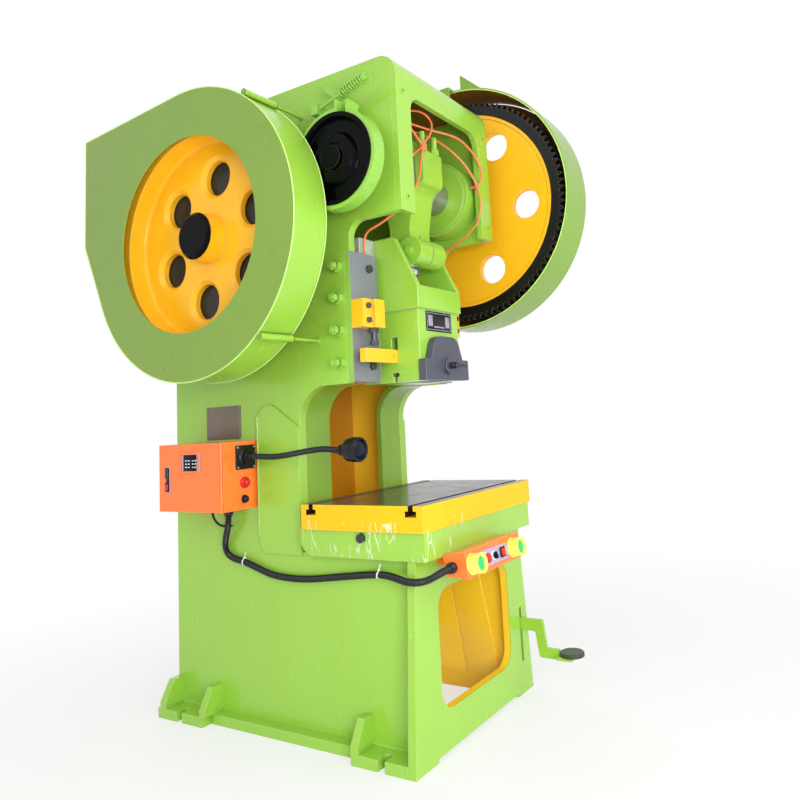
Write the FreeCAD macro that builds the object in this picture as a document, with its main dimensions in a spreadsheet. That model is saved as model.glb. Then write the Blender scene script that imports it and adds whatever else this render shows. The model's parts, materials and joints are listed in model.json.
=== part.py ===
import FreeCAD, Part
import math
import os
import Sketcher

# Open-front crank press. Millimetres, +Z up. The origin is on the floor under the tool axis,
# +X is to the right of someone who faces the front and +Y is to the back.

SIZES = {}

V = FreeCAD.Vector
doc = FreeCAD.newDocument("OpenFrontPress")
dims = doc.addObject("Spreadsheet::Sheet", "Dims")


class Size:
    """A number together with the cell formula that gives it."""

    def __init__(self, value, formula):
        self.value = float(value)
        self.formula = formula

    def _join(self, other, sign, value):
        return Size(value, "(" + self.formula + " " + sign + " " + as_size(other).formula + ")")

    def __add__(self, other):
        return self._join(other, "+", self.value + num(other))

    def __radd__(self, other):
        return as_size(other) + self

    def __sub__(self, other):
        return self._join(other, "-", self.value - num(other))

    def __rsub__(self, other):
        return as_size(other) - self

    def __mul__(self, other):
        return self._join(other, "*", self.value * num(other))

    def __rmul__(self, other):
        return as_size(other) * self

    def __truediv__(self, other):
        return self._join(other, "/", self.value / num(other))

    def __neg__(self):
        return Size(-self.value, "(0 - " + self.formula + ")")


def num(value):
    return value.value if isinstance(value, Size) else float(value)


def as_size(value):
    if isinstance(value, Size):
        return value
    return Size(value, "(" + format(float(value), ".6f") + ")")


def fill_sheet():
    row = 1
    for alias, value in SIZES.items():
        dims.set("A%d" % row, alias)
        dims.set("B%d" % row, str(value))
        dims.setAlias("B%d" % row, alias)
        row += 1
    doc.recompute()


def sz(alias):
    """The size that a cell of the sheet holds."""
    return Size(getattr(dims, alias), "Dims." + alias)


def bind(obj, prop, value):
    size = as_size(value)
    obj.setExpression(prop, size.formula)


AXES = {
    "X": FreeCAD.Rotation(V(0, 1, 0), 90),
    "Y": FreeCAD.Rotation(V(1, 0, 0), -90),
    "Z": FreeCAD.Rotation(),
}
parts = []


def at(obj, x, y, z):
    bind(obj, "Placement.Base.x", x)
    bind(obj, "Placement.Base.y", y)
    bind(obj, "Placement.Base.z", z)
    return obj


def box(name, x0, x1, y0, y1, z0, z1):
    obj = doc.addObject("Part::Box", name)
    bind(obj, "Length", as_size(x1) - x0)
    bind(obj, "Width", as_size(y1) - y0)
    bind(obj, "Height", as_size(z1) - z0)
    return at(obj, x0, y0, z0)


def rod(name, axis, x, y, z, radius, length):
    """A cylinder that starts at the point and runs along +axis."""
    obj = doc.addObject("Part::Cylinder", name)
    bind(obj, "Radius", radius)
    bind(obj, "Height", length)
    obj.Placement = FreeCAD.Placement(V(num(x), num(y), num(z)), AXES[axis])
    return at(obj, x, y, z)


def cone(name, axis, x, y, z, radius_1, radius_2, length):
    obj = doc.addObject("Part::Cone", name)
    bind(obj, "Radius1", radius_1)
    bind(obj, "Radius2", radius_2)
    bind(obj, "Height", length)
    obj.Placement = FreeCAD.Placement(V(num(x), num(y), num(z)), AXES[axis])
    return at(obj, x, y, z)


def ball(name, x, y, z, radius):
    obj = doc.addObject("Part::Sphere", name)
    bind(obj, "Radius", radius)
    return at(obj, x, y, z)


def hexagon(name, axis, x, y, z, across, length):
    """A six-sided prism, as a nut or a bolt head, across its flats."""
    obj = doc.addObject("Part::Prism", name)
    obj.Polygon = 6
    bind(obj, "Circumradius", as_size(across) / 1.7320508)
    bind(obj, "Height", length)
    obj.Placement = FreeCAD.Placement(V(num(x), num(y), num(z)), AXES[axis])
    return at(obj, x, y, z)


def join(name, pieces):
    if len(pieces) == 1:
        return pieces[0]
    obj = doc.addObject("Part::MultiFuse", name)
    obj.Shapes = pieces
    return obj


def group(name, pieces):
    """Separate solids that share one node."""
    obj = doc.addObject("Part::Compound", name)
    obj.Links = pieces
    return obj


def cut(name, base, tools):
    obj = doc.addObject("Part::Cut", name)
    obj.Base = base
    obj.Tool = join(name + "_tools", tools)
    return obj


def node(label, obj):
    obj.Label = label
    parts.append(obj)
    return obj


def corner_points(outline):
    """Corners (u, v) or (u, v, radius) as line ends and tangent arcs, in order."""
    out = []
    count = len(outline)
    for i in range(count):
        corner = outline[i]
        here = V(num(corner[0]), num(corner[1]), 0)
        if len(corner) < 3 or num(corner[2]) <= 0:
            out.append(("point", (corner[0], corner[1])))
            continue
        before = V(num(outline[i - 1][0]), num(outline[i - 1][1]), 0)
        after = V(num(outline[(i + 1) % count][0]), num(outline[(i + 1) % count][1]), 0)
        back = (before - here).normalize()
        on = (after - here).normalize()
        half = back.getAngle(on) / 2
        radius = as_size(corner[2])
        reach = radius * (1 / math.tan(half))
        start = (corner[0] + reach * back.x, corner[1] + reach * back.y)
        end = (corner[0] + reach * on.x, corner[1] + reach * on.y)
        toward = (back + on).normalize()
        depth = num(radius) * (1 / math.sin(half) - 1)
        middle = here + toward * depth
        out.append(("arc", start, middle, end, radius))
    return out


def pin(sketch, geo, end, point):
    """Holds one end of one line or arc at a point of the sketch."""
    for kind, value in (("DistanceX", point[0]), ("DistanceY", point[1])):
        size = as_size(value)
        index = sketch.addConstraint(Sketcher.Constraint(kind, -1, 1, geo, end, size.value))
        sketch.setExpression("Constraints[%d]" % index, size.formula)


def draw_loop(sketch, outline):
    items = corner_points(outline)
    geos = []
    for i, item in enumerate(items):
        nxt = items[(i + 1) % len(items)]
        if item[0] == "arc":
            start = V(num(item[1][0]), num(item[1][1]), 0)
            end = V(num(item[3][0]), num(item[3][1]), 0)
            arc = Part.Arc(start, item[2], end)
            circle = arc.toShape().Curve
            turn = (item[2] - start).cross(end - item[2]).z
            geo = sketch.addGeometry(arc, False)
            first, last = (1, 2) if turn > 0 else (2, 1)
            pin(sketch, geo, first, item[1])
            pin(sketch, geo, last, item[3])
            index = sketch.addConstraint(Sketcher.Constraint("Radius", geo, circle.Radius))
            sketch.setExpression("Constraints[%d]" % index, item[4].formula)
            leave = item[3]
        else:
            leave = item[1]
        arrive = nxt[1]
        a = V(num(leave[0]), num(leave[1]), 0)
        b = V(num(arrive[0]), num(arrive[1]), 0)
        if (a - b).Length > 1e-6:
            geo = sketch.addGeometry(Part.LineSegment(a, b), False)
            pin(sketch, geo, 1, leave)
            pin(sketch, geo, 2, arrive)
        geos.append(geo)
    return geos


def draw_circle(sketch, u, v, radius):
    geo = sketch.addGeometry(Part.Circle(V(num(u), num(v), 0), V(0, 0, 1), num(radius)), False)
    pin(sketch, geo, 3, (u, v))
    index = sketch.addConstraint(Sketcher.Constraint("Radius", geo, num(radius)))
    sketch.setExpression("Constraints[%d]" % index, as_size(radius).formula)


def new_sketch(body, name, plane, offset=0):
    role = plane + "_Plane"
    sketch = body.newObject("Sketcher::SketchObject", name)
    origin = [f for f in body.Origin.OriginFeatures if f.Role == role][0]
    sketch.AttachmentSupport = [(origin, "")]
    sketch.MapMode = "FlatFace"
    bind(sketch, "AttachmentOffset.Base.z", offset)
    return sketch


def padded(name, plane, offset, thick, outline=None, holes=(), rounds=(), circle=None):
    """A flat piece: its outline, its holes and its round holes, made thick one way.

    On XZ the sketch looks from the front: u is X, v is Z and the piece grows to the front.
    On YZ u is Y and v is Z and the piece grows to +X. On XY it grows up.
    """
    body = doc.addObject("PartDesign::Body", name)
    sketch = new_sketch(body, name + "_outline", plane, offset)
    if outline:
        draw_loop(sketch, outline)
    if circle:
        draw_circle(sketch, *circle)
    for hole in holes:
        draw_loop(sketch, hole)
    for item in rounds:
        draw_circle(sketch, *item)
    pad = body.newObject("PartDesign::Pad", name + "_pad")
    pad.Profile = sketch
    bind(pad, "Length", thick)
    body.Tip = pad
    return body


def turned(name, plane, outline, axis, centre):
    """A turned piece: the outline is revolved about the sketch's own axis, then set at its centre."""
    body = doc.addObject("PartDesign::Body", name)
    sketch = new_sketch(body, name + "_section", plane)
    draw_loop(sketch, outline)
    rev = body.newObject("PartDesign::Revolution", name + "_turn")
    rev.Profile = sketch
    rev.ReferenceAxis = (sketch, [axis])
    rev.Angle = 360
    body.Tip = rev
    return at(body, *centre)
# Driving sizes in millimetres, and counts. Each is written once, here.
SIDE_HALF = 338
SIDE_T = 32
BASE_FRONT_Y = -184
REAR_Y = 1043
TABLE_HEIGHT = 850
TABLE_T = 90
TABLE_WIDTH = 800
TABLE_DEPTH = 540
BED_T = 95
BED_HALF = 386
BED_FRONT_Y = -266
BED_REAR_Y = 289
BED_ROUND = 60
TSLOT_Y = 222
TSLOT_NECK = 21
TSLOT_HEAD = 46
TSLOT_HEAD_H = 20
TSLOT_DEPTH = 38
COVER_T = 25
HEAD_FRONT_Y = -205
HEAD_LOW_Z = 1889
HEAD_TOP_Z = 2493
HEAD_ROUND = 80
HEAD_THROAT_ROUND = 62
HEAD_OPENING_HALF = 250
HEAD_OPENING_TOP = 2350
HEAD_OPENING_ROUND = 60
THROAT_BACK_Y = 324
THROAT_TOP_Z = 1281
THROAT_ROUND = 135
THROAT_HALF = 168
FLANGE_T = 25
FLANGE_FRONT_Y = 187
DOUBLER_T = 10
DOUBLER_REAR_Y = 540
GIB_FRONT_Y = 46
GIB_T = 26
GIB_TOP_Z = 1778
GIB_LOW_Z = 1285
GIB_INNER_HALF = 177
CRANK_Z = 2090
HOUSING_R = 120
SHAFT_Y = 596
SHAFT_Z = 1885
SHAFT_HOUSING_R = 75
SLOPE_TOP_Y = 484
SLOPE_LOW_Z = 1950
REAR_T = 20
REAR_PLATE_LOW_Z = 1180
REAR_SILL_H = 60
INNER_PLATE_Y = 600
INNER_T = 16
RUNNING_FIT = 0.05
FREE_GAP = 0.3
STUD_Y = 102
STUD_TOP_Z = 1724
STUD_PITCH = 122
STUD_R = 11
FRONT_LOW_HALF = 428
FRONT_HIGH_HALF = 377
WINDOW_HALF = 255
WINDOW_LOW_Z = 140
WINDOW_DROP = 120
WINDOW_ROUND = 70
RELIEF_HALF = 295
RELIEF_H = 13
PEDAL_SIDE_GAP = 6
PEDAL_T = 12
PEDAL_SLOT_LOW_Z = 123
PEDAL_SLOT_TOP_Z = 335
PEDAL_PIVOT_Y = 500
PEDAL_PIVOT_Z = 270
PEDAL_PIN_R = 14
FOOT_HALF = 428
FOOT_T = 38
STRIP_HALF = 385
FOOT_SLOT_R = 15
FOOT_SLOT_DEPTH = 50
FRONT_SLOT_Y = -77
REAR_SLOT_Y = 928
FRONT_FOOT_END_Y = 51
REAR_FOOT_START_Y = 794
GUSSET_T = 32
GUSSET_TOP_Z = 137
JOURNAL_R = 60
STROKE = 130
DRUM_OUT_X = 465
HOUSING_FLANGE_R = 165
HOUSING_BOSS = 58
CRANK_WEB_IN = 72
CRANK_WEB_T = 36
CRANK_PIN_R = 60
CRANK_WEB_HALF = 92
GEAR_OUT_X = 560
GEAR_IN_X = 440
DRUM_R = 173
DRUM_IN_X = 400
BAND_T = 15
BRAKE_ROD_R = 7
SPRING_R = 16
SPRING_WIRE = 5
SPRING_TURNS = 8
GEAR_MODULE = 10
GEAR_TEETH = 102
PINION_TEETH = 24
GEAR_DISC_R = 456
GEAR_HUB_R = 95
GEAR_WEB_T = 30
GEAR_HOLE_R = 65
GEAR_HOLE_PITCH_R = 330
GEAR_HOLE_PHASE = 5
SHAFT_R = 40
FLY_OUT_X = 590
FLY_IN_X = 500
FLY_R = 455
FLY_WEB_X = 520
GROOVE_DEPTH = 12
GROOVE_WIDTH = 18
GROOVE_STEP = 30
BELT_COUNT = 3
FLY_HOLE_R = 70
FLY_HOLE_PITCH_R = 247
FLY_HOLE_PHASE = 38.5
FLY_CAP_R = 92
MOTOR_Y = 1120
MOTOR_Z = 2185
PULLEY_R = 90
MOTOR_SHAFT_R = 21
MOTOR_R = 130
MOTOR_FACE_X = 440
MOTOR_LENGTH = 420
CONROD_HALF = 70
BALL_Z = 1630
BALL_R = 40
SCREW_R = 24
CONROD_LUG_R = 58
CONROD_LUG_HALF = 90
RAM_HALF = 155
RAM_LOW_HALF = 143
RAM_FRONT_Y = -130
RAM_LOW_FRONT_Y = -118
RAM_REAR_Y = 150
RAM_LOW_Z = 1280
RAM_STEP_Z = 1558
RAM_WALL_Z = 1647
RAM_TOP_Z = 1850
RAM_POCKET_HALF = 134
EAR_HALF = 245
EAR_T = 60
SHANK_R = 30
TONGUE_HALF = 75
TONGUE_H = 60
SLOT_TOP_Z = 1455
BAR_HALF_Y = 13.7
BAR_LOW_Z = 1354
BAR_H = 51
RAM_TSLOT_NECK = 14
RAM_TSLOT_HEAD = 32
RAM_TSLOT_DEPTH = 36
RAM_TSLOT_HEAD_H = 15
GUIDE_REAR_Y = 185
LIP_HALF = 160
STOP_LOW_Z = 1484
STOP_TOP_Z = 1590
FLY_GUARD_R = 565
FLY_GUARD_X = 637
FLY_GUARD_IN_X = 475
FLY_GUARD_T = 4
FLY_GUARD_REAR_Y = 1237
FLY_GUARD_TOP_Z = 2404
FLY_GUARD_LOW_Z = 1940
FLY_WINDOW_R = 380
GEAR_GUARD_R = 559
GEAR_GUARD_IN_X = 375
GEAR_GUARD_OUT_X = 578
GEAR_GUARD_T = 5
PINION_GUARD_R = 165
EBOX_OUT_X = 508
EBOX_FRONT_Y = 556
EBOX_REAR_Y = 926
EBOX_LOW_Z = 829
EBOX_TOP_Z = 1090
EBOX_WALL = 3
LAMP_X = 400
LAMP_Z = 1028
LAMP_ARM_R = 11
GLAND_Y = 703
CONDUIT_R = 12.5
CTRL_LEFT_X = 287
CTRL_RIGHT_X = 106
CTRL_LOW_Y = -369
CTRL_DROP = 68
PALM_LEFT_X = -252
PALM_RIGHT_X = 42
SHROUD_R = 34
SHROUD_H = 42
PALM_R = 28
MUSHROOM_X = -160
SELECTOR_X = -104
SQUARE_X = -40
OIL_TUBE_R = 4.5
PAD_R = 49
PAD_Y = -436
PAD_Z = 168
HOUSING_REACH = 106
LEAD_R = 4.5
GUARD_HOLE_R = 105
GUARD_SLEEVE_R = 13
GUARD_SLEEVE_TOP = 125
GUARD_SLEEVE_LOW = 228.5

SIZES.update({
    "side_half": SIDE_HALF, "side_t": SIDE_T, "base_front_y": BASE_FRONT_Y, "rear_y": REAR_Y,
    "table_height": TABLE_HEIGHT, "table_t": TABLE_T, "table_width": TABLE_WIDTH,
    "table_depth": TABLE_DEPTH, "bed_t": BED_T, "bed_half": BED_HALF, "bed_front_y": BED_FRONT_Y,
    "bed_rear_y": BED_REAR_Y, "bed_round": BED_ROUND, "tslot_y": TSLOT_Y, "tslot_neck": TSLOT_NECK,
    "tslot_head": TSLOT_HEAD, "tslot_head_h": TSLOT_HEAD_H, "tslot_depth": TSLOT_DEPTH,
    "cover_t": COVER_T, "head_front_y": HEAD_FRONT_Y, "head_low_z": HEAD_LOW_Z,
    "head_top_z": HEAD_TOP_Z, "head_round": HEAD_ROUND, "head_throat_round": HEAD_THROAT_ROUND,
    "head_opening_half": HEAD_OPENING_HALF, "head_opening_top": HEAD_OPENING_TOP,
    "head_opening_round": HEAD_OPENING_ROUND, "throat_back_y": THROAT_BACK_Y,
    "throat_top_z": THROAT_TOP_Z, "throat_round": THROAT_ROUND, "throat_half": THROAT_HALF,
    "flange_t": FLANGE_T, "flange_front_y": FLANGE_FRONT_Y, "doubler_t": DOUBLER_T,
    "doubler_rear_y": DOUBLER_REAR_Y, "gib_front_y": GIB_FRONT_Y, "gib_t": GIB_T,
    "gib_top_z": GIB_TOP_Z, "gib_low_z": GIB_LOW_Z, "gib_inner_half": GIB_INNER_HALF,
    "crank_z": CRANK_Z, "housing_r": HOUSING_R, "shaft_y": SHAFT_Y, "shaft_z": SHAFT_Z,
    "shaft_housing_r": SHAFT_HOUSING_R, "slope_top_y": SLOPE_TOP_Y, "slope_low_z": SLOPE_LOW_Z,
    "rear_t": REAR_T, "rear_plate_low_z": REAR_PLATE_LOW_Z, "rear_sill_h": REAR_SILL_H,
    "inner_plate_y": INNER_PLATE_Y, "inner_t": INNER_T, "running_fit": RUNNING_FIT,
    "free_gap": FREE_GAP, "stud_y": STUD_Y, "stud_top_z": STUD_TOP_Z, "stud_pitch": STUD_PITCH,
    "stud_r": STUD_R, "front_low_half": FRONT_LOW_HALF, "front_high_half": FRONT_HIGH_HALF,
    "window_half": WINDOW_HALF, "window_low_z": WINDOW_LOW_Z, "window_drop": WINDOW_DROP,
    "window_round": WINDOW_ROUND, "relief_half": RELIEF_HALF, "relief_h": RELIEF_H,
    "pedal_side_gap": PEDAL_SIDE_GAP, "pedal_t": PEDAL_T, "pedal_slot_low_z": PEDAL_SLOT_LOW_Z,
    "pedal_slot_top_z": PEDAL_SLOT_TOP_Z, "pedal_pivot_y": PEDAL_PIVOT_Y,
    "pedal_pivot_z": PEDAL_PIVOT_Z, "pedal_pin_r": PEDAL_PIN_R, "foot_half": FOOT_HALF,
    "foot_t": FOOT_T, "strip_half": STRIP_HALF, "foot_slot_r": FOOT_SLOT_R,
    "foot_slot_depth": FOOT_SLOT_DEPTH, "front_slot_y": FRONT_SLOT_Y, "rear_slot_y": REAR_SLOT_Y,
    "front_foot_end_y": FRONT_FOOT_END_Y, "rear_foot_start_y": REAR_FOOT_START_Y,
    "gusset_t": GUSSET_T, "gusset_top_z": GUSSET_TOP_Z, "journal_r": JOURNAL_R, "stroke": STROKE,
    "drum_out_x": DRUM_OUT_X, "housing_flange_r": HOUSING_FLANGE_R, "housing_boss": HOUSING_BOSS,
    "crank_web_in": CRANK_WEB_IN, "crank_web_t": CRANK_WEB_T, "crank_pin_r": CRANK_PIN_R,
    "crank_web_half": CRANK_WEB_HALF, "gear_out_x": GEAR_OUT_X, "gear_in_x": GEAR_IN_X,
    "drum_r": DRUM_R, "drum_in_x": DRUM_IN_X, "band_t": BAND_T, "brake_rod_r": BRAKE_ROD_R,
    "spring_r": SPRING_R, "spring_wire": SPRING_WIRE, "spring_turns": SPRING_TURNS,
    "gear_module": GEAR_MODULE, "gear_teeth": GEAR_TEETH, "pinion_teeth": PINION_TEETH,
    "gear_disc_r": GEAR_DISC_R, "gear_hub_r": GEAR_HUB_R, "gear_web_t": GEAR_WEB_T,
    "gear_hole_r": GEAR_HOLE_R, "gear_hole_pitch_r": GEAR_HOLE_PITCH_R,
    "gear_hole_phase": GEAR_HOLE_PHASE, "shaft_r": SHAFT_R, "fly_out_x": FLY_OUT_X,
    "fly_in_x": FLY_IN_X, "fly_r": FLY_R, "fly_web_x": FLY_WEB_X, "groove_depth": GROOVE_DEPTH,
    "groove_width": GROOVE_WIDTH, "groove_step": GROOVE_STEP, "belt_count": BELT_COUNT,
    "fly_hole_r": FLY_HOLE_R, "fly_hole_pitch_r": FLY_HOLE_PITCH_R,
    "fly_hole_phase": FLY_HOLE_PHASE, "fly_cap_r": FLY_CAP_R, "motor_y": MOTOR_Y,
    "motor_z": MOTOR_Z, "pulley_r": PULLEY_R, "motor_shaft_r": MOTOR_SHAFT_R, "motor_r": MOTOR_R,
    "motor_face_x": MOTOR_FACE_X, "motor_length": MOTOR_LENGTH, "conrod_half": CONROD_HALF,
    "ball_z": BALL_Z, "ball_r": BALL_R, "screw_r": SCREW_R, "conrod_lug_r": CONROD_LUG_R,
    "conrod_lug_half": CONROD_LUG_HALF, "ram_half": RAM_HALF, "ram_low_half": RAM_LOW_HALF,
    "ram_front_y": RAM_FRONT_Y, "ram_low_front_y": RAM_LOW_FRONT_Y, "ram_rear_y": RAM_REAR_Y,
    "ram_low_z": RAM_LOW_Z, "ram_step_z": RAM_STEP_Z, "ram_wall_z": RAM_WALL_Z,
    "ram_top_z": RAM_TOP_Z, "ram_pocket_half": RAM_POCKET_HALF, "ear_half": EAR_HALF,
    "ear_t": EAR_T, "shank_r": SHANK_R, "tongue_half": TONGUE_HALF, "tongue_h": TONGUE_H,
    "slot_top_z": SLOT_TOP_Z, "bar_half_y": BAR_HALF_Y, "bar_low_z": BAR_LOW_Z, "bar_h": BAR_H,
    "ram_tslot_neck": RAM_TSLOT_NECK, "ram_tslot_head": RAM_TSLOT_HEAD,
    "ram_tslot_depth": RAM_TSLOT_DEPTH, "ram_tslot_head_h": RAM_TSLOT_HEAD_H,
    "guide_rear_y": GUIDE_REAR_Y, "lip_half": LIP_HALF, "stop_low_z": STOP_LOW_Z,
    "stop_top_z": STOP_TOP_Z, "fly_guard_r": FLY_GUARD_R, "fly_guard_x": FLY_GUARD_X,
    "fly_guard_in_x": FLY_GUARD_IN_X, "fly_guard_t": FLY_GUARD_T,
    "fly_guard_rear_y": FLY_GUARD_REAR_Y, "fly_guard_top_z": FLY_GUARD_TOP_Z,
    "fly_guard_low_z": FLY_GUARD_LOW_Z, "fly_window_r": FLY_WINDOW_R, "gear_guard_r": GEAR_GUARD_R,
    "gear_guard_in_x": GEAR_GUARD_IN_X, "gear_guard_out_x": GEAR_GUARD_OUT_X,
    "gear_guard_t": GEAR_GUARD_T, "pinion_guard_r": PINION_GUARD_R, "ebox_out_x": EBOX_OUT_X,
    "ebox_front_y": EBOX_FRONT_Y, "ebox_rear_y": EBOX_REAR_Y, "ebox_low_z": EBOX_LOW_Z,
    "ebox_top_z": EBOX_TOP_Z, "ebox_wall": EBOX_WALL, "lamp_x": LAMP_X, "lamp_z": LAMP_Z,
    "lamp_arm_r": LAMP_ARM_R, "gland_y": GLAND_Y, "conduit_r": CONDUIT_R,
    "ctrl_left_x": CTRL_LEFT_X, "ctrl_right_x": CTRL_RIGHT_X, "ctrl_low_y": CTRL_LOW_Y,
    "ctrl_drop": CTRL_DROP, "palm_left_x": PALM_LEFT_X, "palm_right_x": PALM_RIGHT_X,
    "shroud_r": SHROUD_R, "shroud_h": SHROUD_H, "palm_r": PALM_R, "mushroom_x": MUSHROOM_X,
    "selector_x": SELECTOR_X, "square_x": SQUARE_X, "oil_tube_r": OIL_TUBE_R, "pad_r": PAD_R, "pad_y": PAD_Y, "pad_z": PAD_Z,
    "housing_reach": HOUSING_REACH, "lead_r": LEAD_R,
    "guard_hole_r": GUARD_HOLE_R, "guard_sleeve_r": GUARD_SLEEVE_R,
    "guard_sleeve_top": GUARD_SLEEVE_TOP, "guard_sleeve_low": GUARD_SLEEVE_LOW,
})
fill_sheet()


# ---------------------------------------------------------------- frame

side_half = sz("side_half")
side_in = side_half - sz("side_t")
front_y = sz("base_front_y")
rear_y = sz("rear_y")
bed_low = sz("table_height") - sz("table_t") - sz("bed_t")
table_low = sz("table_height") - sz("table_t")
cover_t = sz("cover_t")
head_y = sz("head_front_y")
head_low = sz("head_low_z")
top_z = sz("head_top_z")
throat_y = sz("throat_back_y")
throat_z = sz("throat_top_z")
gib_y = sz("gib_front_y")
seat_y = gib_y + sz("gib_t")
crank_z = sz("crank_z")
fly_y = sz("shaft_y")
fly_z = sz("shaft_z")
slope_y = sz("slope_top_y")
slope_z = sz("slope_low_z")
fit = sz("running_fit")
gap = sz("free_gap")


def side_outline():
    """The open-front C of one side plate, seen from the side."""
    return [
        (front_y, 0),
        (rear_y, 0),
        (rear_y, slope_z),
        (slope_y, top_z - cover_t),
        (head_y + cover_t, top_z - cover_t, sz("head_round") - cover_t),
        (head_y + cover_t, head_low),
        (gib_y, head_low, sz("head_throat_round")),
        (gib_y, sz("gib_top_z")),
        (seat_y, sz("gib_top_z")),
        (seat_y, throat_z),
        (throat_y, throat_z, sz("throat_round")),
        (throat_y, bed_low),
        (front_y, bed_low),
    ]


for side, sign in (("left", -1), ("right", 1)):
    name = "side_plate_" + side
    start = -side_half if sign < 0 else side_in
    holes = [(0, crank_z, sz("housing_r")), (fly_y, fly_z, sz("shaft_housing_r"))]
    if sign < 0:
        for k in range(4):
            holes.append((sz("stud_y"), sz("stud_top_z") - sz("stud_pitch") * k, sz("stud_r") + fit))
    else:
        holes.append((sz("pedal_pivot_y"), sz("pedal_pivot_z"), sz("pedal_pin_r")))
    node(name, padded(name, "YZ", start, sz("side_t"), side_outline(), rounds=holes))

# Bent plate over the front and the top of the head, with the opening for the crank.
cover_blank = padded("cover_bend", "YZ", -side_half, side_half * 2, [
    (head_y, head_low),
    (head_y + cover_t, head_low),
    (head_y + cover_t, top_z - cover_t, sz("head_round") - cover_t),
    (slope_y, top_z - cover_t),
    (slope_y, top_z),
    (head_y, top_z, sz("head_round")),
])
opening_half = sz("head_opening_half")
cover_window = padded("cover_window", "XZ", -(head_y + cover_t + 10), cover_t + 20, [
    (-opening_half, head_low - 10),
    (opening_half, head_low - 10),
    (opening_half, sz("head_opening_top"), sz("head_opening_round")),
    (-opening_half, sz("head_opening_top"), sz("head_opening_round")),
])
node("head_cover", cut("head_cover", cover_blank, [cover_window]))

cover_screws = []
for i, (x, z) in enumerate(((-1, 1), (1, 1), (-1, -1), (1, -1))):
    height = sz("head_opening_top") if z > 0 else head_low + 54
    cover_screws.append(rod("cover_screw_%d" % i, "Y", side_half * x - 38 * x, head_y - 6, height, 8, 6))

# Sloping and upright plates that close the back of the head.
slope_plate = padded("slope_plate", "YZ", -side_half, side_half * 2, [
    (slope_y, top_z),
    (slope_y, top_z - cover_t),
    (rear_y, slope_z),
    (rear_y, slope_z + cover_t * 1.4),
])
rear_plate = padded("rear_plate", "XZ", -rear_y, sz("rear_t"), [
    (-side_in, sz("rear_plate_low_z")),
    (side_in, sz("rear_plate_low_z")),
    (side_in, slope_z - 20),
    (-side_in, slope_z - 20),
])
rear_sill = box("rear_sill", -side_in, side_in, rear_y - sz("rear_t"), rear_y, 0, sz("rear_sill_h"))
node("rear_plates", group("rear_plates", [slope_plate, rear_plate, rear_sill]))
node("throat_back_plate", box("throat_back_plate", -side_in, side_in, sz("inner_plate_y"),
                              sz("inner_plate_y") + sz("inner_t"), bed_low, throat_z + sz("flange_t")))
flanges = []
doublers = []

for side, sign in (("left", -1), ("right", 1)):
    name = "throat_flange_" + side
    flange_in = sz("throat_half")
    start = -side_in if sign < 0 else flange_in
    flanges.append(padded(name, "YZ", start, side_in - flange_in, [
        (throat_y, bed_low),
        (throat_y + sz("flange_t"), bed_low),
        (throat_y + sz("flange_t"), throat_z + sz("flange_t"), sz("throat_round") + sz("flange_t")),
        (sz("flange_front_y"), throat_z + sz("flange_t")),
        (sz("flange_front_y"), throat_z),
        (throat_y, throat_z, sz("throat_round")),
    ]))
    name = "throat_doubler_" + side
    start = -side_half - sz("doubler_t") if sign < 0 else side_half
    doublers.append(padded(name, "YZ", start, sz("doubler_t"), [
        (throat_y, bed_low - 10),
        (sz("doubler_rear_y"), bed_low - 10, 40),
        (sz("doubler_rear_y"), throat_z - 4, 60),
        (throat_y, throat_z - 150),
    ]))

node("throat_flanges", group("throat_flanges", flanges))
node("throat_doublers", group("throat_doublers", doublers))

# Front plate of the base, wider at the floor, with its window and the pedal slot.
low_half = sz("front_low_half")
high_half = sz("front_high_half")
window_half = sz("window_half")
window_low = sz("window_low_z")
window_top = bed_low - sz("window_drop")
slot_x = side_half + sz("pedal_side_gap") - 4
node("base_front_plate", padded("base_front_plate", "XZ", -front_y, sz("side_t"), [
    (-low_half, 0),
    (-sz("relief_half"), 0),
    (-sz("relief_half"), sz("relief_h")),
    (sz("relief_half"), sz("relief_h")),
    (sz("relief_half"), 0),
    (low_half, 0),
    (high_half, bed_low),
    (-high_half, bed_low),
], holes=[
    [(-window_half, window_low, sz("window_round")), (window_half, window_low, sz("window_round")),
     (window_half, window_top, sz("window_round")), (-window_half, window_top, sz("window_round"))],
    [(slot_x, sz("pedal_slot_low_z")), (slot_x + sz("pedal_t") + 8, sz("pedal_slot_low_z")),
     (slot_x + sz("pedal_t") + 8, sz("pedal_slot_top_z")), (slot_x, sz("pedal_slot_top_z"))],
]))

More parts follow.
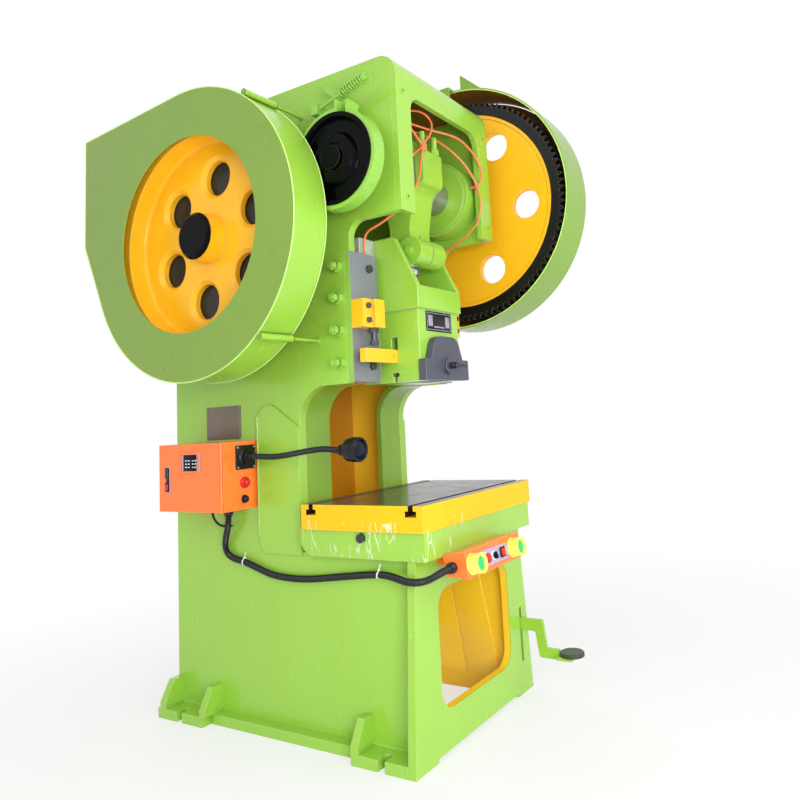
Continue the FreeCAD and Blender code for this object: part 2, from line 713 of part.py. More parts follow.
# Foot flanges with their open slots, and the gussets that stand on them.
foot_out = sz("foot_half")
foot_t = sz("foot_t")
strip_out = sz("strip_half")
slot_r = sz("foot_slot_r")
slot_end = foot_out - sz("foot_slot_depth")
foot_slots = (sz("front_slot_y"), sz("rear_slot_y"))
feet = []
for side, sign in (("left", -1), ("right", 1)):
    name = "foot_flange_" + side
    plate = padded(name + "_plate", "XY", 0, foot_t, [
        (side_half * sign, front_y),
        (foot_out * sign, front_y),
        (foot_out * sign, sz("front_foot_end_y")),
        (strip_out * sign, sz("front_foot_end_y")),
        (strip_out * sign, sz("rear_foot_start_y")),
        (foot_out * sign, sz("rear_foot_start_y")),
        (foot_out * sign, rear_y + 13),
        (side_half * sign, rear_y + 13),
    ])
    tools = []
    for i, y in enumerate(foot_slots):
        tools.append(rod(name + "_slot_%d" % i, "Z", (slot_end + slot_r) * sign, y, -5, slot_r, foot_t + 10))
        x0 = (slot_end + slot_r) if sign > 0 else -foot_out - 5
        x1 = foot_out + 5 if sign > 0 else -(slot_end + slot_r)
        tools.append(box(name + "_mouth_%d" % i, x0, x1, y - slot_r, y + slot_r, -5, foot_t + 5))
    feet.append(cut(name, plate, tools))
    for i, y in enumerate((sz("front_foot_end_y"), sz("rear_foot_start_y") + sz("gusset_t") - 15, rear_y)):
        feet.append(padded("gusset_%s_%d" % (side, i), "XZ", -y, sz("gusset_t"), [
            (side_half * sign, foot_t),
            (foot_out * sign, foot_t),
            (foot_out * sign, foot_t + 22),
            (strip_out * sign, sz("gusset_top_z")),
            (side_half * sign, sz("gusset_top_z")),
        ]))
node("foot_flanges", group("foot_flanges", feet))

# Bed casting and the table with its two T-slots.
bed_half = sz("bed_half")
node("bed_support", padded("bed_support", "YZ", -bed_half, bed_half * 2, [
    (sz("bed_front_y"), bed_low),
    (sz("bed_rear_y"), bed_low, sz("bed_round")),
    (sz("bed_rear_y"), table_low),
    (sz("bed_front_y"), table_low),
]))
bed_bolts = []
for sign in (-1, 1):
    start = -bed_half - 14 if sign < 0 else bed_half
    bed_bolts.append(hexagon("bed_bolt_%d" % (sign + 1), "X", start, 0, bed_low + sz("bed_t") * 0.75, 30, 14))
node("frame_screws", group("frame_screws", cover_screws + bed_bolts))

table_half_y = sz("table_depth") / 2
table_top = sz("table_height")
neck = sz("tslot_neck") / 2
head = sz("tslot_head") / 2
deep = sz("tslot_depth")
shelf = sz("tslot_depth") - sz("tslot_head_h")
table_outline = [(-table_half_y, table_low), (table_half_y, table_low), (table_half_y, table_top)]
for y in (sz("tslot_y"), -sz("tslot_y")):
    table_outline += [
        (y + neck, table_top),
        (y + neck, table_top - shelf),
        (y + head, table_top - shelf),
        (y + head, table_top - deep),
        (y - head, table_top - deep),
        (y - head, table_top - shelf),
        (y - neck, table_top - shelf),
        (y - neck, table_top),
    ]
table_outline.append((-table_half_y, table_top))
node("bolster_table", padded("bolster_table", "YZ", -sz("table_width") / 2, sz("table_width"), table_outline))


# ---------------------------------------------------------------- crank, gear and flywheel

journal = sz("journal_r")
stroke = sz("stroke")
pin_z = crank_z + stroke / 2
hub_end = sz("drum_out_x")

housings = []
housing_reach = sz("housing_reach")
for side, sign in (("left", -1), ("right", 1)):
    name = "bearing_housing_" + side
    outline = [
        (side_in - housing_reach, journal + fit),
        (side_in - housing_reach, sz("housing_flange_r") - 15),
        (side_in - housing_reach + 6, sz("housing_flange_r") - 15),
        (side_in - housing_reach + 6, sz("housing_flange_r")),
        (side_in - gap, sz("housing_flange_r")),
        (side_in - gap, sz("housing_r") - gap),
        (side_half + sz("housing_boss"), sz("housing_r") - gap),
        (side_half + sz("housing_boss"), journal + fit),
    ]
    if sign < 0:
        outline = [(-as_size(u), v) for u, v in outline]
    housings.append(turned(name, "XZ", outline, "H_Axis", (0, 0, crank_z)))
node("bearing_housings", group("bearing_housings", housings))

# The crankshaft: journals, two webs and the pin, with its drum end on the left.
web_in = sz("crank_web_in")
web_t = sz("crank_web_t")
shaft_parts = [
    rod("crank_left", "X", -hub_end + 10, 0, crank_z, journal, hub_end - 10 - web_in),
    rod("crank_end", "X", -hub_end - 15, 0, crank_z, journal - 15, 30),
    rod("crank_right", "X", web_in, 0, crank_z, journal, sz("gear_out_x") + 20 - web_in),
    rod("crank_pin", "X", -web_in - 5, 0, pin_z, sz("crank_pin_r"), web_in * 2 + 10),
]
web_half = sz("crank_web_half")
for i, start in enumerate((-web_in - web_t, web_in)):
    shaft_parts.append(padded("crank_web_%d" % i, "YZ", start, web_t, [
        (-web_half, crank_z - web_half, web_half * 0.9),
        (web_half, crank_z - web_half, web_half * 0.9),
        (web_half, pin_z + web_half, web_half * 0.9),
        (-web_half, pin_z + web_half, web_half * 0.9),
    ]))
for i, start in enumerate((-side_in + housing_reach + 2, web_in + web_t - 5)):
    shaft_parts.append(rod("crank_collar_%d" % i, "X", start, 0, crank_z, journal + 14,
                           side_in - housing_reach - 2 - web_in - web_t + 5))
node("crankshaft", join("crankshaft", shaft_parts))

drum_r = sz("drum_r")
drum_in = sz("drum_in_x")
node("brake_drum", turned("brake_drum", "XZ", [
    (-drum_in, journal + fit),
    (-drum_in, drum_r),
    (-hub_end, drum_r),
    (-hub_end, drum_r - 16, 3),
    (-hub_end + 22, drum_r - 26, 8),
    (-hub_end + 22, journal + 44, 8),
    (-hub_end, journal + 30, 4),
    (-hub_end, journal + fit),
], "H_Axis", (0, 0, crank_z)))

# Brake band with its two ends at the top, pulled together by a lever, a rod and a spring.
band_ring = cut("band_ring", rod("band_out", "X", -hub_end + 4, 0, crank_z, drum_r + sz("band_t"), hub_end - drum_in - 8),
                [rod("band_in", "X", -hub_end - 5, 0, crank_z, drum_r + gap, hub_end - drum_in + 10)])
band_gap = box("band_gap", -hub_end - 5, -drum_in + 5, -64, -24, crank_z + 100, crank_z + 240)
band_x0 = -hub_end + 4
band_x1 = -drum_in - 4
lug_a = box("band_lug_a", band_x0, band_x1, -24, -12, crank_z + drum_r + 4, crank_z + drum_r + 46)
lug_b = box("band_lug_b", band_x0, band_x1, -76, -64, crank_z + drum_r - 10, crank_z + drum_r + 34)
post = box("band_post", -hub_end + 10, -side_half, drum_r + sz("band_t") - 3, drum_r + 44, crank_z - 24, crank_z + 24)
node("brake_band", join("brake_band", [cut("band_open", band_ring, [band_gap]), lug_a, lug_b, post]))


def bar_between(name, x0, x1, a, b, half):
    """A flat bar with round ends between two points of a side view."""
    body = doc.addObject("PartDesign::Body", name)
    sketch = new_sketch(body, name + "_outline", "YZ", x0)
    ay, az, by, bz = num(a[0]), num(a[1]), num(b[0]), num(b[1])
    length = math.hypot(by - ay, bz - az)
    ny, nz = -(bz - az) / length, (by - ay) / length
    dy, dz = (by - ay) / length, (bz - az) / length
    width = as_size(half)
    p1 = (as_size(a[0]) + width * ny, as_size(a[1]) + width * nz)
    p2 = (as_size(b[0]) + width * ny, as_size(b[1]) + width * nz)
    p3 = (as_size(b[0]) - width * ny, as_size(b[1]) - width * nz)
    p4 = (as_size(a[0]) - width * ny, as_size(a[1]) - width * nz)
    far = V(by + dy * width.value, bz + dz * width.value, 0)
    near = V(ay - dy * width.value, az - dz * width.value, 0)
    flat = [V(num(p[0]), num(p[1]), 0) for p in (p1, p2, p3, p4)]
    for curve, first, last in ((Part.LineSegment(flat[0], flat[1]), p1, p2),
                               (Part.Arc(flat[1], far, flat[2]), p2, p3),
                               (Part.LineSegment(flat[2], flat[3]), p3, p4),
                               (Part.Arc(flat[3], near, flat[0]), p4, p1)):
        geo = sketch.addGeometry(curve, False)
        if isinstance(curve, Part.LineSegment):
            pin(sketch, geo, 1, first)
            pin(sketch, geo, 2, last)
        else:
            pin(sketch, geo, 2, first)
            pin(sketch, geo, 1, last)
    pad = body.newObject("PartDesign::Pad", name + "_pad")
    pad.Profile = sketch
    bind(pad, "Length", as_size(x1) - x0)
    body.Tip = pad
    return body


lever_x = -drum_in + 2
node("brake_lever", join("brake_lever", [
    bar_between("brake_lever_bar", lever_x, lever_x + 8, (78, crank_z + 314), (-56, crank_z + 204), 14),
    rod("brake_lever_pivot", "X", lever_x + 8, 78, crank_z + 314, 12, -side_half - lever_x - 8),
    rod("brake_lever_pin", "X", band_x0 + 8, -56, crank_z + 204, 7, lever_x - band_x0 - 8),
]))
ROD_A = V(num(lever_x) - 18, 112, num(crank_z) + 228)
ROD_B = V(num(lever_x) - 18, -150, num(crank_z) + 302)
rod_dir = (ROD_B - ROD_A).normalize()
rod_turn = FreeCAD.Rotation(V(0, 0, 1), rod_dir)


def on_rod(name, radius, start, length):
    obj = doc.addObject("Part::Cylinder", name)
    bind(obj, "Radius", radius)
    bind(obj, "Height", length)
    place = ROD_A + rod_dir * start
    obj.Placement = FreeCAD.Placement(place, rod_turn)
    return at(obj, lever_x - 18, place.y, crank_z + (place.z - num(crank_z)))


rod_length = (ROD_B - ROD_A).Length
clevis = box("brake_clevis_block", lever_x - 34, -side_half, 98, 128, crank_z + 208, crank_z + 246)
rod_solid = join("brake_rod_solid", [on_rod("brake_rod_bar", sz("brake_rod_r"), 0, rod_length), clevis])
star = doc.addObject("Part::Prism", "brake_nut")
star.Polygon = 6
bind(star, "Circumradius", 15)
bind(star, "Height", 16)
nut_at = ROD_A + rod_dir * (rod_length - 32)
star.Placement = FreeCAD.Placement(nut_at, rod_turn)
at(star, lever_x - 18, nut_at.y, crank_z + (nut_at.z - num(crank_z)))
nut_solid = cut("brake_nut_holed", star, [on_rod("brake_nut_bore", sz("brake_rod_r") + fit, 0, rod_length)])
SPRING_FROM = rod_length - 32 - 108
SPRING_TO = rod_length - 32 - 6
node("brake_rod", group("brake_rod", [
    rod_solid,
    nut_solid,
    cut("washer_a", on_rod("washer_a_disc", 16, SPRING_FROM - 6, 5.5), [on_rod("washer_a_bore", sz("brake_rod_r") + fit, 0, rod_length)]),
    cut("washer_b", on_rod("washer_b_disc", 16, SPRING_TO + 0.3, 5.5), [on_rod("washer_b_bore", sz("brake_rod_r") + fit, 0, rod_length)]),
]))


def biarc(p0, t0, p1, t1):
    """Two tangent arcs that leave p0 along t0 and reach p1 along t1."""
    chord = p1 - p0
    total = t0 + t1
    a = 2 * (1 - t0.dot(t1))
    b = 2 * chord.dot(total)
    c = -chord.dot(chord)
    d = -c / b if abs(a) < 1e-12 else (-b + math.sqrt(b * b - 4 * a * c)) / (2 * a)
    middle = (p0 + t0 * d + p1 - t1 * d) * 0.5
    arcs = []
    for start, tangent, end in ((p0, t0, middle), (p1, t1 * -1, middle)):
        span = end - start
        normal = span.cross(tangent).cross(span).normalize()
        half = tangent.getAngle(span)
        bulge = span.Length / 2 * math.tan(half / 2)
        arcs.append((start, (start + end) * 0.5 + normal * bulge, end))
    first = Part.Arc(*arcs[0]).toShape()
    start, mid, end = arcs[1]
    second = Part.Arc(end, mid, start).toShape()
    return [first, second]


def coil(start, direction, length, radius, wire, turns):
    """A round wire wound round an axis, one unbroken tube with flat-lying end turns."""
    turn = FreeCAD.Rotation(V(0, 0, 1), direction)
    steps = int(turns * 4)
    rise = length - wire
    points = []
    for i in range(steps + 1):
        angle = math.pi / 2 * i
        z = wire / 2 + rise * i / steps
        point = V(radius * math.cos(angle), radius * math.sin(angle), z)
        tangent = V(-radius * math.sin(angle), radius * math.cos(angle), rise / steps / (math.pi / 2)).normalize()
        points.append((start + turn.multVec(point), turn.multVec(tangent)))
    edges = []
    for (p0, t0), (p1, t1) in zip(points, points[1:]):
        edges += biarc(p0, t0, p1, t1)
    path = Part.Wire(edges)
    circle = Part.Wire([Part.Circle(points[0][0], points[0][1], wire / 2).toShape()])
    solid = path.makePipeShell([circle], True, False)
    least = rise / turns - wire
    print("spring gap %.2f, volume share %.4f" % (least, solid.Volume / (math.pi * wire * wire / 4 * path.Length)))
    return solid


spring = doc.addObject("Part::Feature", "brake_spring")
spring.Shape = coil(ROD_A + rod_dir * SPRING_FROM, rod_dir, SPRING_TO - SPRING_FROM,
                    num(sz("spring_r")), num(sz("spring_wire")), int(num(sz("spring_turns"))))
node("brake_spring", spring)

# Gear wheels: straight-sided teeth from a count and a module.
module = num(sz("gear_module"))
gear_teeth = int(num(sz("gear_teeth")))
pinion_teeth = int(num(sz("pinion_teeth")))
mesh_angle = math.atan2(num(fly_z) - num(crank_z), num(fly_y))


def tooth_ring(name, x0, x1, y, z, teeth, bore, phase):
    """A toothed ring; the middle of one tooth points along the phase angle."""
    pitch_r = module * teeth / 2
    radii = (pitch_r - 1.2 * module, pitch_r + 0.9 * module)
    halves = (0.95 * module, 0.30 * module)
    points = []
    for k in range(teeth):
        middle = phase + 2 * math.pi * k / teeth
        for radius, half, side in ((radii[0], halves[0], -1), (radii[1], halves[1], -1),
                                   (radii[1], halves[1], 1), (radii[0], halves[0], 1)):
            angle = middle + side * half / radius
            points.append(V(num(x0), num(y) + radius * math.cos(angle), num(z) + radius * math.sin(angle)))
    face = Part.Face(Part.makePolygon(points + [points[0]]))
    hole = Part.Face(Part.Wire([Part.Circle(V(num(x0), num(y), num(z)), V(1, 0, 0), num(bore)).toShape()]))
    obj = doc.addObject("Part::Feature", name)
    obj.Shape = face.cut(hole).extrude(V(num(x1) - num(x0), 0, 0))
    return obj


gear_x = sz("gear_in_x")
gear_far = sz("gear_out_x")
disc_r = sz("gear_disc_r")
gear_hub = sz("gear_hub_r")
ring = tooth_ring("gear_ring", gear_x, gear_far, 0, crank_z, gear_teeth, disc_r, mesh_angle)
hole_pitch = sz("gear_hole_pitch_r")
web_holes = []
for k in range(6):
    angle = math.radians(num(sz("gear_hole_phase")) + 60 * k)
    web_holes.append((hole_pitch * math.cos(angle), crank_z + hole_pitch * math.sin(angle), sz("gear_hole_r")))
gear_web = padded("gear_web", "YZ", gear_x + 6, sz("gear_web_t"), rounds=web_holes, circle=(0, crank_z, disc_r))
lip = cut("gear_lip", rod("gear_lip_out", "X", gear_x, 0, crank_z, disc_r, 10),
          [rod("gear_lip_in", "X", gear_x - 5, 0, crank_z, disc_r - 14, 20)])
hub = rod("gear_hub", "X", gear_x, 0, crank_z, gear_hub, gear_far - gear_x)
node("drive_gear", cut("drive_gear", join("gear_solid", [ring, gear_web, lip, hub]),
                       [rod("gear_bore", "X", gear_x - 10, 0, crank_z, journal + fit, gear_far - gear_x + 20)]))
node("gear_end_cap", rod("gear_end_cap", "X", gear_far + 20, 0, crank_z, journal + 18, 14))

shaft_r = sz("shaft_r")
fly_out = sz("fly_out_x")
fly_in = sz("fly_in_x")
pin_ring = tooth_ring("pinion_ring", gear_x - 4, gear_far + 4, fly_y, fly_z, pinion_teeth, shaft_r - 5,
                      mesh_angle + math.pi + math.pi / pinion_teeth)
node("pinion_shaft", join("pinion_shaft", [
    pin_ring,
    rod("pinion_shaft_bar", "X", -fly_out, fly_y, fly_z, shaft_r, fly_out + gear_far + 12),
]))
shaft_bearings = []
for side, sign in (("left", -1), ("right", 1)):
    name = "shaft_bearing_" + side
    outline = [
        (side_in - 24, shaft_r + fit),
        (side_in - 24, sz("shaft_housing_r") - gap),
        (side_half + gap, sz("shaft_housing_r") - gap),
        (side_half + gap, sz("shaft_housing_r") + 25),
        (side_half + 26, sz("shaft_housing_r") + 25, 6),
        (side_half + 26, shaft_r + 22),
        (side_half + 60, shaft_r + 18),
        (side_half + 60, shaft_r + fit),
    ]
    if sign < 0:
        outline = [(-as_size(u), v) + ((6,) if i == 4 else ()) for i, (u, v) in enumerate([o[:2] for o in outline])]
    shaft_bearings.append(turned(name, "XZ", outline, "H_Axis", (0, fly_y, fly_z)))
node("shaft_bearings", group("shaft_bearings", shaft_bearings))

# Flywheel: deep rim with belt grooves, a web with six chamfered windows, and a hub.
fly_r = sz("fly_r")
web_x = sz("fly_web_x")
groove_d = sz("groove_depth")
groove_w = sz("groove_width")
groove_step = sz("groove_step")
belts = int(num(sz("belt_count")))
middle_x = (fly_out + fly_in) / 2


def grooved_rim(radius, centre_x, from_x, to_x):
    """The outer line of a grooved rim from the left to the right."""
    line = [(-from_x, radius)]
    for k in range(belts):
        c = -(as_size(centre_x) + groove_step * ((belts - 1) / 2 - k))
        line += [
            (c - groove_w / 2, radius),
            (c - groove_w / 2, radius - groove_d),
            (c + groove_w / 2, radius - groove_d),
            (c + groove_w / 2, radius),
        ]
    line.append((-to_x, radius))
    return line


wheel = turned("flywheel_blank", "XZ", [
    (-fly_out, shaft_r + fit),
    (-fly_out, shaft_r + 50),
    (-web_x, shaft_r + 58),
    (-web_x, fly_r - 60, 18),
    (-fly_out, fly_r - 50),
] + grooved_rim(fly_r, middle_x, fly_out, fly_in) + [
    (-fly_in, shaft_r + 55),
    (-fly_in + 14, shaft_r + 55),
    (-fly_in + 14, shaft_r + fit),
], "H_Axis", (0, fly_y, fly_z))
wheel_cuts = []
for k in range(6):
    angle = math.radians(num(sz("fly_hole_phase")) + 60 * k)
    y = fly_y + sz("fly_hole_pitch_r") * math.cos(angle)
    z = fly_z + sz("fly_hole_pitch_r") * math.sin(angle)
    wheel_cuts.append(rod("fly_hole_%d" % k, "X", -web_x - 5, y, z, sz("fly_hole_r"), web_x - fly_in + 10))
    wheel_cuts.append(cone("fly_chamfer_%d" % k, "X", -web_x - 2, y, z, sz("fly_hole_r") + 18, sz("fly_hole_r"), 16))
node("flywheel", cut("flywheel", wheel, wheel_cuts))
node("flywheel_cap", turned("flywheel_cap", "XZ", [
    (-fly_out - 12, 0),
    (-fly_out - 12, sz("fly_cap_r") - 12, 8),
    (-fly_out - 0, sz("fly_cap_r")),
    (-fly_out, 0),
], "H_Axis", (0, fly_y, fly_z)))


def tangent_loop(x, c1, r1, c2, r2):
    """A wire of two arcs and the two outer tangents round two circles of a side view."""
    dy, dz = c2[0] - c1[0], c2[1] - c1[1]
    distance = math.hypot(dy, dz)
    base = math.atan2(dz, dy)
    lean = math.acos((r1 - r2) / distance)
    spots = []
    for centre, radius in ((c1, r1), (c2, r2)):
        for sign in (1, -1):
            angle = base + sign * lean
            spots.append(V(x, centre[0] + radius * math.cos(angle), centre[1] + radius * math.sin(angle)))
    back = V(x, c1[0] - r1 * math.cos(base), c1[1] - r1 * math.sin(base))
    front = V(x, c2[0] + r2 * math.cos(base), c2[1] + r2 * math.sin(base))
    return Part.Wire([
        Part.Arc(spots[0], back, spots[1]).toShape(),
        Part.LineSegment(spots[1], spots[3]).toShape(),
        Part.Arc(spots[3], front, spots[2]).toShape(),
        Part.LineSegment(spots[2], spots[0]).toShape(),
    ])


def loop_band(name, x, width, c1, r1, c2, r2, thick):
    outer = Part.Face(tangent_loop(x, c1, r1 + thick, c2, r2 + thick))
    inner = Part.Face(tangent_loop(x, c1, r1, c2, r2))
    obj = doc.addObject("Part::Feature", name)
    obj.Shape = outer.cut(inner).extrude(V(width, 0, 0))
    return obj


# Motor on its bracket, its pulley and the belts.
motor_y = sz("motor_y")
motor_z = sz("motor_z")
pulley_r = sz("pulley_r")
motor_shaft = sz("motor_shaft_r")
node("motor_pulley", turned("motor_pulley", "XZ", [(-fly_out, 0)]
                            + grooved_rim(pulley_r, middle_x, fly_out, fly_in)
                            + [
    (-fly_in, motor_shaft),
    (-sz("motor_face_x") - 20 - gap, motor_shaft),
    (-sz("motor_face_x") - 20 - gap, 0),
], "H_Axis", (0, motor_y, motor_z)))
belt_list = []
for k in range(belts):
    c = -num(middle_x) - num(groove_step) * ((belts - 1) / 2 - k)
    belt_list.append(loop_band("belt_%d" % k, c - num(groove_w) / 2 + 1, num(groove_w) - 2,
                               (num(fly_y), num(fly_z)), num(fly_r - groove_d + gap),
                               (num(motor_y), num(motor_z)), num(pulley_r - groove_d + gap), num(groove_d)))
node("drive_belts", group("drive_belts", belt_list))

motor_r = sz("motor_r")
motor_x0 = -sz("motor_face_x")
motor_len = sz("motor_length")
foot_half = motor_r - 25
motor_list = [
    turned("motor_body", "XZ", [
        (motor_x0 - 20, 0),
        (motor_x0 - 20, motor_shaft + 20),
        (motor_x0, motor_shaft + 26),
        (motor_x0, motor_r + 8),
        (motor_x0 + 22, motor_r + 8),
        (motor_x0 + 22, motor_r),
        (motor_x0 + motor_len - 90, motor_r),
        (motor_x0 + motor_len - 90, motor_r + 4),
        (motor_x0 + motor_len, motor_r + 4, 20),
        (motor_x0 + motor_len, 0),
    ], "H_Axis", (0, motor_y, motor_z)),
    box("motor_terminal", motor_x0 + 90, motor_x0 + 200, motor_y - 55, motor_y + 55, motor_z + motor_r - 15, motor_z + motor_r + 55),
    box("motor_foot_a", motor_x0 + 30, motor_x0 + 70, motor_y - foot_half, motor_y + foot_half, motor_z - motor_r - 10, motor_z - motor_r + 30),
    box("motor_foot_b", motor_x0 + motor_len - 140, motor_x0 + motor_len - 100, motor_y - foot_half, motor_y + foot_half,
        motor_z - motor_r - 10, motor_z - motor_r + 30),
]
for k in range(12):
    angle = math.radians(15 + 30 * k)
    fin = doc.addObject("Part::Box", "motor_fin_%d" % k)
    bind(fin, "Length", motor_len - 120)
    bind(fin, "Width", 4)
    bind(fin, "Height", 14)
    fin.Placement = FreeCAD.Placement(V(0, 0, 0), FreeCAD.Rotation(V(1, 0, 0), math.degrees(angle) - 90))
    at(fin, motor_x0 + 24, motor_y + (motor_r - 4) * math.cos(angle), motor_z + (motor_r - 4) * math.sin(angle))
    motor_list.append(fin)
node("motor", join("motor", motor_list))

plate_top = motor_z - motor_r - 10
bracket = [box("motor_plate", motor_x0 + 10, motor_x0 + motor_len - 60, motor_y - foot_half, motor_y + foot_half + 10, plate_top - 20, plate_top)]
for i, x in enumerate((motor_x0 + 30, motor_x0 + motor_len - 120)):
    bracket.append(padded("motor_gusset_%d" % i, "YZ", x, 20, [
        (rear_y, plate_top - 20),
        (rear_y, plate_top - 300),
        (motor_y + foot_half, plate_top - 60),
        (motor_y + foot_half, plate_top - 20),
    ]))
bracket.append(box("motor_pad", motor_x0 + 20, motor_x0 + motor_len - 90, rear_y, rear_y + 14, plate_top - 320, plate_top - 20))
node("motor_bracket", join("motor_bracket", bracket))


# ---------------------------------------------------------------- connecting rod, ram and guides

rod_half = sz("conrod_half")
ball_z = sz("ball_z")
screw_r = sz("screw_r")
rod_body = padded("conrod_body", "YZ", -rod_half, rod_half * 2, [
    (-130, pin_z - fit * 4),
    (-130, pin_z - 76, 24),
    (-78, pin_z - 98, 60),
    (-50, pin_z - 250, 90),
    (-54, ball_z + 124),
    (54, ball_z + 124),
    (50, pin_z - 250, 90),
    (78, pin_z - 98, 60),
    (130, pin_z - 76, 24),
    (130, pin_z - fit * 4),
])
lug_z = ball_z + 172
rod_lug = rod("conrod_lug", "X", -sz("conrod_lug_half"), -56, lug_z, sz("conrod_lug_r"), sz("conrod_lug_half") * 2)
rod_slit = box("conrod_slit", -3, 3, -120, -screw_r + 4, ball_z + 110, ball_z + 250)
node("conrod", cut("conrod", join("conrod_solid", [rod_body, rod_lug]), [
    rod("conrod_eye", "X", -rod_half - 10, 0, pin_z, sz("crank_pin_r") + fit, rod_half * 2 + 20),
    rod("conrod_screw_hole", "Z", 0, 0, ball_z + 100, screw_r + fit, 240),
    rod_slit,
]))
cap_body = padded("conrod_cap_body", "YZ", -rod_half, rod_half * 2, [
    (-130, pin_z + fit * 4),
    (130, pin_z + fit * 4),
    (130, pin_z + 62, 5),
    (88, pin_z + 62, 10),
    (70, pin_z + 133, 55),
    (-70, pin_z + 133, 55),
    (-88, pin_z + 62, 10),
    (-130, pin_z + 62, 5),
])
node("conrod_cap", cut("conrod_cap", cap_body, [
    rod("conrod_cap_eye", "X", -rod_half - 10, 0, pin_z, sz("crank_pin_r") + fit, rod_half * 2 + 20),
]))
fasteners = []
for i, (x, y) in enumerate(((-44, -113), (44, -113), (-44, 113), (44, 113))):
    stud = [
        rod("cap_stud_%d" % i, "Z", x, y, pin_z + 62, 12, 78),
        hexagon("cap_nut_%d" % i, "Z", x, y, pin_z + 62, 33, 26),
    ]
    fasteners.append(join("cap_bolt_%d" % i, stud))
for i, x in enumerate((-1, 1)):
    start = -sz("conrod_lug_half") - 15 if x < 0 else sz("conrod_lug_half")
    fasteners.append(hexagon("clamp_head_%d" % i, "X", start, -56, lug_z, 32, 15))
ring_nut = cut("ring_nut", rod("ring_nut_disc", "Z", 0, 0, ball_z + 90, 32, 28),
               [rod("ring_nut_bore", "Z", 0, 0, ball_z + 80, screw_r + fit, 60)])
fasteners.append(ring_nut)
node("conrod_fasteners", group("conrod_fasteners", fasteners))
node("adjusting_screw", join("adjusting_screw", [
    rod("adjusting_screw_bar", "Z", 0, 0, ball_z, screw_r, 300),
    ball("adjusting_screw_ball", 0, 0, ball_z, sz("ball_r")),
]))

# The ram: two cheeks with an open pocket between them, two guide ears, and the tool seat below.
ram_half = sz("ram_half")
ram_low_half = sz("ram_low_half")
ram_front = sz("ram_front_y")
ram_rear = sz("ram_rear_y")
ram_low = sz("ram_low_z")
step_z = sz("ram_step_z")
wall_z = sz("ram_wall_z")
ram_top = sz("ram_top_z")
pocket = sz("ram_pocket_half")
slot_low = sz("bar_low_z") - gap
ear_y0 = seat_y + gap
upper = padded("ram_upper", "YZ", -ram_half, ram_half * 2, [
    (ram_front, step_z, 6),
    (ram_rear, step_z),
    (ram_rear, ram_top),
    (-29, ram_top, 20),
    (ram_front, wall_z, 30),
])
lower = box("ram_lower", -ram_low_half, ram_low_half, sz("ram_low_front_y"), ram_rear, ram_low, step_z + 1)
ears = [
    box("ram_ear_left", -sz("ear_half"), -ram_low_half + 1, ear_y0, ear_y0 + sz("ear_t"), ram_low + 5, ram_top),
    box("ram_ear_right", ram_low_half - 1, sz("ear_half"), ear_y0, ear_y0 + sz("ear_t"), ram_low + 5, ram_top),
]
chamber = sz("ball_r") + 6
swing = stroke / 2
shank_r = sz("shank_r")
ram_tools = [
    box("ram_pocket", -pocket, pocket, ram_front - 5, swing + 57, wall_z, ram_top + 5),
    box("ram_chamber", -chamber, chamber, -chamber, swing + 57, ball_z - sz("ball_r") - 16, wall_z + 5),
    box("ram_bar_slot", -ram_half - 5, ram_half + 5, -sz("bar_half_y") - gap, sz("bar_half_y") + gap, slot_low, sz("slot_top_z")),
    rod("ram_shank_bore", "Z", 0, 0, ram_low - 5, shank_r, slot_low - ram_low + 5),
    box("ram_tongue_seat", -sz("tongue_half") - gap, sz("tongue_half") + gap, sz("ram_low_front_y") - 5, 0,
        ram_low - 5, ram_low + sz("tongue_h") + gap),
]
t_neck = sz("ram_tslot_neck") / 2
t_head = sz("ram_tslot_head") / 2
for side, sign in (("left", -1), ("right", 1)):
    x0 = -ram_low_half - 5 if sign < 0 else sz("tongue_half") + 12
    x1 = -sz("tongue_half") - 12 if sign < 0 else ram_low_half + 5
    top = ram_low + sz("ram_tslot_depth")
    ram_tools.append(box("ram_tslot_neck_" + side, x0, x1, -t_neck, t_neck, ram_low - 5, top - sz("ram_tslot_head_h") + 1))
    ram_tools.append(box("ram_tslot_head_" + side, x0, x1, -t_head, t_head, top - sz("ram_tslot_head_h"), top))
node("ram", cut("ram", join("ram_solid", [upper, lower] + ears), ram_tools))

clamp_front = sz("ram_low_front_y") - 33
clamp_plate = padded("die_clamp_plate", "XZ", -sz("ram_low_front_y"), 33, [
    (-ram_half, ram_low),
    (ram_half, ram_low),
    (ram_half, ram_low + 81, 8),
    (112, ram_low + 81, 10),
    (78, ram_low + 171, 55),
    (-78, ram_low + 171, 55),
    (-112, ram_low + 81, 10),
    (-ram_half, ram_low + 81, 8),
])
tongue = box("die_clamp_tongue", -sz("tongue_half"), sz("tongue_half"), sz("ram_low_front_y") - 1, -gap, ram_low, ram_low + sz("tongue_h"))
boss = rod("die_clamp_boss", "Y", 0, clamp_front - 14, ram_low + 55, 33, 16)
node("die_clamp", cut("die_clamp", join("die_clamp_solid", [clamp_plate, tongue, boss]), [
    rod("die_clamp_bore", "Z", 0, 0, ram_low - 5, shank_r, sz("tongue_h") + 20),
]))
node("ram_screws", join("ram_screws", [
    rod("clamp_screw", "Y", 0, clamp_front - 46, ram_low + 55, 13, 32),
    rod("clamp_screw_handle", "X", -24, clamp_front - 33, ram_low + 55, 5, 110),
]))

bar_low = sz("bar_low_z")
bar = box("knock_out_blank", -side_half, side_half, -sz("bar_half_y"), sz("bar_half_y"), bar_low, bar_low + sz("bar_h"))
pins = []
for i, x in enumerate((-175, 175)):
    pins.append(rod("knock_out_pin_%d" % i, "Y", x, -26, bar_low + sz("bar_h") / 2, 4, 52))
node("knock_out_bar", join("knock_out_bar", [bar] + pins))

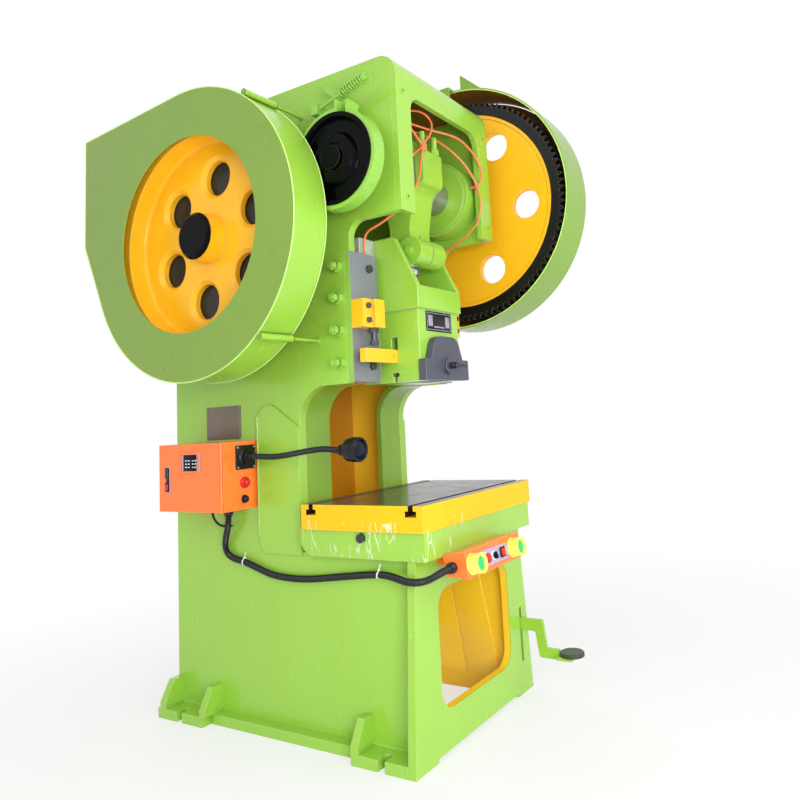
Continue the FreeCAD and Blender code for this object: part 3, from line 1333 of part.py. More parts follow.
# Guides: a front gib on its seat, the guide bar behind it and the studs that set it.
gib_in = sz("gib_inner_half")
gib_low = sz("gib_low_z")
gib_h = sz("gib_top_z") - gib_low
gibs = []
guide_bars = []
for side, sign in (("left", -1), ("right", 1)):
    gibs.append(padded("gib_" + side, "XY", gib_low, gib_h, [
        (gib_in * sign, seat_y),
        (side_half * sign, seat_y),
        (side_half * sign, gib_y),
        (gib_in * sign, gib_y),
    ]))
    guide_bars.append(padded("guide_bar_" + side, "XY", gib_low, gib_h, [
        ((sz("ear_half") + gap) * sign, seat_y),
        (side_in * sign, seat_y),
        (side_in * sign, sz("guide_rear_y")),
        (sz("lip_half") * sign, sz("guide_rear_y")),
        (sz("lip_half") * sign, ear_y0 + sz("ear_t") + gap),
        ((sz("ear_half") + gap) * sign, ear_y0 + sz("ear_t") + gap),
    ]))
node("gibs", group("gibs", gibs))
node("guide_bars", group("guide_bars", guide_bars))

stop_low = sz("stop_low_z")
stop_top = sz("stop_top_z")
studs = []
for k in range(4):
    z = sz("stud_top_z") - sz("stud_pitch") * k
    studs.append(join("guide_stud_%d" % k, [
        rod("guide_stud_bar_%d" % k, "X", -side_half - 52, sz("stud_y"), z, sz("stud_r"), 52 + sz("side_t") - gap),
        hexagon("guide_nut_%d" % k, "X", -side_half - 22, sz("stud_y"), z, 38, 22),
        hexagon("guide_lock_%d" % k, "X", -side_half - 46, sz("stud_y"), z, 32, 14),
    ]))
brackets = []
stop_bolt_low = bar_low + sz("bar_h") + 15
for side, sign in (("left", -1), ("right", 1)):
    for i, z in enumerate((sz("gib_top_z") - 56, gib_low + 60)):
        studs.append(rod("gib_screw_%s_%d" % (side, i), "Y", (gib_in + 50) * sign, gib_y - 10, z, 16, 10))
    x0, x1 = (-side_half, -228) if sign < 0 else (228, side_half)
    n0, n1 = (-285, -228) if sign < 0 else (228, 285)
    blank = join("stop_bracket_blank_" + side, [
        box("stop_plate_" + side, x0, x1, -10, gib_y, stop_low, stop_top),
        box("stop_nose_" + side, n0, n1, -24, -9, stop_low, stop_top),
    ])
    brackets.append(cut("stop_bracket_" + side, blank, [
        rod("stop_hole_" + side, "Z", 258 * sign, 8, stop_low - 5, 12 + fit, stop_top - stop_low + 10),
    ]))
    studs.append(join("stop_bolt_" + side, [
        rod("stop_bolt_bar_" + side, "Z", 258 * sign, 8, stop_bolt_low, 12, stop_top + 4 - stop_bolt_low),
        hexagon("stop_bolt_nut_" + side, "Z", 258 * sign, 8, stop_low - 17, 32, 17),
        hexagon("stop_bolt_head_" + side, "Z", 258 * sign, 8, stop_bolt_low, 28, 16),
    ]))
    for i, z in enumerate((stop_low + 26, stop_top - 26)):
        studs.append(rod("stop_screw_%s_%d" % (side, i), "Y", (side_in + 4) * sign, -19, z, 11, 9))
node("stop_brackets", group("stop_brackets", brackets))
node("guide_studs", group("guide_studs", studs))


# ---------------------------------------------------------------- guards

guard_r = sz("fly_guard_r")
guard_x = sz("fly_guard_x")
guard_in = sz("fly_guard_in_x")
corner_top = (sz("fly_guard_rear_y"), sz("fly_guard_top_z"))
corner_low = (sz("fly_guard_rear_y"), sz("fly_guard_low_z"))


def guard_outline(name, x, width):
    """A pad of the teardrop round the flywheel and the motor pulley."""
    tangents = []
    for corner, sign in ((corner_top, 1), (corner_low, -1)):
        dy = num(corner[0]) - num(fly_y)
        dz = num(corner[1]) - num(fly_z)
        angle = math.atan2(dz, dy) + sign * math.acos(num(guard_r) / math.hypot(dy, dz))
        tangents.append(V(num(fly_y) + num(guard_r) * math.cos(angle), num(fly_z) + num(guard_r) * math.sin(angle), 0))
    top_v = V(num(corner_top[0]), num(corner_top[1]), 0)
    low_v = V(num(corner_low[0]), num(corner_low[1]), 0)
    round_front = Part.Arc(tangents[0], V(num(fly_y) - num(guard_r), num(fly_z), 0), tangents[1])
    body = doc.addObject("PartDesign::Body", name)
    sketch = new_sketch(body, name + "_outline", "YZ", x)
    g_arc = sketch.addGeometry(round_front, False)
    g_low = sketch.addGeometry(Part.LineSegment(tangents[1], low_v), False)
    g_rear = sketch.addGeometry(Part.LineSegment(low_v, top_v), False)
    g_top = sketch.addGeometry(Part.LineSegment(top_v, tangents[0]), False)
    pin(sketch, g_arc, 3, (fly_y, fly_z))
    index = sketch.addConstraint(Sketcher.Constraint("Radius", g_arc, num(guard_r)))
    sketch.setExpression("Constraints[%d]" % index, guard_r.formula)
    pin(sketch, g_low, 2, corner_low)
    pin(sketch, g_top, 1, corner_top)
    sketch.addConstraint(Sketcher.Constraint("Coincident", g_rear, 1, g_low, 2))
    sketch.addConstraint(Sketcher.Constraint("Coincident", g_rear, 2, g_top, 1))
    sketch.addConstraint(Sketcher.Constraint("Tangent", g_arc, 2, g_low, 1))
    sketch.addConstraint(Sketcher.Constraint("Tangent", g_arc, 1, g_top, 2))
    pad = body.newObject("PartDesign::Pad", name + "_pad")
    pad.Profile = sketch
    bind(pad, "Length", width)
    body.Tip = pad
    return body, pad


guard_body, guard_pad = guard_outline("flywheel_guard_shell", -guard_x, guard_x - guard_in)
doc.recompute()
open_face = [i for i, f in enumerate(guard_pad.Shape.Faces)
             if abs(f.CenterOfMass.x + num(guard_in)) < 0.01 and abs(f.normalAt(0, 0).x) > 0.9][0]
guard_shell = guard_body.newObject("PartDesign::Thickness", "flywheel_guard_thickness")
guard_shell.Base = (guard_pad, ["Face%d" % (open_face + 1)])
bind(guard_shell, "Value", sz("fly_guard_t"))
guard_shell.Reversed = 1
guard_body.Tip = guard_shell
open_shell = cut("flywheel_guard_open", guard_body, [
    rod("guard_window", "X", -guard_x - 5, fly_y, fly_z, sz("fly_window_r"), 20),
])

# The guard's inner plate, open round the shaft and the motor's nose.
inner_blank, inner_pad = guard_outline("flywheel_guard_inner", -guard_in - 4, 4)
inner_guard = cut("flywheel_guard_inner_open", inner_blank, [
    rod("guard_shaft_hole", "X", -guard_in - 10, fly_y, fly_z, sz("guard_hole_r"), 20),
    rod("guard_motor_hole", "X", -guard_in - 10, sz("motor_y"), sz("motor_z"), sz("guard_hole_r") - 30, 20),
])

# Two sleeves on the guard's band, each with a thin rod to the side plate.
guard_holders = []
sleeve_r = sz("guard_sleeve_r")
sleeve_reach = guard_r + sleeve_r - 1
for name, lean in (("top", sz("guard_sleeve_top")), ("low", sz("guard_sleeve_low"))):
    angle = math.radians(num(lean))
    y = fly_y + sleeve_reach * math.cos(angle)
    z = fly_z + sleeve_reach * math.sin(angle)
    guard_holders.append(rod("guard_sleeve_" + name, "X", -guard_x + 2, y, z, sleeve_r, guard_x - guard_in - 4))
    guard_holders.append(rod("guard_rod_" + name, "X", -guard_x - 4, y, z, 6, guard_x + 4 - side_half))
    guard_holders.append(rod("guard_foot_" + name, "X", -side_half - 8, y, z, 11, 8))
node("flywheel_guard", join("flywheel_guard", [open_shell, inner_guard] + guard_holders))

gear_guard_in = sz("gear_guard_in_x")
gear_guard_out = sz("gear_guard_out_x")
gear_guard_r = sz("gear_guard_r")
band_width = num(gear_guard_out) - num(gear_guard_in)
gear_band = loop_band("gear_guard_band", num(gear_guard_in), band_width,
                      (0, num(crank_z)), num(gear_guard_r),
                      (num(fly_y), num(fly_z)), num(sz("pinion_guard_r")), num(sz("gear_guard_t")))
holders = []
low_angle = math.radians(-75)
spots = (
    ("low", (gear_guard_r - 10) * math.cos(low_angle), crank_z + (gear_guard_r - 10) * math.sin(low_angle)),
    ("rear", fly_y + sz("pinion_guard_r") - 10, fly_z),
)
for name, y, z in spots:
    holders.append(rod("gear_guard_rod_" + name, "X", side_half, y, z, 12, gear_guard_in + 40 - side_half))
    holders.append(rod("gear_guard_foot_" + name, "X", side_half, y, z, 26, 12))
arm_top = crank_z + gear_guard_r
holders.append(box("gear_guard_arm", side_half, side_half + 10, -26, 26, top_z - 90, arm_top + 10))
holders.append(box("gear_guard_reach", side_half, gear_guard_in + 30, -26, 26, arm_top - 2, arm_top + 10))
holders.append(padded("gear_guard_fin", "YZ", gear_guard_in, 6, [
    (-68, arm_top + 66),
    (-74, arm_top + 66),
    (-180, crank_z + gear_guard_r - 28),
    (-68, arm_top - 1),
]))
node("gear_guard", join("gear_guard", [gear_band] + holders))


# ---------------------------------------------------------------- electrical box and lamp

box_in = side_half
box_out = sz("ebox_out_x")
box_y0 = sz("ebox_front_y")
box_y1 = sz("ebox_rear_y")
box_z0 = sz("ebox_low_z")
box_z1 = sz("ebox_top_z")
wall = sz("ebox_wall")
socket_x = -sz("lamp_x")
box_face = box_y0
shell = box("electrical_box_blank", -box_out, -box_in, box_y0, box_y1, box_z0, box_z1)
room = box("electrical_box_room", -box_out - 5, -box_in - wall, box_y0 + wall, box_y1 - wall, box_z0 + wall, box_z1 - wall)
socket_z = sz("lamp_z")
extras = [
    box("socket_plate", socket_x - 49, socket_x + 44, box_face - 5, box_face + 1, socket_z - 45, socket_z + 45),
    rod("socket_boss", "Y", socket_x, box_face - 30, socket_z, 27, 31),
]
bezel_holes = []
small_buttons = (("red", socket_x - 6, socket_z - 97), ("black", socket_x - 14, socket_z - 159))
for name, x, z in small_buttons:
    extras.append(rod("bezel_" + name, "Y", x, box_face - 8, z, 18, 9))
    bezel_holes.append(rod("bezel_hole_" + name, "Y", x, box_face - 12, z, 13 + gap, 18))
gland_x = socket_x + 22
gland_y = sz("gland_y")
extras.append(rod("box_gland", "Z", gland_x, gland_y, box_z0 - 18, 18, 19))
carrier = box("box_button_wall", socket_x - 36, socket_x + 16, box_face + wall - 1, box_face + 24, socket_z - 185, socket_z - 70)
node("electrical_box", cut("electrical_box", join("electrical_box_solid", [cut("electrical_box_open", shell, [room])] + extras + [carrier]),
                           bezel_holes))
door_x = -box_out - gap
door = join("box_door_solid", [
    box("box_door_plate", door_x - 3, door_x, box_y0 + 7, box_y1, box_z0, box_z1),
    rod("box_door_pin", "Z", door_x - 5, box_y0 + 5, box_z0, 5, box_z1 - box_z0),
    box("box_display_rim", door_x - 9, door_x - 2, box_y0 + 131, box_y0 + 237, box_z0 + 150, box_z0 + 227),
    rod("box_latch", "X", door_x - 14, box_y1 - 43, box_z0 + 123, 11, 14),
])
node("box_door", cut("box_door", door, [
    box("box_display_recess", door_x - 10, door_x - 5, box_y0 + 138, box_y0 + 230, box_z0 + 157, box_z0 + 220),
]))
for name, x, z in small_buttons:
    node("box_button_" + name, rod("box_button_" + name, "Y", x, box_face - 22, z, 13, 22))


def rounded_path(points):
    """Straight runs joined by tangent arcs, each as large as its two runs allow."""
    edges = []
    radii = []
    here = points[0]
    for i in range(1, len(points) - 1):
        back = points[i - 1] - points[i]
        on = points[i + 1] - points[i]
        turn = math.pi - back.getAngle(on)
        shorter = min(back.Length, on.Length)
        radius = 0.45 * shorter / math.tan(turn / 2)
        radii.append(radius)
        reach = 0.45 * shorter
        a = points[i] + back.normalize() * reach
        b = points[i] + on.normalize() * reach
        toward = (back + on).normalize()
        middle = points[i] + toward * (radius / math.cos(turn / 2) - radius)
        edges.append(Part.LineSegment(here, a).toShape())
        edges.append(Part.Arc(a, middle, b).toShape())
        here = b
    edges.append(Part.LineSegment(here, points[-1]).toShape())
    return Part.Wire(edges), radii


def tube(name, points, radius):
    """A round tube along a path, checked against its section times its length."""
    path, radii = rounded_path(points)
    first = (points[1] - points[0]).normalize()
    ring_wire = Part.Wire([Part.Circle(points[0], first, radius).toShape()])
    obj = doc.addObject("Part::Feature", name)
    obj.Shape = path.makePipeShell([ring_wire], True, False)
    share = obj.Shape.Volume / (math.pi * radius * radius * path.Length)
    print("%s length %.0f, volume share %.4f, radii %s" % (name, path.Length, share, " ".join("%.0f" % r for r in radii)))
    return obj


lamp_points = [(box_face.value - 30, 0), (474, 0), (392, -4), (300, 6), (217, 16), (142, 21), (94, 14), (56, 14)]
lamp_points = [V(num(socket_x), y, num(socket_z) + z) for y, z in lamp_points]
node("lamp_arm", tube("lamp_arm", lamp_points, num(sz("lamp_arm_r"))))
lamp_y = 10
lamp_head = turned("lamp_head_body", "YZ", [
    (46, 0),
    (46, 17),
    (30, 22),
    (26, 40, 12),
    (-8, 44, 20),
    (-30, 42, 2),
    (-30, 36),
    (-22, 32),
    (-22, 0),
], "H_Axis", (socket_x, lamp_y, socket_z + 14))
node("lamp_head", lamp_head)


# ---------------------------------------------------------------- two-hand control box and conduit

ctrl_x0 = -sz("ctrl_left_x")
ctrl_x1 = sz("ctrl_right_x")
ctrl_low = (sz("ctrl_low_y"), bed_low - sz("ctrl_drop"))
ctrl_high = (ctrl_low[0] + 15, ctrl_low[1] + 89)
ctrl_body = padded("control_box_body", "YZ", ctrl_x0, ctrl_x1 - ctrl_x0, [
    ctrl_low,
    (ctrl_low[0] + 90, ctrl_low[1] + 4),
    (sz("bed_front_y") - 0, ctrl_low[1] + 75),
    ctrl_high,
])
face_up = V(0, 15, 89).normalize()
face_out = V(0, -89, 15).normalize()
face_turn = FreeCAD.Rotation(V(0, 0, 1), face_out)


def on_face(name, kind, x, up, out, radius, length):
    """A round piece that stands square on the sloping front of the control box."""
    obj = doc.addObject(kind, name)
    if kind == "Part::Cylinder":
        bind(obj, "Radius", radius)
        bind(obj, "Height", length)
    else:
        bind(obj, "Length", radius)
        bind(obj, "Width", radius)
        bind(obj, "Height", length)
    shift = face_up * num(up) + face_out * num(out)
    obj.Placement = FreeCAD.Placement(V(num(x), 0, 0), face_turn)
    if kind == "Part::Box":
        shift = shift - face_turn.multVec(V(num(radius) / 2, num(radius) / 2, 0))
    return at(obj, as_size(x) + shift.x, ctrl_low[0] + shift.y, ctrl_low[1] + shift.z)


middle_up = 43
palm_x = (sz("palm_left_x"), sz("palm_right_x"))
shroud_r = sz("shroud_r")
palm_r = sz("palm_r")
ctrl_wells = []
shrouds = []
for i, x in enumerate(palm_x):
    tube_out = on_face("shroud_out_%d" % i, "Part::Cylinder", x, middle_up, 0, shroud_r, sz("shroud_h"))
    tube_in = on_face("shroud_in_%d" % i, "Part::Cylinder", x, middle_up, -5, shroud_r - 5, sz("shroud_h") + 10)
    shrouds.append(cut("shroud_%d" % i, tube_out, [tube_in]))
    ctrl_wells.append(on_face("palm_well_%d" % i, "Part::Cylinder", x, middle_up, -12, palm_r + gap, 20))
small = (("stop_mushroom", sz("mushroom_x"), 17), ("selector_knob", sz("selector_x"), 12))
for name, x, radius in small:
    ctrl_wells.append(on_face(name + "_well", "Part::Cylinder", x, middle_up, -12, 9 + gap, 20))
square = 26
ctrl_wells.append(on_face("square_well", "Part::Box", sz("square_x"), middle_up, -12, square + 0.6, 20))
gland = rod("control_gland", "X", ctrl_x0 - 20, ctrl_low[0] + 58, ctrl_low[1] + 37, 18, 21)
hangers = []
for i, x in enumerate((ctrl_x0 + 40, ctrl_x1 - 70)):
    hangers.append(padded("control_hanger_%d" % i, "YZ", x, 30, [
        (front_y - 32, ctrl_low[1] + 30),
        (front_y - 32, bed_low - 1),
        (sz("bed_front_y") - 4, bed_low - 1),
        (sz("bed_front_y") - 8, ctrl_low[1] + 40),
    ]))
node("control_box", cut("control_box", join("control_box_solid", [ctrl_body, gland] + hangers), ctrl_wells))
node("button_shrouds", group("button_shrouds", shrouds))
for i, name in enumerate(("start_button_left", "start_button_right")):
    node(name, on_face(name, "Part::Cylinder", palm_x[i], middle_up, -6, palm_r, sz("shroud_h") - 4))
for name, x, radius in small:
    node(name, join(name, [
        on_face(name + "_stem", "Part::Cylinder", x, middle_up, -6, 9, 22),
        on_face(name + "_cap", "Part::Cylinder", x, middle_up, 7, radius, 12),
    ]))
node("stop_button_square", on_face("stop_button_square", "Part::Box", sz("square_x"), middle_up, -6, square, 16))

bed_shift = num(bed_low) - 665
conduit_points = [
    (num(gland_x), num(gland_y), num(box_z0) - 18), (num(gland_x), num(gland_y), num(box_z0) - 52), (-370, 710, 740), (-360, 727, 707),
    (-356, 734, 674), (-355, 720, 645), (-354, 686, 628), (-354, 630, 620), (-355, 567, 604), (-354, 490, 580), (-354, 415, 571),
    (-355, 325, 570), (-354, 235, 577), (-355, 150, 588), (-356, 66, 598), (-358, -10, 607), (-366, -80, 612),
    (-384, -140, 609), (-404, -190, 605), (-414, -235, 606), (-408, -276, 612), (-385, -300, 624), (-348, -311, 634),
    (num(ctrl_x0) - 20, -311, 634),
]
lead_points = [
    (-400, 749, num(box_z0)), (-400, 749, 806), (-398, 742, 784), (-388, 727, 762), (-364, 710, 752), (-side_half.value, 710, 752),
]
conduit_set = [
    tube("conduit_hose", [V(x, y, z + bed_shift if y < 600 else z) for x, y, z in conduit_points], num(sz("conduit_r"))),
    tube("conduit_lead", [V(*p) for p in lead_points], num(sz("lead_r"))),
]
node("conduit", group("conduit", conduit_set))


# ---------------------------------------------------------------- foot pedal and oil tubes

pedal_x = side_half + sz("pedal_side_gap")
pedal_t = sz("pedal_t")
pivot_y = sz("pedal_pivot_y")
pivot_z = sz("pedal_pivot_z")
pad_r = sz("pad_r")
pad_y = sz("pad_y")
pad_z = sz("pad_z")
pedal_flat = padded("pedal_flat", "YZ", pedal_x, pedal_t, [
    (pivot_y + 25, pivot_z - 22, 20),
    (pivot_y + 25, pivot_z + 22, 20),
    (-318, pivot_z + 25, 8),
    (-330, pad_z + 19),
    (-384, pad_z + 19),
    (-384, pad_z - 21),
    (-296, pad_z - 21, 12),
    (-282, pivot_z - 22, 12),
])
pedal_pin = rod("pedal_pin", "X", side_in - 20, pivot_y, pivot_z, sz("pedal_pin_r") - fit, pedal_x + pedal_t - side_in + 32)
pedal_arm = box("pedal_arm", pedal_x - 34, pedal_x + pedal_t + 34, pad_y - 12, -384, pad_z - 12, pad_z)
node("pedal_lever", join("pedal_lever", [pedal_flat, pedal_pin, pedal_arm]))
node("pedal_pad", join("pedal_pad", [
    rod("pedal_pad_disc", "Z", pedal_x + pedal_t / 2, pad_y, pad_z, pad_r, 12),
    cone("pedal_pad_rim", "Z", pedal_x + pedal_t / 2, pad_y, pad_z + 12, pad_r, pad_r - 4, 4),
]))

# Oil tubes in the head. Heights in the routes are above the crank's axis.
oil_r = num(sz("oil_tube_r"))
wall_x = num(side_in)
gib_end = num(sz("gib_top_z")) + 14 - num(crank_z)
tee = (-122, -167, 104)


def oil_tube(name, route):
    return tube(name, [V(x, y, z + num(crank_z)) for x, y, z in route], oil_r)


left_set = join("oil_left_set", [
    box("oil_tee", tee[0] - 12, tee[0] + 12, tee[1] - 9, tee[1] + 9, crank_z + tee[2] - 14, crank_z + tee[2] + 14),
    oil_tube("oil_tube_loop", [
        (-wall_x + 14, -92, 236), (-215, -96, 246), (-140, -108, 262), (-92, -130, 276), (-56, -148, 266),
        (-37, -163, 230), (-62, -169, 176), (-100, -168, 138), (tee[0] + 6, tee[1], tee[2] + 8),
    ]),
    oil_tube("oil_tube_feed", [
        (-wall_x + 14, -138, 196), (-240, -144, 190), (-199, -150, 178), (-162, -158, 150), (tee[0] - 6, tee[1], tee[2] + 6),
    ]),
    oil_tube("oil_tube_gib_left", [
        (tee[0] - 2, tee[1], tee[2] - 8), (-134, -165, 60), (-139, -162, 10), (-155, -158, -40), (-176, -144, -96),
        (-208, -90, -160), (-236, -20, -206), (-240, 34, -222), (-234, 56, -250), (-232, 58, gib_end),
    ]),
    oil_tube("oil_tube_housing_left", [
        (tee[0] - 8, tee[1], tee[2] - 4), (-168, -176, 76), (-218, -192, 46), (-240, -196, 27), (-240, -178.4, 27),
    ]),
])
right_routes = (
    [(-wall_x + 14, -64, 226), (-180, -72, 228), (-70, -110, 224), (-8, -146, 212), (60, -166, 216), (120, -188, 210),
     (176, -208, 178), (223, -220, 132), (245, -224, 82), (246, -214, 48), (240, -196, 27), (240, -178.4, 27)],
    [(-wall_x + 14, -30, 240), (-110, -36, 238), (10, -56, 232), (70, -104, 212), (117, -160, 156), (163, -190, 104),
     (196, -210, 48), (216, -222, -12), (220, -222, -74), (224, -204, -132), (229, -164, -166), (232, -112, -196),
     (234, -50, -222), (234, 12, -244), (234, 48, -264), (234, 50, gib_end)],
)
oil = [left_set]
for i, route in enumerate(right_routes):
    oil.append(oil_tube("oil_tube_right_%d" % i, route))
for i, (y, z) in enumerate(((-92, 236), (-138, 196), (-64, 226), (-30, 240))):
    oil.append(rod("oil_wall_fitting_%d" % i, "X", -side_in, y, crank_z + z, 8, 14))
oil.append(rod("oil_end_fitting_left", "Z", -232, 58, sz("gib_top_z"), 8, 14))
oil.append(rod("oil_fitting_housing_left", "Y", -240, -178.4, crank_z + 27, 8, 14))
oil.append(rod("oil_fitting_housing_right", "Y", 240, -178.4, crank_z + 27, 8, 14))
oil.append(rod("oil_end_fitting_right", "Z", 234, 50, sz("gib_top_z"), 8, 14))
node("oil_tubes", group("oil_tubes", oil))


# ---------------------------------------------------------------- check and write

doc.recompute()
for obj in doc.Objects:
    if "Invalid" in obj.State or "Error" in obj.State:
        raise RuntimeError("failed feature: " + obj.Name)
os.makedirs("parts", exist_ok=True)
for piece in parts:
    if piece.Shape.isNull() or not piece.Shape.isValid() or not piece.Shape.Solids:
        raise RuntimeError("bad shape: " + piece.Label)
for piece in parts:
    piece.Shape.exportStep("parts/" + piece.Label + ".step")
print("wrote %d nodes" % len(parts))
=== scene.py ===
"""Looks of an open-front mechanical stamping press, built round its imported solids.

Lengths in the classes are millimetres, as on the maker's drawings, and become metres when a mesh is made.
The frame has +Z up, +X to the right of someone who faces the front, and +Y to the back.
"""

import json
import logging
import math
from dataclasses import dataclass
from enum import Enum
from typing import Any, ClassVar, Iterable, Optional, Sequence

import bmesh
import bpy
from mathutils import Matrix, Vector

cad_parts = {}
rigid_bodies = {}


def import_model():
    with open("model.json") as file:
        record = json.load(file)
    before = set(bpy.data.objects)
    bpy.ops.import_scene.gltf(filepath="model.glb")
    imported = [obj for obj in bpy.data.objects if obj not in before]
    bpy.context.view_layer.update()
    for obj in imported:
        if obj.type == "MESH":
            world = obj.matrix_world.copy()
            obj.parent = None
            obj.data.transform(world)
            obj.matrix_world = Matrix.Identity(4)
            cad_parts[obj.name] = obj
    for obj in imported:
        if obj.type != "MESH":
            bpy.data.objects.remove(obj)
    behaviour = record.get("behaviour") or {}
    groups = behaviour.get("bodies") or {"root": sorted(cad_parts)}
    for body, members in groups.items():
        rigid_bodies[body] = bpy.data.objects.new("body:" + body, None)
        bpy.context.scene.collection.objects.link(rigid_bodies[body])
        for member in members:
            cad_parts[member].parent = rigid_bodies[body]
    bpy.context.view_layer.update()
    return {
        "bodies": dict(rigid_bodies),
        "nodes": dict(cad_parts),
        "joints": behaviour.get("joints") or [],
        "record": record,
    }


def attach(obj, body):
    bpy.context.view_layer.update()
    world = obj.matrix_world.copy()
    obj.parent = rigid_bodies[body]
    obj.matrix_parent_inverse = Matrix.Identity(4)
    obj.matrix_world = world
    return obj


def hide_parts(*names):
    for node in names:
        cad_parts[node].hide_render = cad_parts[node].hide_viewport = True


LOG = logging.getLogger("stamping_press")
MM = 0.001
Point = tuple[float, float, float]
Colour = tuple[float, float, float]
Pair = tuple[float, float]
Socket = bpy.types.NodeSocket

TO_FRONT = (0, -1, 0)
TO_RIGHT = (1, 0, 0)
WALL_X = 338.0
CRANK_Z = 2090.0
WHEEL_Y, WHEEL_Z = 596.0, 1885.0
CRANK_LINE = (0.0, 0.0, CRANK_Z)
WHEEL_LINE = (0.0, WHEEL_Y, WHEEL_Z)


class Body(Enum):
    """The bodies that pieces of this script ride on."""

    FRAME = "frame"
    RAM = "ram"
    FLYWHEEL = "flywheel_shaft"
    DOOR = "door"
    RED_BUTTON = "red_box_button"
    BLACK_BUTTON = "black_box_button"
    LEFT_PALM = "left_palm_button"
    RIGHT_PALM = "right_palm_button"
    MUSHROOM = "mushroom_button"
    SELECTOR = "selector"
    SQUARE = "square_button"


class Slot(Enum):
    """The record's material slots that pieces of this script use."""

    GREEN = "green_paint"
    AMBER = "amber_paint"
    STEEL = "steel"
    BLACK = "black_paint"
    ORANGE = "orange_paint"
    RUBBER = "black_rubber"
    BLACK_MOULDING = "black_plastic"
    RED_MOULDING = "red_plastic"
    GREEN_MOULDING = "green_plastic"
    YELLOW_MOULDING = "yellow_plastic"
    OIL_TUBE = "orange_tube"


def srgb(red: int, green: int, blue: int) -> Colour:
    """Turns a screen colour into linear light.

    Args:
        red, green, blue: The colour as 0 to 255.

    Returns:
        The same colour as three linear values.
    """

    def line(value: int) -> float:
        """One channel as linear light."""
        share = value / 255
        return share / 12.92 if share <= 0.04045 else ((share + 0.055) / 1.055) ** 2.4

    return line(red), line(green), line(blue)


# -------- node trees


class Wiring:
    """Adds nodes to one tree and links them."""

    MIX_SHARE, MIX_FIRST, MIX_SECOND, MIX_RESULT = 0, 6, 7, 2

    def __init__(self, tree: bpy.types.NodeTree) -> None:
        """Keeps the tree and empties it."""
        self.tree = tree
        tree.nodes.clear()

    def add(self, kind: str, inputs: Optional[dict] = None, **settings: Any) -> bpy.types.Node:
        """Adds one node.

        Args:
            kind: The node's type name.
            inputs: Socket names or numbers, each with a value or a socket to link from.
            settings: The node's own settings.

        Returns:
            The new node.
        """
        node = self.tree.nodes.new(kind)
        for key, value in settings.items():
            setattr(node, key, value)
        self.feed(node, inputs or {})
        return node

    def feed(self, node: bpy.types.Node, inputs: dict) -> None:
        """Links or sets the inputs of a node.

        Args:
            node: The node.
            inputs: Socket names or numbers, each with a value or a socket to link from.
        """
        for key, value in inputs.items():
            if isinstance(value, Socket):
                self.tree.links.new(value, node.inputs[key])
            else:
                node.inputs[key].default_value = value

    def math(self, operation: str, first: Any, second: Any = 0.0, clamp: bool = False) -> Socket:
        """Adds a Math node and gives its result."""
        node = self.add("ShaderNodeMath", {0: first, 1: second}, operation=operation, use_clamp=clamp)
        return node.outputs[0]

    def vector(self, operation: str, first: Any, second: Any = (0.0, 0.0, 0.0)) -> Socket:
        """Adds a Vector Math node and gives its vector, or its number where it makes one."""
        node = self.add("ShaderNodeVectorMath", {0: first, 1: second}, operation=operation)
        return node.outputs["Value" if operation in ("DOT_PRODUCT", "LENGTH") else "Vector"]

    def here(self) -> Socket:
        """The shaded point in the object's own coordinates."""
        return self.add("ShaderNodeTexCoord").outputs["Object"]

    def off_line(self, centre: Any) -> Socket:
        """The way to the shaded point from a line along X, square to the line."""
        return self.vector("MULTIPLY", self.vector("SUBTRACT", self.here(), centre), (0.0, 1.0, 1.0))

    def noise(self, vector: Any, scale: float, detail: float = 3.0, rough: float = 0.55) -> Socket:
        """Adds a Noise texture and gives its value from 0 to 1."""
        node = self.add("ShaderNodeTexNoise", {"Vector": vector, "Scale": scale, "Detail": detail, "Roughness": rough})
        return node.outputs["Fac"]

    def spread(self, value: Any, low: float, high: float, to_low: Any = 0.0, to_high: float = 1.0) -> Socket:
        """Maps a value from one range to another, held at its ends."""
        keys = {"Value": value, "From Min": low, "From Max": high, "To Min": to_low, "To Max": to_high}
        return self.add("ShaderNodeMapRange", keys).outputs["Result"]

    def blend(self, share: Any, first: Any, second: Any, mode: str = "MIX") -> Socket:
        """Mixes two colours.

        Args:
            share: How much of the second colour shows, from 0 to 1.
            first, second: Colours or sockets.
            mode: The way of mixing.

        Returns:
            The mixed colour.
        """
        node = self.add("ShaderNodeMix", data_type="RGBA", blend_type=mode)
        keys = {self.MIX_SHARE: share, self.MIX_FIRST: first, self.MIX_SECOND: second}
        self.feed(node, {key: (*value, 1.0) if isinstance(value, tuple) else value for key, value in keys.items()})
        return node.outputs[self.MIX_RESULT]


SOCKETS = {"colour": "NodeSocketColor", "value": "NodeSocketFloat", "vector": "NodeSocketVector"}


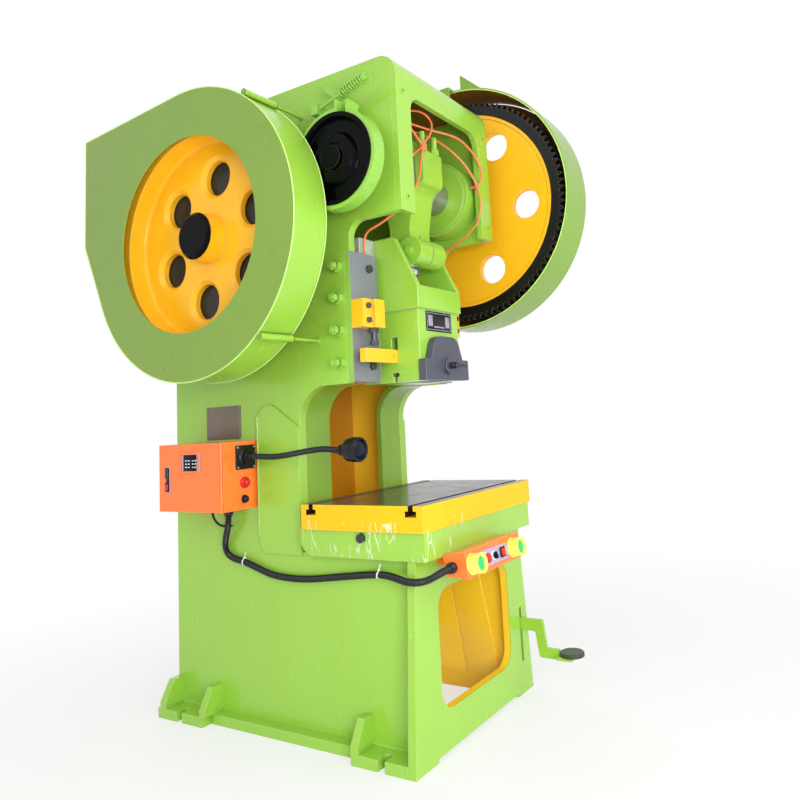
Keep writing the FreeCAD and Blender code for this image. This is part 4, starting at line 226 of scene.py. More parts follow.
class SharedEffect:
    """A shader node group that several materials use. Each kind is built once."""

    title = ""
    takes: dict[str, str] = {}
    gives: dict[str, str] = {}

    @classmethod
    def group(cls) -> bpy.types.NodeTree:
        """Finds the group, or builds it.

        Returns:
            The node group.
        """
        if cls.title in bpy.data.node_groups:
            return bpy.data.node_groups[cls.title]
        tree = bpy.data.node_groups.new(cls.title, "ShaderNodeTree")
        wires = Wiring(tree)
        for name, kind in cls.takes.items():
            tree.interface.new_socket(name=name, in_out="INPUT", socket_type=SOCKETS[kind])
        for name, kind in cls.gives.items():
            tree.interface.new_socket(name=name, in_out="OUTPUT", socket_type=SOCKETS[kind])
        entry = wires.add("NodeGroupInput")
        out = wires.add("NodeGroupOutput")
        for name, socket in cls.fill(wires, entry.outputs).items():
            tree.links.new(socket, out.inputs[name])
        return tree

    @classmethod
    def fill(cls, wires: Wiring, given: Any) -> dict[str, Socket]:
        """Builds the inside of the group and names what it gives."""
        raise NotImplementedError

    @classmethod
    def place(cls, wires: Wiring, inputs: dict) -> Any:
        """Puts the group into a material.

        Args:
            wires: The material's wiring.
            inputs: Values or sockets by name.

        Returns:
            The outputs of the group's node.
        """
        node = wires.add("ShaderNodeGroup", node_tree=cls.group())
        for name, value in inputs.items():
            plain = cls.takes[name] == "colour" and isinstance(value, tuple)
            wires.feed(node, {name: (*value, 1.0) if plain else value})
        return node.outputs


class CloudyCoat(SharedEffect):
    """Uneven shade, gloss and ripple of a coat that was brushed or sprayed by hand."""

    title = "cloudy_coat"
    takes = {"Colour": "colour", "Shade": "value", "Grain": "value"}
    gives = {"Colour": "colour", "Gloss": "value", "Height": "value"}

    @classmethod
    def fill(cls, wires: Wiring, given: Any) -> dict[str, Socket]:
        """Mixes wide clouds, hand-wide patches and fine grain.

        Args:
            wires: The group's wiring.
            given: What the group takes, by name.

        Returns:
            What the group gives, by name.
        """
        place = wires.here()
        wide = wires.noise(place, 1.7, 2.0)
        hand = wires.noise(place, 9.0, 4.0)
        fine = wires.noise(place, given["Grain"], 2.0)
        tone = wires.math("ADD", wires.math("MULTIPLY", wide, 0.65), wires.math("MULTIPLY", hand, 0.35))
        swing = wires.math("MULTIPLY", wires.math("SUBTRACT", tone, 0.5), given["Shade"])
        level = wires.math("ADD", 1.0, swing)
        grey = wires.add("ShaderNodeCombineColor", {0: level, 1: level, 2: level}).outputs[0]
        colour = wires.blend(1.0, given["Colour"], grey, "MULTIPLY")
        height = wires.math("ADD", wires.math("MULTIPLY", fine, 0.25), wires.math("MULTIPLY", hand, 1.6))
        return {"Colour": colour, "Gloss": wires.spread(hand, 0.3, 0.7, -1.0, 1.0), "Height": height}


class RoundedEdge(SharedEffect):
    """Finds edges, and rounds the way light falls on them."""

    title = "rounded_edge"
    takes = {"Radius": "value"}
    gives = {"Edge": "value", "Normal": "vector"}

    @classmethod
    def fill(cls, wires: Wiring, given: Any) -> dict[str, Socket]:
        """Compares the rounded normal with the true one.

        Args:
            wires: The group's wiring.
            given: What the group takes, by name.

        Returns:
            What the group gives, by name.
        """
        bevel = wires.add("ShaderNodeBevel", {"Radius": given["Radius"]}, samples=5)
        true = wires.add("ShaderNodeNewGeometry").outputs["Normal"]
        edge = wires.spread(wires.vector("DOT_PRODUCT", bevel.outputs[0], true), 0.985, 0.80)
        return {"Edge": edge, "Normal": bevel.outputs[0]}


class CornerGrimeAndShade(SharedEffect):
    """Dust and oil that gather in corners and under ledges, with painted shade darkening the same places."""

    title = "corner_grime_and_shade"
    takes = {"Reach": "value"}
    gives = {"Mask": "value"}

    @classmethod
    def fill(cls, wires: Wiring, given: Any) -> dict[str, Socket]:
        """Breaks the shade of the corners up with noise.

        Args:
            wires: The group's wiring.
            given: What the group takes, by name.

        Returns:
            What the group gives, by name.
        """
        place = wires.here()
        closed = wires.add("ShaderNodeAmbientOcclusion", {"Distance": given["Reach"]}, samples=6, only_local=True)
        corner = wires.spread(closed.outputs["AO"], 0.75, 0.2)
        patch = wires.spread(wires.noise(place, 23.0, 5.0, 0.7), 0.3, 0.65)
        return {"Mask": wires.math("MULTIPLY", corner, wires.math("ADD", 0.35, patch), clamp=True)}


class BoxZone(SharedEffect):
    """A mask that is one inside a box in the object's own coordinates."""

    title = "box_zone"
    takes = {"Low": "vector", "High": "vector"}
    gives = {"Mask": "value"}

    @classmethod
    def fill(cls, wires: Wiring, given: Any) -> dict[str, Socket]:
        """Multiplies six comparisons.

        Args:
            wires: The group's wiring.
            given: What the group takes, by name.

        Returns:
            What the group gives, by name.
        """
        points = (wires.here(), given["Low"], given["High"])
        here, low, high = (wires.add("ShaderNodeSeparateXYZ", {0: point}).outputs for point in points)
        mask: Any = 1.0
        for axis in range(3):
            mask = wires.math("MULTIPLY", mask, wires.math("GREATER_THAN", here[axis], low[axis]))
            mask = wires.math("MULTIPLY", mask, wires.math("LESS_THAN", here[axis], high[axis]))
        return {"Mask": mask}


class RingZone(SharedEffect):
    """A mask that is one between two radii about a line along X."""

    title = "ring_zone"
    takes = {"Centre": "vector", "Inner": "value", "Outer": "value"}
    gives = {"Mask": "value"}

    @classmethod
    def fill(cls, wires: Wiring, given: Any) -> dict[str, Socket]:
        """Measures the distance from the line.

        Args:
            wires: The group's wiring.
            given: What the group takes, by name.

        Returns:
            What the group gives, by name.
        """
        far = wires.vector("LENGTH", wires.off_line(given["Centre"]))
        outside = wires.math("GREATER_THAN", far, given["Inner"])
        return {"Mask": wires.math("MULTIPLY", outside, wires.math("LESS_THAN", far, given["Outer"]))}


class FacingLine(SharedEffect):
    """A mask that is one where a surface faces a line along X, as the inside of a bent band does."""

    title = "facing_line"
    takes = {"Centre": "vector"}
    gives = {"Mask": "value"}

    @classmethod
    def fill(cls, wires: Wiring, given: Any) -> dict[str, Socket]:
        """Compares the surface's direction with the way out from the line.

        Args:
            wires: The group's wiring.
            given: What the group takes, by name.

        Returns:
            What the group gives, by name.
        """
        unit = wires.vector("NORMALIZE", wires.off_line(given["Centre"]))
        true = wires.add("ShaderNodeNewGeometry").outputs["True Normal"]
        return {"Mask": wires.math("LESS_THAN", wires.vector("DOT_PRODUCT", unit, true), -0.35)}


class CutterMarks(SharedEffect):
    """Fine lines that a cutter or a grinding wheel leaves, stretched along one direction."""

    title = "cutter_marks"
    takes = {"Stretch": "vector"}
    gives = {"Tone": "value", "Height": "value"}

    @classmethod
    def fill(cls, wires: Wiring, given: Any) -> dict[str, Socket]:
        """Reads noise through a stretched space.

        Args:
            wires: The group's wiring.
            given: What the group takes, by name.

        Returns:
            What the group gives, by name.
        """
        place = wires.here()
        lines = wires.noise(wires.vector("MULTIPLY", place, given["Stretch"]), 1.0, 4.0, 0.7)
        patch = wires.noise(place, 6.0, 4.0, 0.6)
        tone = wires.math("ADD", wires.math("MULTIPLY", lines, 0.6), wires.math("MULTIPLY", patch, 0.4))
        return {"Tone": tone, "Height": lines}


class FilmWrinkles(SharedEffect):
    """Creases of clear stretch film that is still wrapped round an edge, with painted highlights along them."""

    title = "film_wrinkles"
    takes = {"Low": "vector", "High": "vector"}
    gives = {"Crease Glint": "value", "Film": "value", "Height": "value"}

    @classmethod
    def fill(cls, wires: Wiring, given: Any) -> dict[str, Socket]:
        """Makes long thin cells, kept only in patches of the wrapped zone.

        Args:
            wires: The group's wiring.
            given: What the group takes, by name.

        Returns:
            What the group gives, by name.
        """
        place = wires.here()
        keys = {"Vector": place, "Rotation": (0.45, 0.35, 0.6), "Scale": (34.0, 34.0, 6.5)}
        turned = wires.add("ShaderNodeMapping", keys).outputs[0]
        shaken = wires.vector("ADD", turned, wires.noise(place, 7.0, 3.0))
        cells = wires.add("ShaderNodeTexVoronoi", {"Vector": shaken, "Scale": 1.0}, feature="DISTANCE_TO_EDGE")
        crease = wires.spread(cells.outputs["Distance"], 0.055, 0.0)
        patch = wires.spread(wires.noise(place, 8.5, 2.0), 0.47, 0.58)
        film = BoxZone.place(wires, {"Low": given["Low"], "High": given["High"]})["Mask"]
        marked = wires.math("MULTIPLY", wires.math("MULTIPLY", crease, patch), film)
        return {"Crease Glint": marked, "Film": film, "Height": wires.math("MULTIPLY", crease, film)}


# -------- finishes


@dataclass(frozen=True)
class Zone:
    """A region of one piece with another colour.

    A box zone has its corners in low and high. A ring zone has its centre in low, and its radii in inner and outer.
    An inside zone has its centre in low, and takes every face that looks at the line through it.
    """

    colour: Colour
    low: Point
    high: Point = (0.0, 0.0, 0.0)
    inner: float = 0.0
    outer: float = 0.0
    metallic: float = 0.0
    roughness: float = 0.4
    inside: bool = False

    def mask(self, wires: Wiring) -> Socket:
        """Places the zone's mask in a material.

        Args:
            wires: The material's wiring.

        Returns:
            The mask, 0 or 1.
        """
        low = tuple(v * MM for v in self.low)
        if self.inside:
            return FacingLine.place(wires, {"Centre": low})["Mask"]
        if self.outer:
            keys = {"Centre": low, "Inner": self.inner * MM, "Outer": self.outer * MM}
            return RingZone.place(wires, keys)["Mask"]
        return BoxZone.place(wires, {"Low": low, "High": tuple(v * MM for v in self.high)})["Mask"]


@dataclass(frozen=True)
class Finish:
    """What all finishes share."""

    title: str
    colour: Colour

    def material(self) -> bpy.types.Material:
        """Finds the material, or builds it.

        Returns:
            The material of this finish.
        """
        known = bpy.data.materials.get(self.title)
        if known:
            return known
        made = bpy.data.materials.new(self.title)
        made.use_nodes = True
        made.diffuse_color = (*self.colour, 1.0)
        wires = Wiring(made.node_tree)
        shader = wires.add("ShaderNodeBsdfPrincipled")
        wires.add("ShaderNodeOutputMaterial", {"Surface": shader.outputs[0]})
        self.wire(wires, shader)
        return made

    def wire(self, wires: Wiring, shader: bpy.types.Node) -> None:
        """Feeds the shader."""
        raise NotImplementedError

    @staticmethod
    def bump(wires: Wiring, height: Any, depth: float, normal: Any, strength: float = 1.0) -> Socket:
        """Adds a Bump node of a real depth in metres to a normal."""
        keys = {"Height": height, "Distance": depth, "Strength": strength, "Normal": normal}
        return wires.add("ShaderNodeBump", keys).outputs[0]


@dataclass(frozen=True)
class Enamel(Finish):
    """Gloss enamel on plate or casting, with painted highlights on its edges and grime with painted shade in its
    corners, in one or more colours.
    """

    EDGE_HIGHLIGHT_WHITE: ClassVar[Colour] = srgb(255, 255, 225)
    CREASE_GLINT_WHITE: ClassVar[Colour] = srgb(250, 253, 246)
    CREASE_GLINT_SHARE: ClassVar[float] = 0.7
    CREASE_DEPTH: ClassVar[float] = 0.001
    FILM_GLOSS: ClassVar[float] = 0.1
    GRIME_AND_SHADE_REACH: ClassVar[float] = 0.035
    GRIME_AND_SHADE_MATT: ClassVar[float] = 0.35
    GLOSS_SWING: ClassVar[float] = 0.05
    LEAST_ROUGHNESS: ClassVar[float] = 0.06
    COAT_ROUGHNESS: ClassVar[float] = 0.1

    roughness: float = 0.24
    coat: float = 0.3
    specular: float = 0.45
    shade: float = 0.18
    ripple: float = 0.0007
    grain: float = 420.0
    edge: float = 2.2
    edge_light: float = 0.45
    grime_and_shade: float = 0.55
    grime_and_shade_colour: Colour = srgb(58, 66, 20)
    zones: tuple[Zone, ...] = ()
    film: Optional[tuple[Point, Point]] = None

    def wire(self, wires: Wiring, shader: bpy.types.Node) -> None:
        """Lays coat, zones, painted edge highlights, grime with painted corner shade, and film with painted crease
        highlights over each other.

        Args:
            wires: The material's wiring.
            shader: The Principled shader.
        """
        base: Any = self.colour
        metal: Any = 0.0
        lift: Any = 0.0
        for zone in self.zones:
            mask = zone.mask(wires)
            base = wires.blend(mask, base, zone.colour)
            metal = wires.math("MAXIMUM", metal, wires.math("MULTIPLY", mask, zone.metallic))
            lift = wires.math("ADD", lift, wires.math("MULTIPLY", mask, zone.roughness - self.roughness))
        coat = CloudyCoat.place(wires, {"Colour": base, "Shade": self.shade, "Grain": self.grain})
        # Painted highlight: the colour is screened towards white along the edges, where rounded edges would catch
        # light.
        edges = RoundedEdge.place(wires, {"Radius": self.edge * MM})
        bright = wires.blend(1.0, coat["Colour"], self.EDGE_HIGHLIGHT_WHITE, "SCREEN")
        lit = wires.math("MULTIPLY", edges["Edge"], self.edge_light)
        colour = wires.blend(lit, coat["Colour"], bright)
        # Grime and painted shade: corners and places under ledges darken by occlusion.
        dirt_and_shade = CornerGrimeAndShade.place(wires, {"Reach": self.GRIME_AND_SHADE_REACH})["Mask"]
        grime_and_shade_shown = wires.math("MULTIPLY", dirt_and_shade, self.grime_and_shade)
        colour = wires.blend(grime_and_shade_shown, colour, self.grime_and_shade_colour)
        gloss = wires.math("ADD", self.roughness, wires.math("MULTIPLY", coat["Gloss"], self.GLOSS_SWING))
        gloss = wires.math("ADD", gloss, wires.math("MULTIPLY", grime_and_shade_shown, self.GRIME_AND_SHADE_MATT))
        gloss = wires.math("ADD", gloss, lift)
        normal = self.bump(wires, coat["Height"], self.ripple, edges["Normal"])
        if self.film:
            low, high = (tuple(v * MM for v in corner) for corner in self.film)
            film = FilmWrinkles.place(wires, {"Low": low, "High": high})
            # Painted highlight: the film's creases are lightened towards white.
            crease = wires.math("MULTIPLY", film["Crease Glint"], self.CREASE_GLINT_SHARE)
            colour = wires.blend(crease, colour, self.CREASE_GLINT_WHITE)
            gloss = wires.math("SUBTRACT", gloss, wires.math("MULTIPLY", film["Film"], self.FILM_GLOSS))
            normal = self.bump(wires, film["Height"], self.CREASE_DEPTH, normal, 0.4)
        wires.feed(shader, {
            "Base Color": colour, "Metallic": metal, "Roughness": wires.math("MAXIMUM", gloss, self.LEAST_ROUGHNESS),
            "Normal": normal, "Coat Weight": self.coat, "Coat Roughness": self.COAT_ROUGHNESS,
            "Specular IOR Level": self.specular,
        })


@dataclass(frozen=True)
class Machined(Finish):
    """Bare steel with the marks of its cutter, dark stains, painted highlights on its edges and grime with painted
    shade in its corners, in one or more colours.
    """

    EDGE_HIGHLIGHT_STEEL: ClassVar[Colour] = srgb(225, 226, 228)
    EDGE_HIGHLIGHT_SHARE: ClassVar[float] = 0.5
    GRIME_AND_SHADE_COLOUR: ClassVar[Colour] = srgb(30, 26, 20)
    GRIME_AND_SHADE_SHARE: ClassVar[float] = 0.6
    GRIME_AND_SHADE_REACH: ClassVar[float] = 0.02
    MARK_DEPTH: ClassVar[float] = 0.0002

    stretch: Point = (900.0, 30.0, 30.0)
    roughness: float = 0.34
    stain: float = 0.5
    edge: float = 0.8
    metallic: float = 0.9
    specular: float = 0.5
    zones: tuple[Zone, ...] = ()

    def wire(self, wires: Wiring, shader: bpy.types.Node) -> None:
        """Lays marks, stains, painted edge highlights, and grime with painted corner shade.

        Args:
            wires: The material's wiring.
            shader: The Principled shader.
        """
        marks = CutterMarks.place(wires, {"Stretch": self.stretch})
        base: Any = self.colour
        metal: Any = self.metallic
        for zone in self.zones:
            mask = zone.mask(wires)
            base = wires.blend(mask, base, zone.colour)
            metal = wires.spread(mask, 0.0, 1.0, metal, zone.metallic)
        dark = tuple(v * 0.5 for v in self.colour)
        tone = wires.spread(marks["Tone"], 0.35, 0.62)
        colour = wires.blend(wires.math("MULTIPLY", wires.math("SUBTRACT", 1.0, tone), self.stain), base, dark)
        # Painted highlight: the colour is lightened along the edges.
        edges = RoundedEdge.place(wires, {"Radius": self.edge * MM})
        colour = wires.blend(wires.math("MULTIPLY", edges["Edge"], self.EDGE_HIGHLIGHT_SHARE), colour, self.EDGE_HIGHLIGHT_STEEL)
        # Grime and painted shade: corners and places under ledges darken by occlusion.
        dirt_and_shade = CornerGrimeAndShade.place(wires, {"Reach": self.GRIME_AND_SHADE_REACH})["Mask"]
        colour = wires.blend(wires.math("MULTIPLY", dirt_and_shade, self.GRIME_AND_SHADE_SHARE), colour, self.GRIME_AND_SHADE_COLOUR)
        gloss = wires.math("ADD", self.roughness - 0.08, wires.math("MULTIPLY", marks["Tone"], 0.2))
        wires.feed(shader, {
            "Base Color": colour, "Metallic": metal, "Roughness": gloss, "Specular IOR Level": self.specular,
            "Normal": self.bump(wires, marks["Height"], self.MARK_DEPTH, edges["Normal"]),
        })


@dataclass(frozen=True)
class Moulding(Finish):
    """Moulded plastic or rubber with a fine grain, light scuffs, and dust with painted shade in its corners."""

    DUST_AND_SHADE: ClassVar[Colour] = srgb(90, 84, 74)
    DUST_AND_SHADE_SHARE: ClassVar[float] = 0.3
    DUST_AND_SHADE_REACH: ClassVar[float] = 0.006
    EDGE_RADIUS: ClassVar[float] = 0.0006
    SCUFF_MATT: ClassVar[float] = 0.12

    roughness: float = 0.4
    grain: float = 900.0
    depth: float = 0.0002
    scuff: float = 0.2
    specular: float = 0.5
    see_through: float = 0.0

    def wire(self, wires: Wiring, shader: bpy.types.Node) -> None:
        """Lays grain, scuffs, and dust with painted corner shade.

        Args:
            wires: The material's wiring.
            shader: The Principled shader.
        """
        place = wires.here()
        scuffs = wires.spread(wires.noise(place, 60.0, 6.0, 0.75), 0.52, 0.75)
        pale = tuple(min(1.0, v * 1.6 + 0.05) for v in self.colour)
        colour = wires.blend(wires.math("MULTIPLY", scuffs, self.scuff), self.colour, pale)
        # Dust and painted shade: corners and places under ledges darken by occlusion.
        dirt_and_shade = CornerGrimeAndShade.place(wires, {"Reach": self.DUST_AND_SHADE_REACH})["Mask"]
        colour = wires.blend(wires.math("MULTIPLY", dirt_and_shade, self.DUST_AND_SHADE_SHARE), colour, self.DUST_AND_SHADE)
        edges = RoundedEdge.place(wires, {"Radius": self.EDGE_RADIUS})
        wires.feed(shader, {
            "Base Color": colour, "Transmission Weight": self.see_through, "Specular IOR Level": self.specular,
            "Roughness": wires.math("ADD", self.roughness, wires.math("MULTIPLY", scuffs, self.SCUFF_MATT)),
            "Normal": self.bump(wires, wires.noise(place, self.grain, 2.0), self.depth, edges["Normal"]),
        })


GREEN = srgb(151, 200, 68)
AMBER = srgb(255, 190, 32)
# A lighter copy of the amber: the inner faces' amber paint is real, their extra lightness is painted light where the
# lamps reach in.
LIT_AMBER = srgb(255, 212, 48)
ORANGE = srgb(255, 122, 44)
INK = srgb(8, 9, 13)
STEEL = srgb(172, 174, 178)
# The head's amber inner paint, darkened as painted shade.
SHADED_AMBER = srgb(128, 78, 12)
BLACKING = srgb(5, 6, 9)
BARE_SIDE = srgb(214, 212, 220)
GROOVE_DARK = srgb(40, 36, 32)
# Dark brown for grime and painted shade in the corners of amber plate.
PLATE_GRIME_AND_SHADE = srgb(92, 58, 8)
FILM_ZONE = ((-420.0, -285.0, 600.0), (-110.0, 300.0, 794.0))


class Shop(Enum):
    """Every finish on the press."""

    GREEN_PLATE = Enamel("green_plate", GREEN)
    # The side plates' inner faces are amber paint in the lighter copy, which is painted light.
    GREEN_WALLS = Enamel(
        "green_walls", GREEN,
        zones=(Zone(LIT_AMBER, (-307.0, -400.0, -5.0), (307.2, 1200.0, 1800.0)),),
    )
    GREEN_BED = Enamel("green_bed", GREEN, film=FILM_ZONE)
    # The head cover's inside is amber paint, darkened as painted shade.
    GREEN_HEAD = Enamel(
        "green_head", GREEN,
        zones=(Zone(SHADED_AMBER, (-306.5, -181.0, 2100.0), (306.5, 484.0, 2469.0)),),
    )
    # The base front plate's inner face is amber paint in the lighter copy, which is painted light.
    GREEN_BASE_FRONT = Enamel(
        "green_base_front", GREEN,
        zones=(Zone(LIT_AMBER, (-306.5, -212.0, 60.0), (306.5, -180.0, 664.0)),),
    )
    GREEN_GUARD = Enamel(
        "green_guard", GREEN, edge=1.2, ripple=0.0005,
        zones=(
            # Painted shade: the guard's outer face, in a darker olive.
            Zone(srgb(122, 156, 50), (-660.0, -700.0, 1000.0), (-633.0, 1400.0, 2800.0), roughness=0.3),
            Zone(srgb(150, 166, 40), WHEEL_LINE, inside=True, roughness=0.4),
            # Painted shade: the guard's inner plate, near black, as seen through the wheel's holes.
            Zone(srgb(22, 24, 10), (-480.0, -700.0, 1200.0), (-474.0, 1400.0, 2800.0), roughness=0.7),
        ),
    )
    # The gear guard's darker green is painted shade; its inside is the amber inner paint, darkened to brown as painted
    # shade.
    GREEN_GEAR_GUARD = Enamel(
        "green_gear_guard", srgb(128, 166, 56), edge=1.2, coat=0.1, specular=0.3,
        zones=(Zone(srgb(140, 88, 16), CRANK_LINE, inside=True, roughness=0.6),),
    )
    # A dark-brown sheet for the shade in the gear guard's open side, which is painted shade.
    GUARD_SHADOW_FLANGE = Enamel("guard_shadow_flange", srgb(112, 72, 16), edge=1.0, roughness=0.5, coat=0.0, specular=0.2)
    GREEN_RAM = Enamel(
        "green_ram", GREEN, ripple=0.0014, grain=160.0, edge=5.0, edge_light=0.6, shade=0.2,
        zones=(
            Zone(BARE_SIDE, (-320.0, -60.0, 1200.0), (-157.0, 300.0, 2000.0), metallic=0.5, roughness=0.3),
            Zone(BARE_SIDE, (157.0, -60.0, 1200.0), (320.0, 300.0, 2000.0), metallic=0.5, roughness=0.3),
        ),
    )
    GREEN_CASTING = Enamel("green_casting", GREEN, ripple=0.0016, grain=160.0, edge=3.5, shade=0.3)
    GREEN_HARDWARE = Enamel("green_hardware", srgb(142, 196, 72), edge=0.8, ripple=0.0004, grime_and_shade=0.9, shade=0.35)
    ROD_HARDWARE = Enamel(
        "rod_hardware", GREEN, edge=0.8, ripple=0.0004,
        zones=(Zone(STEEL, (-60.0, -60.0, 1700.0), (60.0, 60.0, 1753.0), metallic=0.9, roughness=0.3),),
    )
    STUD_HARDWARE = Enamel(
        "stud_hardware", srgb(142, 196, 72), edge=0.8, ripple=0.0004, grime_and_shade=0.9,
        zones=(Zone(srgb(74, 75, 82), (-337.0, -60.0, 1200.0), (337.0, 60.0, 1800.0), metallic=0.7, roughness=0.38),),
    )
    FRAME_HARDWARE = Enamel(
        "frame_hardware", srgb(150, 200, 72), edge=0.8, ripple=0.0004, grime_and_shade=0.9,
        zones=(Zone(srgb(58, 60, 62), (-500.0, -300.0, 600.0), (500.0, 300.0, 800.0), metallic=0.6, roughness=0.45),),
    )
    AMBER_PLATE = Enamel("amber_plate", AMBER, grime_and_shade_colour=PLATE_GRIME_AND_SHADE)
    # Darker copies of the amber and the green, which are painted shade: the throat's back plate and its flanges.
    AMBER_SHADE = Enamel("amber_shade", srgb(204, 138, 22), grime_and_shade_colour=srgb(80, 48, 8), coat=0.1, specular=0.3)
    GREEN_SHADE = Enamel("green_shade", srgb(130, 168, 56), coat=0.1, specular=0.3)
    # The lining is amber paint in the lighter copy, which is painted light, with stronger painted edge highlights.
    LINING = Enamel("base_lining", LIT_AMBER, edge_light=0.7, grime_and_shade_colour=PLATE_GRIME_AND_SHADE)
    AMBER_WHEEL = Enamel(
        "amber_wheel", AMBER, ripple=0.0016, grain=120.0, edge=4.0, shade=0.25, grime_and_shade_colour=srgb(96, 60, 10),
        coat=0.1, specular=0.3,
        zones=(Zone(INK, WHEEL_LINE, inner=451.0, outer=600.0, roughness=0.5),),
    )
    AMBER_GEAR = Enamel(
        "amber_gear", AMBER, ripple=0.0014, grain=120.0, edge=2.0, grime_and_shade_colour=srgb(60, 40, 14), coat=0.1,
        specular=0.25,
        zones=(Zone(srgb(17, 16, 17), CRANK_LINE, inner=456.0, outer=600.0, roughness=0.34),),
    )
    AMBER_TABLE = Enamel(
        "amber_table", AMBER, grime_and_shade_colour=PLATE_GRIME_AND_SHADE, film=FILM_ZONE, edge_light=0.25, coat=0.0, specular=0.12,
        zones=(
            Zone(srgb(84, 74, 66), (-420.0, -300.0, 849.2), (420.0, 300.0, 860.0), metallic=0.2, roughness=0.2),
            Zone(GROOVE_DARK, (-399.4, -246.0, 812.0), (399.4, -198.0, 849.6), metallic=0.4, roughness=0.4),
            Zone(GROOVE_DARK, (-399.4, 198.0, 812.0), (399.4, 246.0, 849.6), metallic=0.4, roughness=0.4),
        ),
    )
    ORANGE_BOX = Enamel("orange_box", ORANGE, grain=700.0, ripple=0.0003, edge=1.4, shade=0.12,
                        grime_and_shade_colour=srgb(120, 50, 20))
    # A lighter green for the lips along both guards' edges, which is a painted highlight.
    LIT_GREEN_LIP = Enamel("lit_green_lip", srgb(196, 236, 126), edge=0.8, ripple=0.0003, grime_and_shade=0.3)
    BLACK_DRUM = Enamel("black_drum", BLACKING, roughness=0.1, coat=0.0, specular=0.08, ripple=0.0008,
                        edge_light=0.05, shade=0.5, grime_and_shade_colour=srgb(20, 19, 18), grime_and_shade=0.3)
    TURNED_STEEL = Machined("turned_steel", STEEL, stretch=(700.0, 60.0, 60.0))
    CRANK_STEEL = Enamel(
        "crank_steel", BLACKING, roughness=0.16, coat=0.0, specular=0.08, ripple=0.0006, edge_light=0.1,
        zones=(Zone(STEEL, (-400.0, -300.0, 1800.0), (700.0, 300.0, 2400.0), metallic=0.9, roughness=0.34),),
    )
    GROUND_STEEL = Machined("ground_steel", srgb(206, 207, 212), stretch=(40.0, 40.0, 900.0), roughness=0.3)
    GIB_STEEL = Machined(
        "gib_steel", srgb(136, 139, 150), stretch=(160.0, 160.0, 4.0), roughness=0.45, metallic=0.25, stain=0.35,
        zones=(Zone(GREEN, (-400.0, -100.0, 1200.0), (-337.6, 200.0, 1900.0)),
               Zone(GREEN, (337.6, -100.0, 1200.0), (400.0, 200.0, 1900.0))),
    )
    DARK_STEEL = Machined("dark_hardware", srgb(70, 70, 78), stretch=(120.0, 120.0, 120.0), roughness=0.38,
                          metallic=0.7)
    ZINC = Machined("zinc_hardware", srgb(176, 178, 176), stretch=(120.0, 120.0, 120.0), roughness=0.36)
    CLAMP_CASTING = Machined("clamp_casting", srgb(92, 94, 108), stretch=(160.0, 160.0, 160.0), roughness=0.46,
                             metallic=0.45, edge=2.0)
    BRASS = Machined("brass_fittings", srgb(198, 160, 86), stretch=(200.0, 200.0, 200.0), roughness=0.3)
    PLATE_ALLOY = Machined("plate_alloy", srgb(128, 118, 104), stretch=(60.0, 60.0, 900.0), roughness=0.36,
                           metallic=0.6)
    PLATE_SILVER = Machined("plate_silver", srgb(178, 170, 190), stretch=(60.0, 60.0, 60.0), roughness=0.34,
                            metallic=0.4, edge=0.3)
    BELT = Moulding("belt_rubber", srgb(24, 24, 25), roughness=0.62, grain=500.0)
    HOSE = Moulding("hose_rubber", srgb(27, 30, 36), roughness=0.3, grain=700.0, scuff=0.2, specular=0.35)
    BLACK_MOULDING = Moulding("black_moulding", srgb(13, 14, 18), roughness=0.26, scuff=0.12, specular=0.3)
    PAD_RUBBER = Moulding("pad_rubber", srgb(52, 66, 40), roughness=0.5, grain=300.0, depth=0.0008, scuff=0.35)
    RED_MOULDING = Moulding("red_moulding", srgb(214, 22, 24), roughness=0.22, scuff=0.1)
    GREEN_MOULDING = Moulding("green_moulding", srgb(38, 196, 106), roughness=0.3, scuff=0.1)
    YELLOW_MOULDING = Moulding("yellow_moulding", srgb(244, 242, 104), roughness=0.34, scuff=0.1)
    WHITE_MOULDING = Moulding("white_moulding", srgb(236, 238, 240), roughness=0.3, scuff=0.1)
    LILAC_STRIP = Moulding("lilac_strip", srgb(176, 166, 196), roughness=0.24, grain=1400.0, scuff=0.15)
    DARK_GLASS = Moulding("dark_glass", srgb(20, 26, 44), roughness=0.12, depth=0.00005, scuff=0.05, specular=0.08)
    TUBE_ORANGE = Moulding("tube_orange", srgb(250, 128, 78), roughness=0.2, grain=1200.0, scuff=0.1, see_through=0.1)
    LAMP_LENS = Moulding("lamp_lens", srgb(20, 24, 40), roughness=0.1, depth=0.00005, scuff=0.05, specular=0.15)

    @property
    def made(self) -> bpy.types.Material:
        """The material of this finish."""
        return self.value.material()


# -------- meshes


def link(item: bpy.types.Object) -> None:
    """Puts an object into the scene."""
    bpy.context.scene.collection.objects.link(item)


def about_x(x: float, centre: Sequence[float], radius: float, angle: float) -> Point:
    """A point at a radius and an angle from a line along X, whose Y and Z are the centre."""
    return x, centre[0] + radius * math.cos(angle), centre[1] + radius * math.sin(angle)


def across_x(x: float, side: int = 1) -> Matrix:
    """A plane across X, with Y and Z as its own axes, that rises to +X or, with a side of -1, to -X."""
    return Matrix(((0, 0, side, x), (1, 0, 0, 0), (0, 1, 0, 0), (0, 0, 0, 1)))


def turn_to(direction: Sequence[float]) -> Matrix:
    """The turn that brings +Z to a direction."""
    return Vector(direction).to_track_quat("Z", "Y").to_matrix().to_4x4()


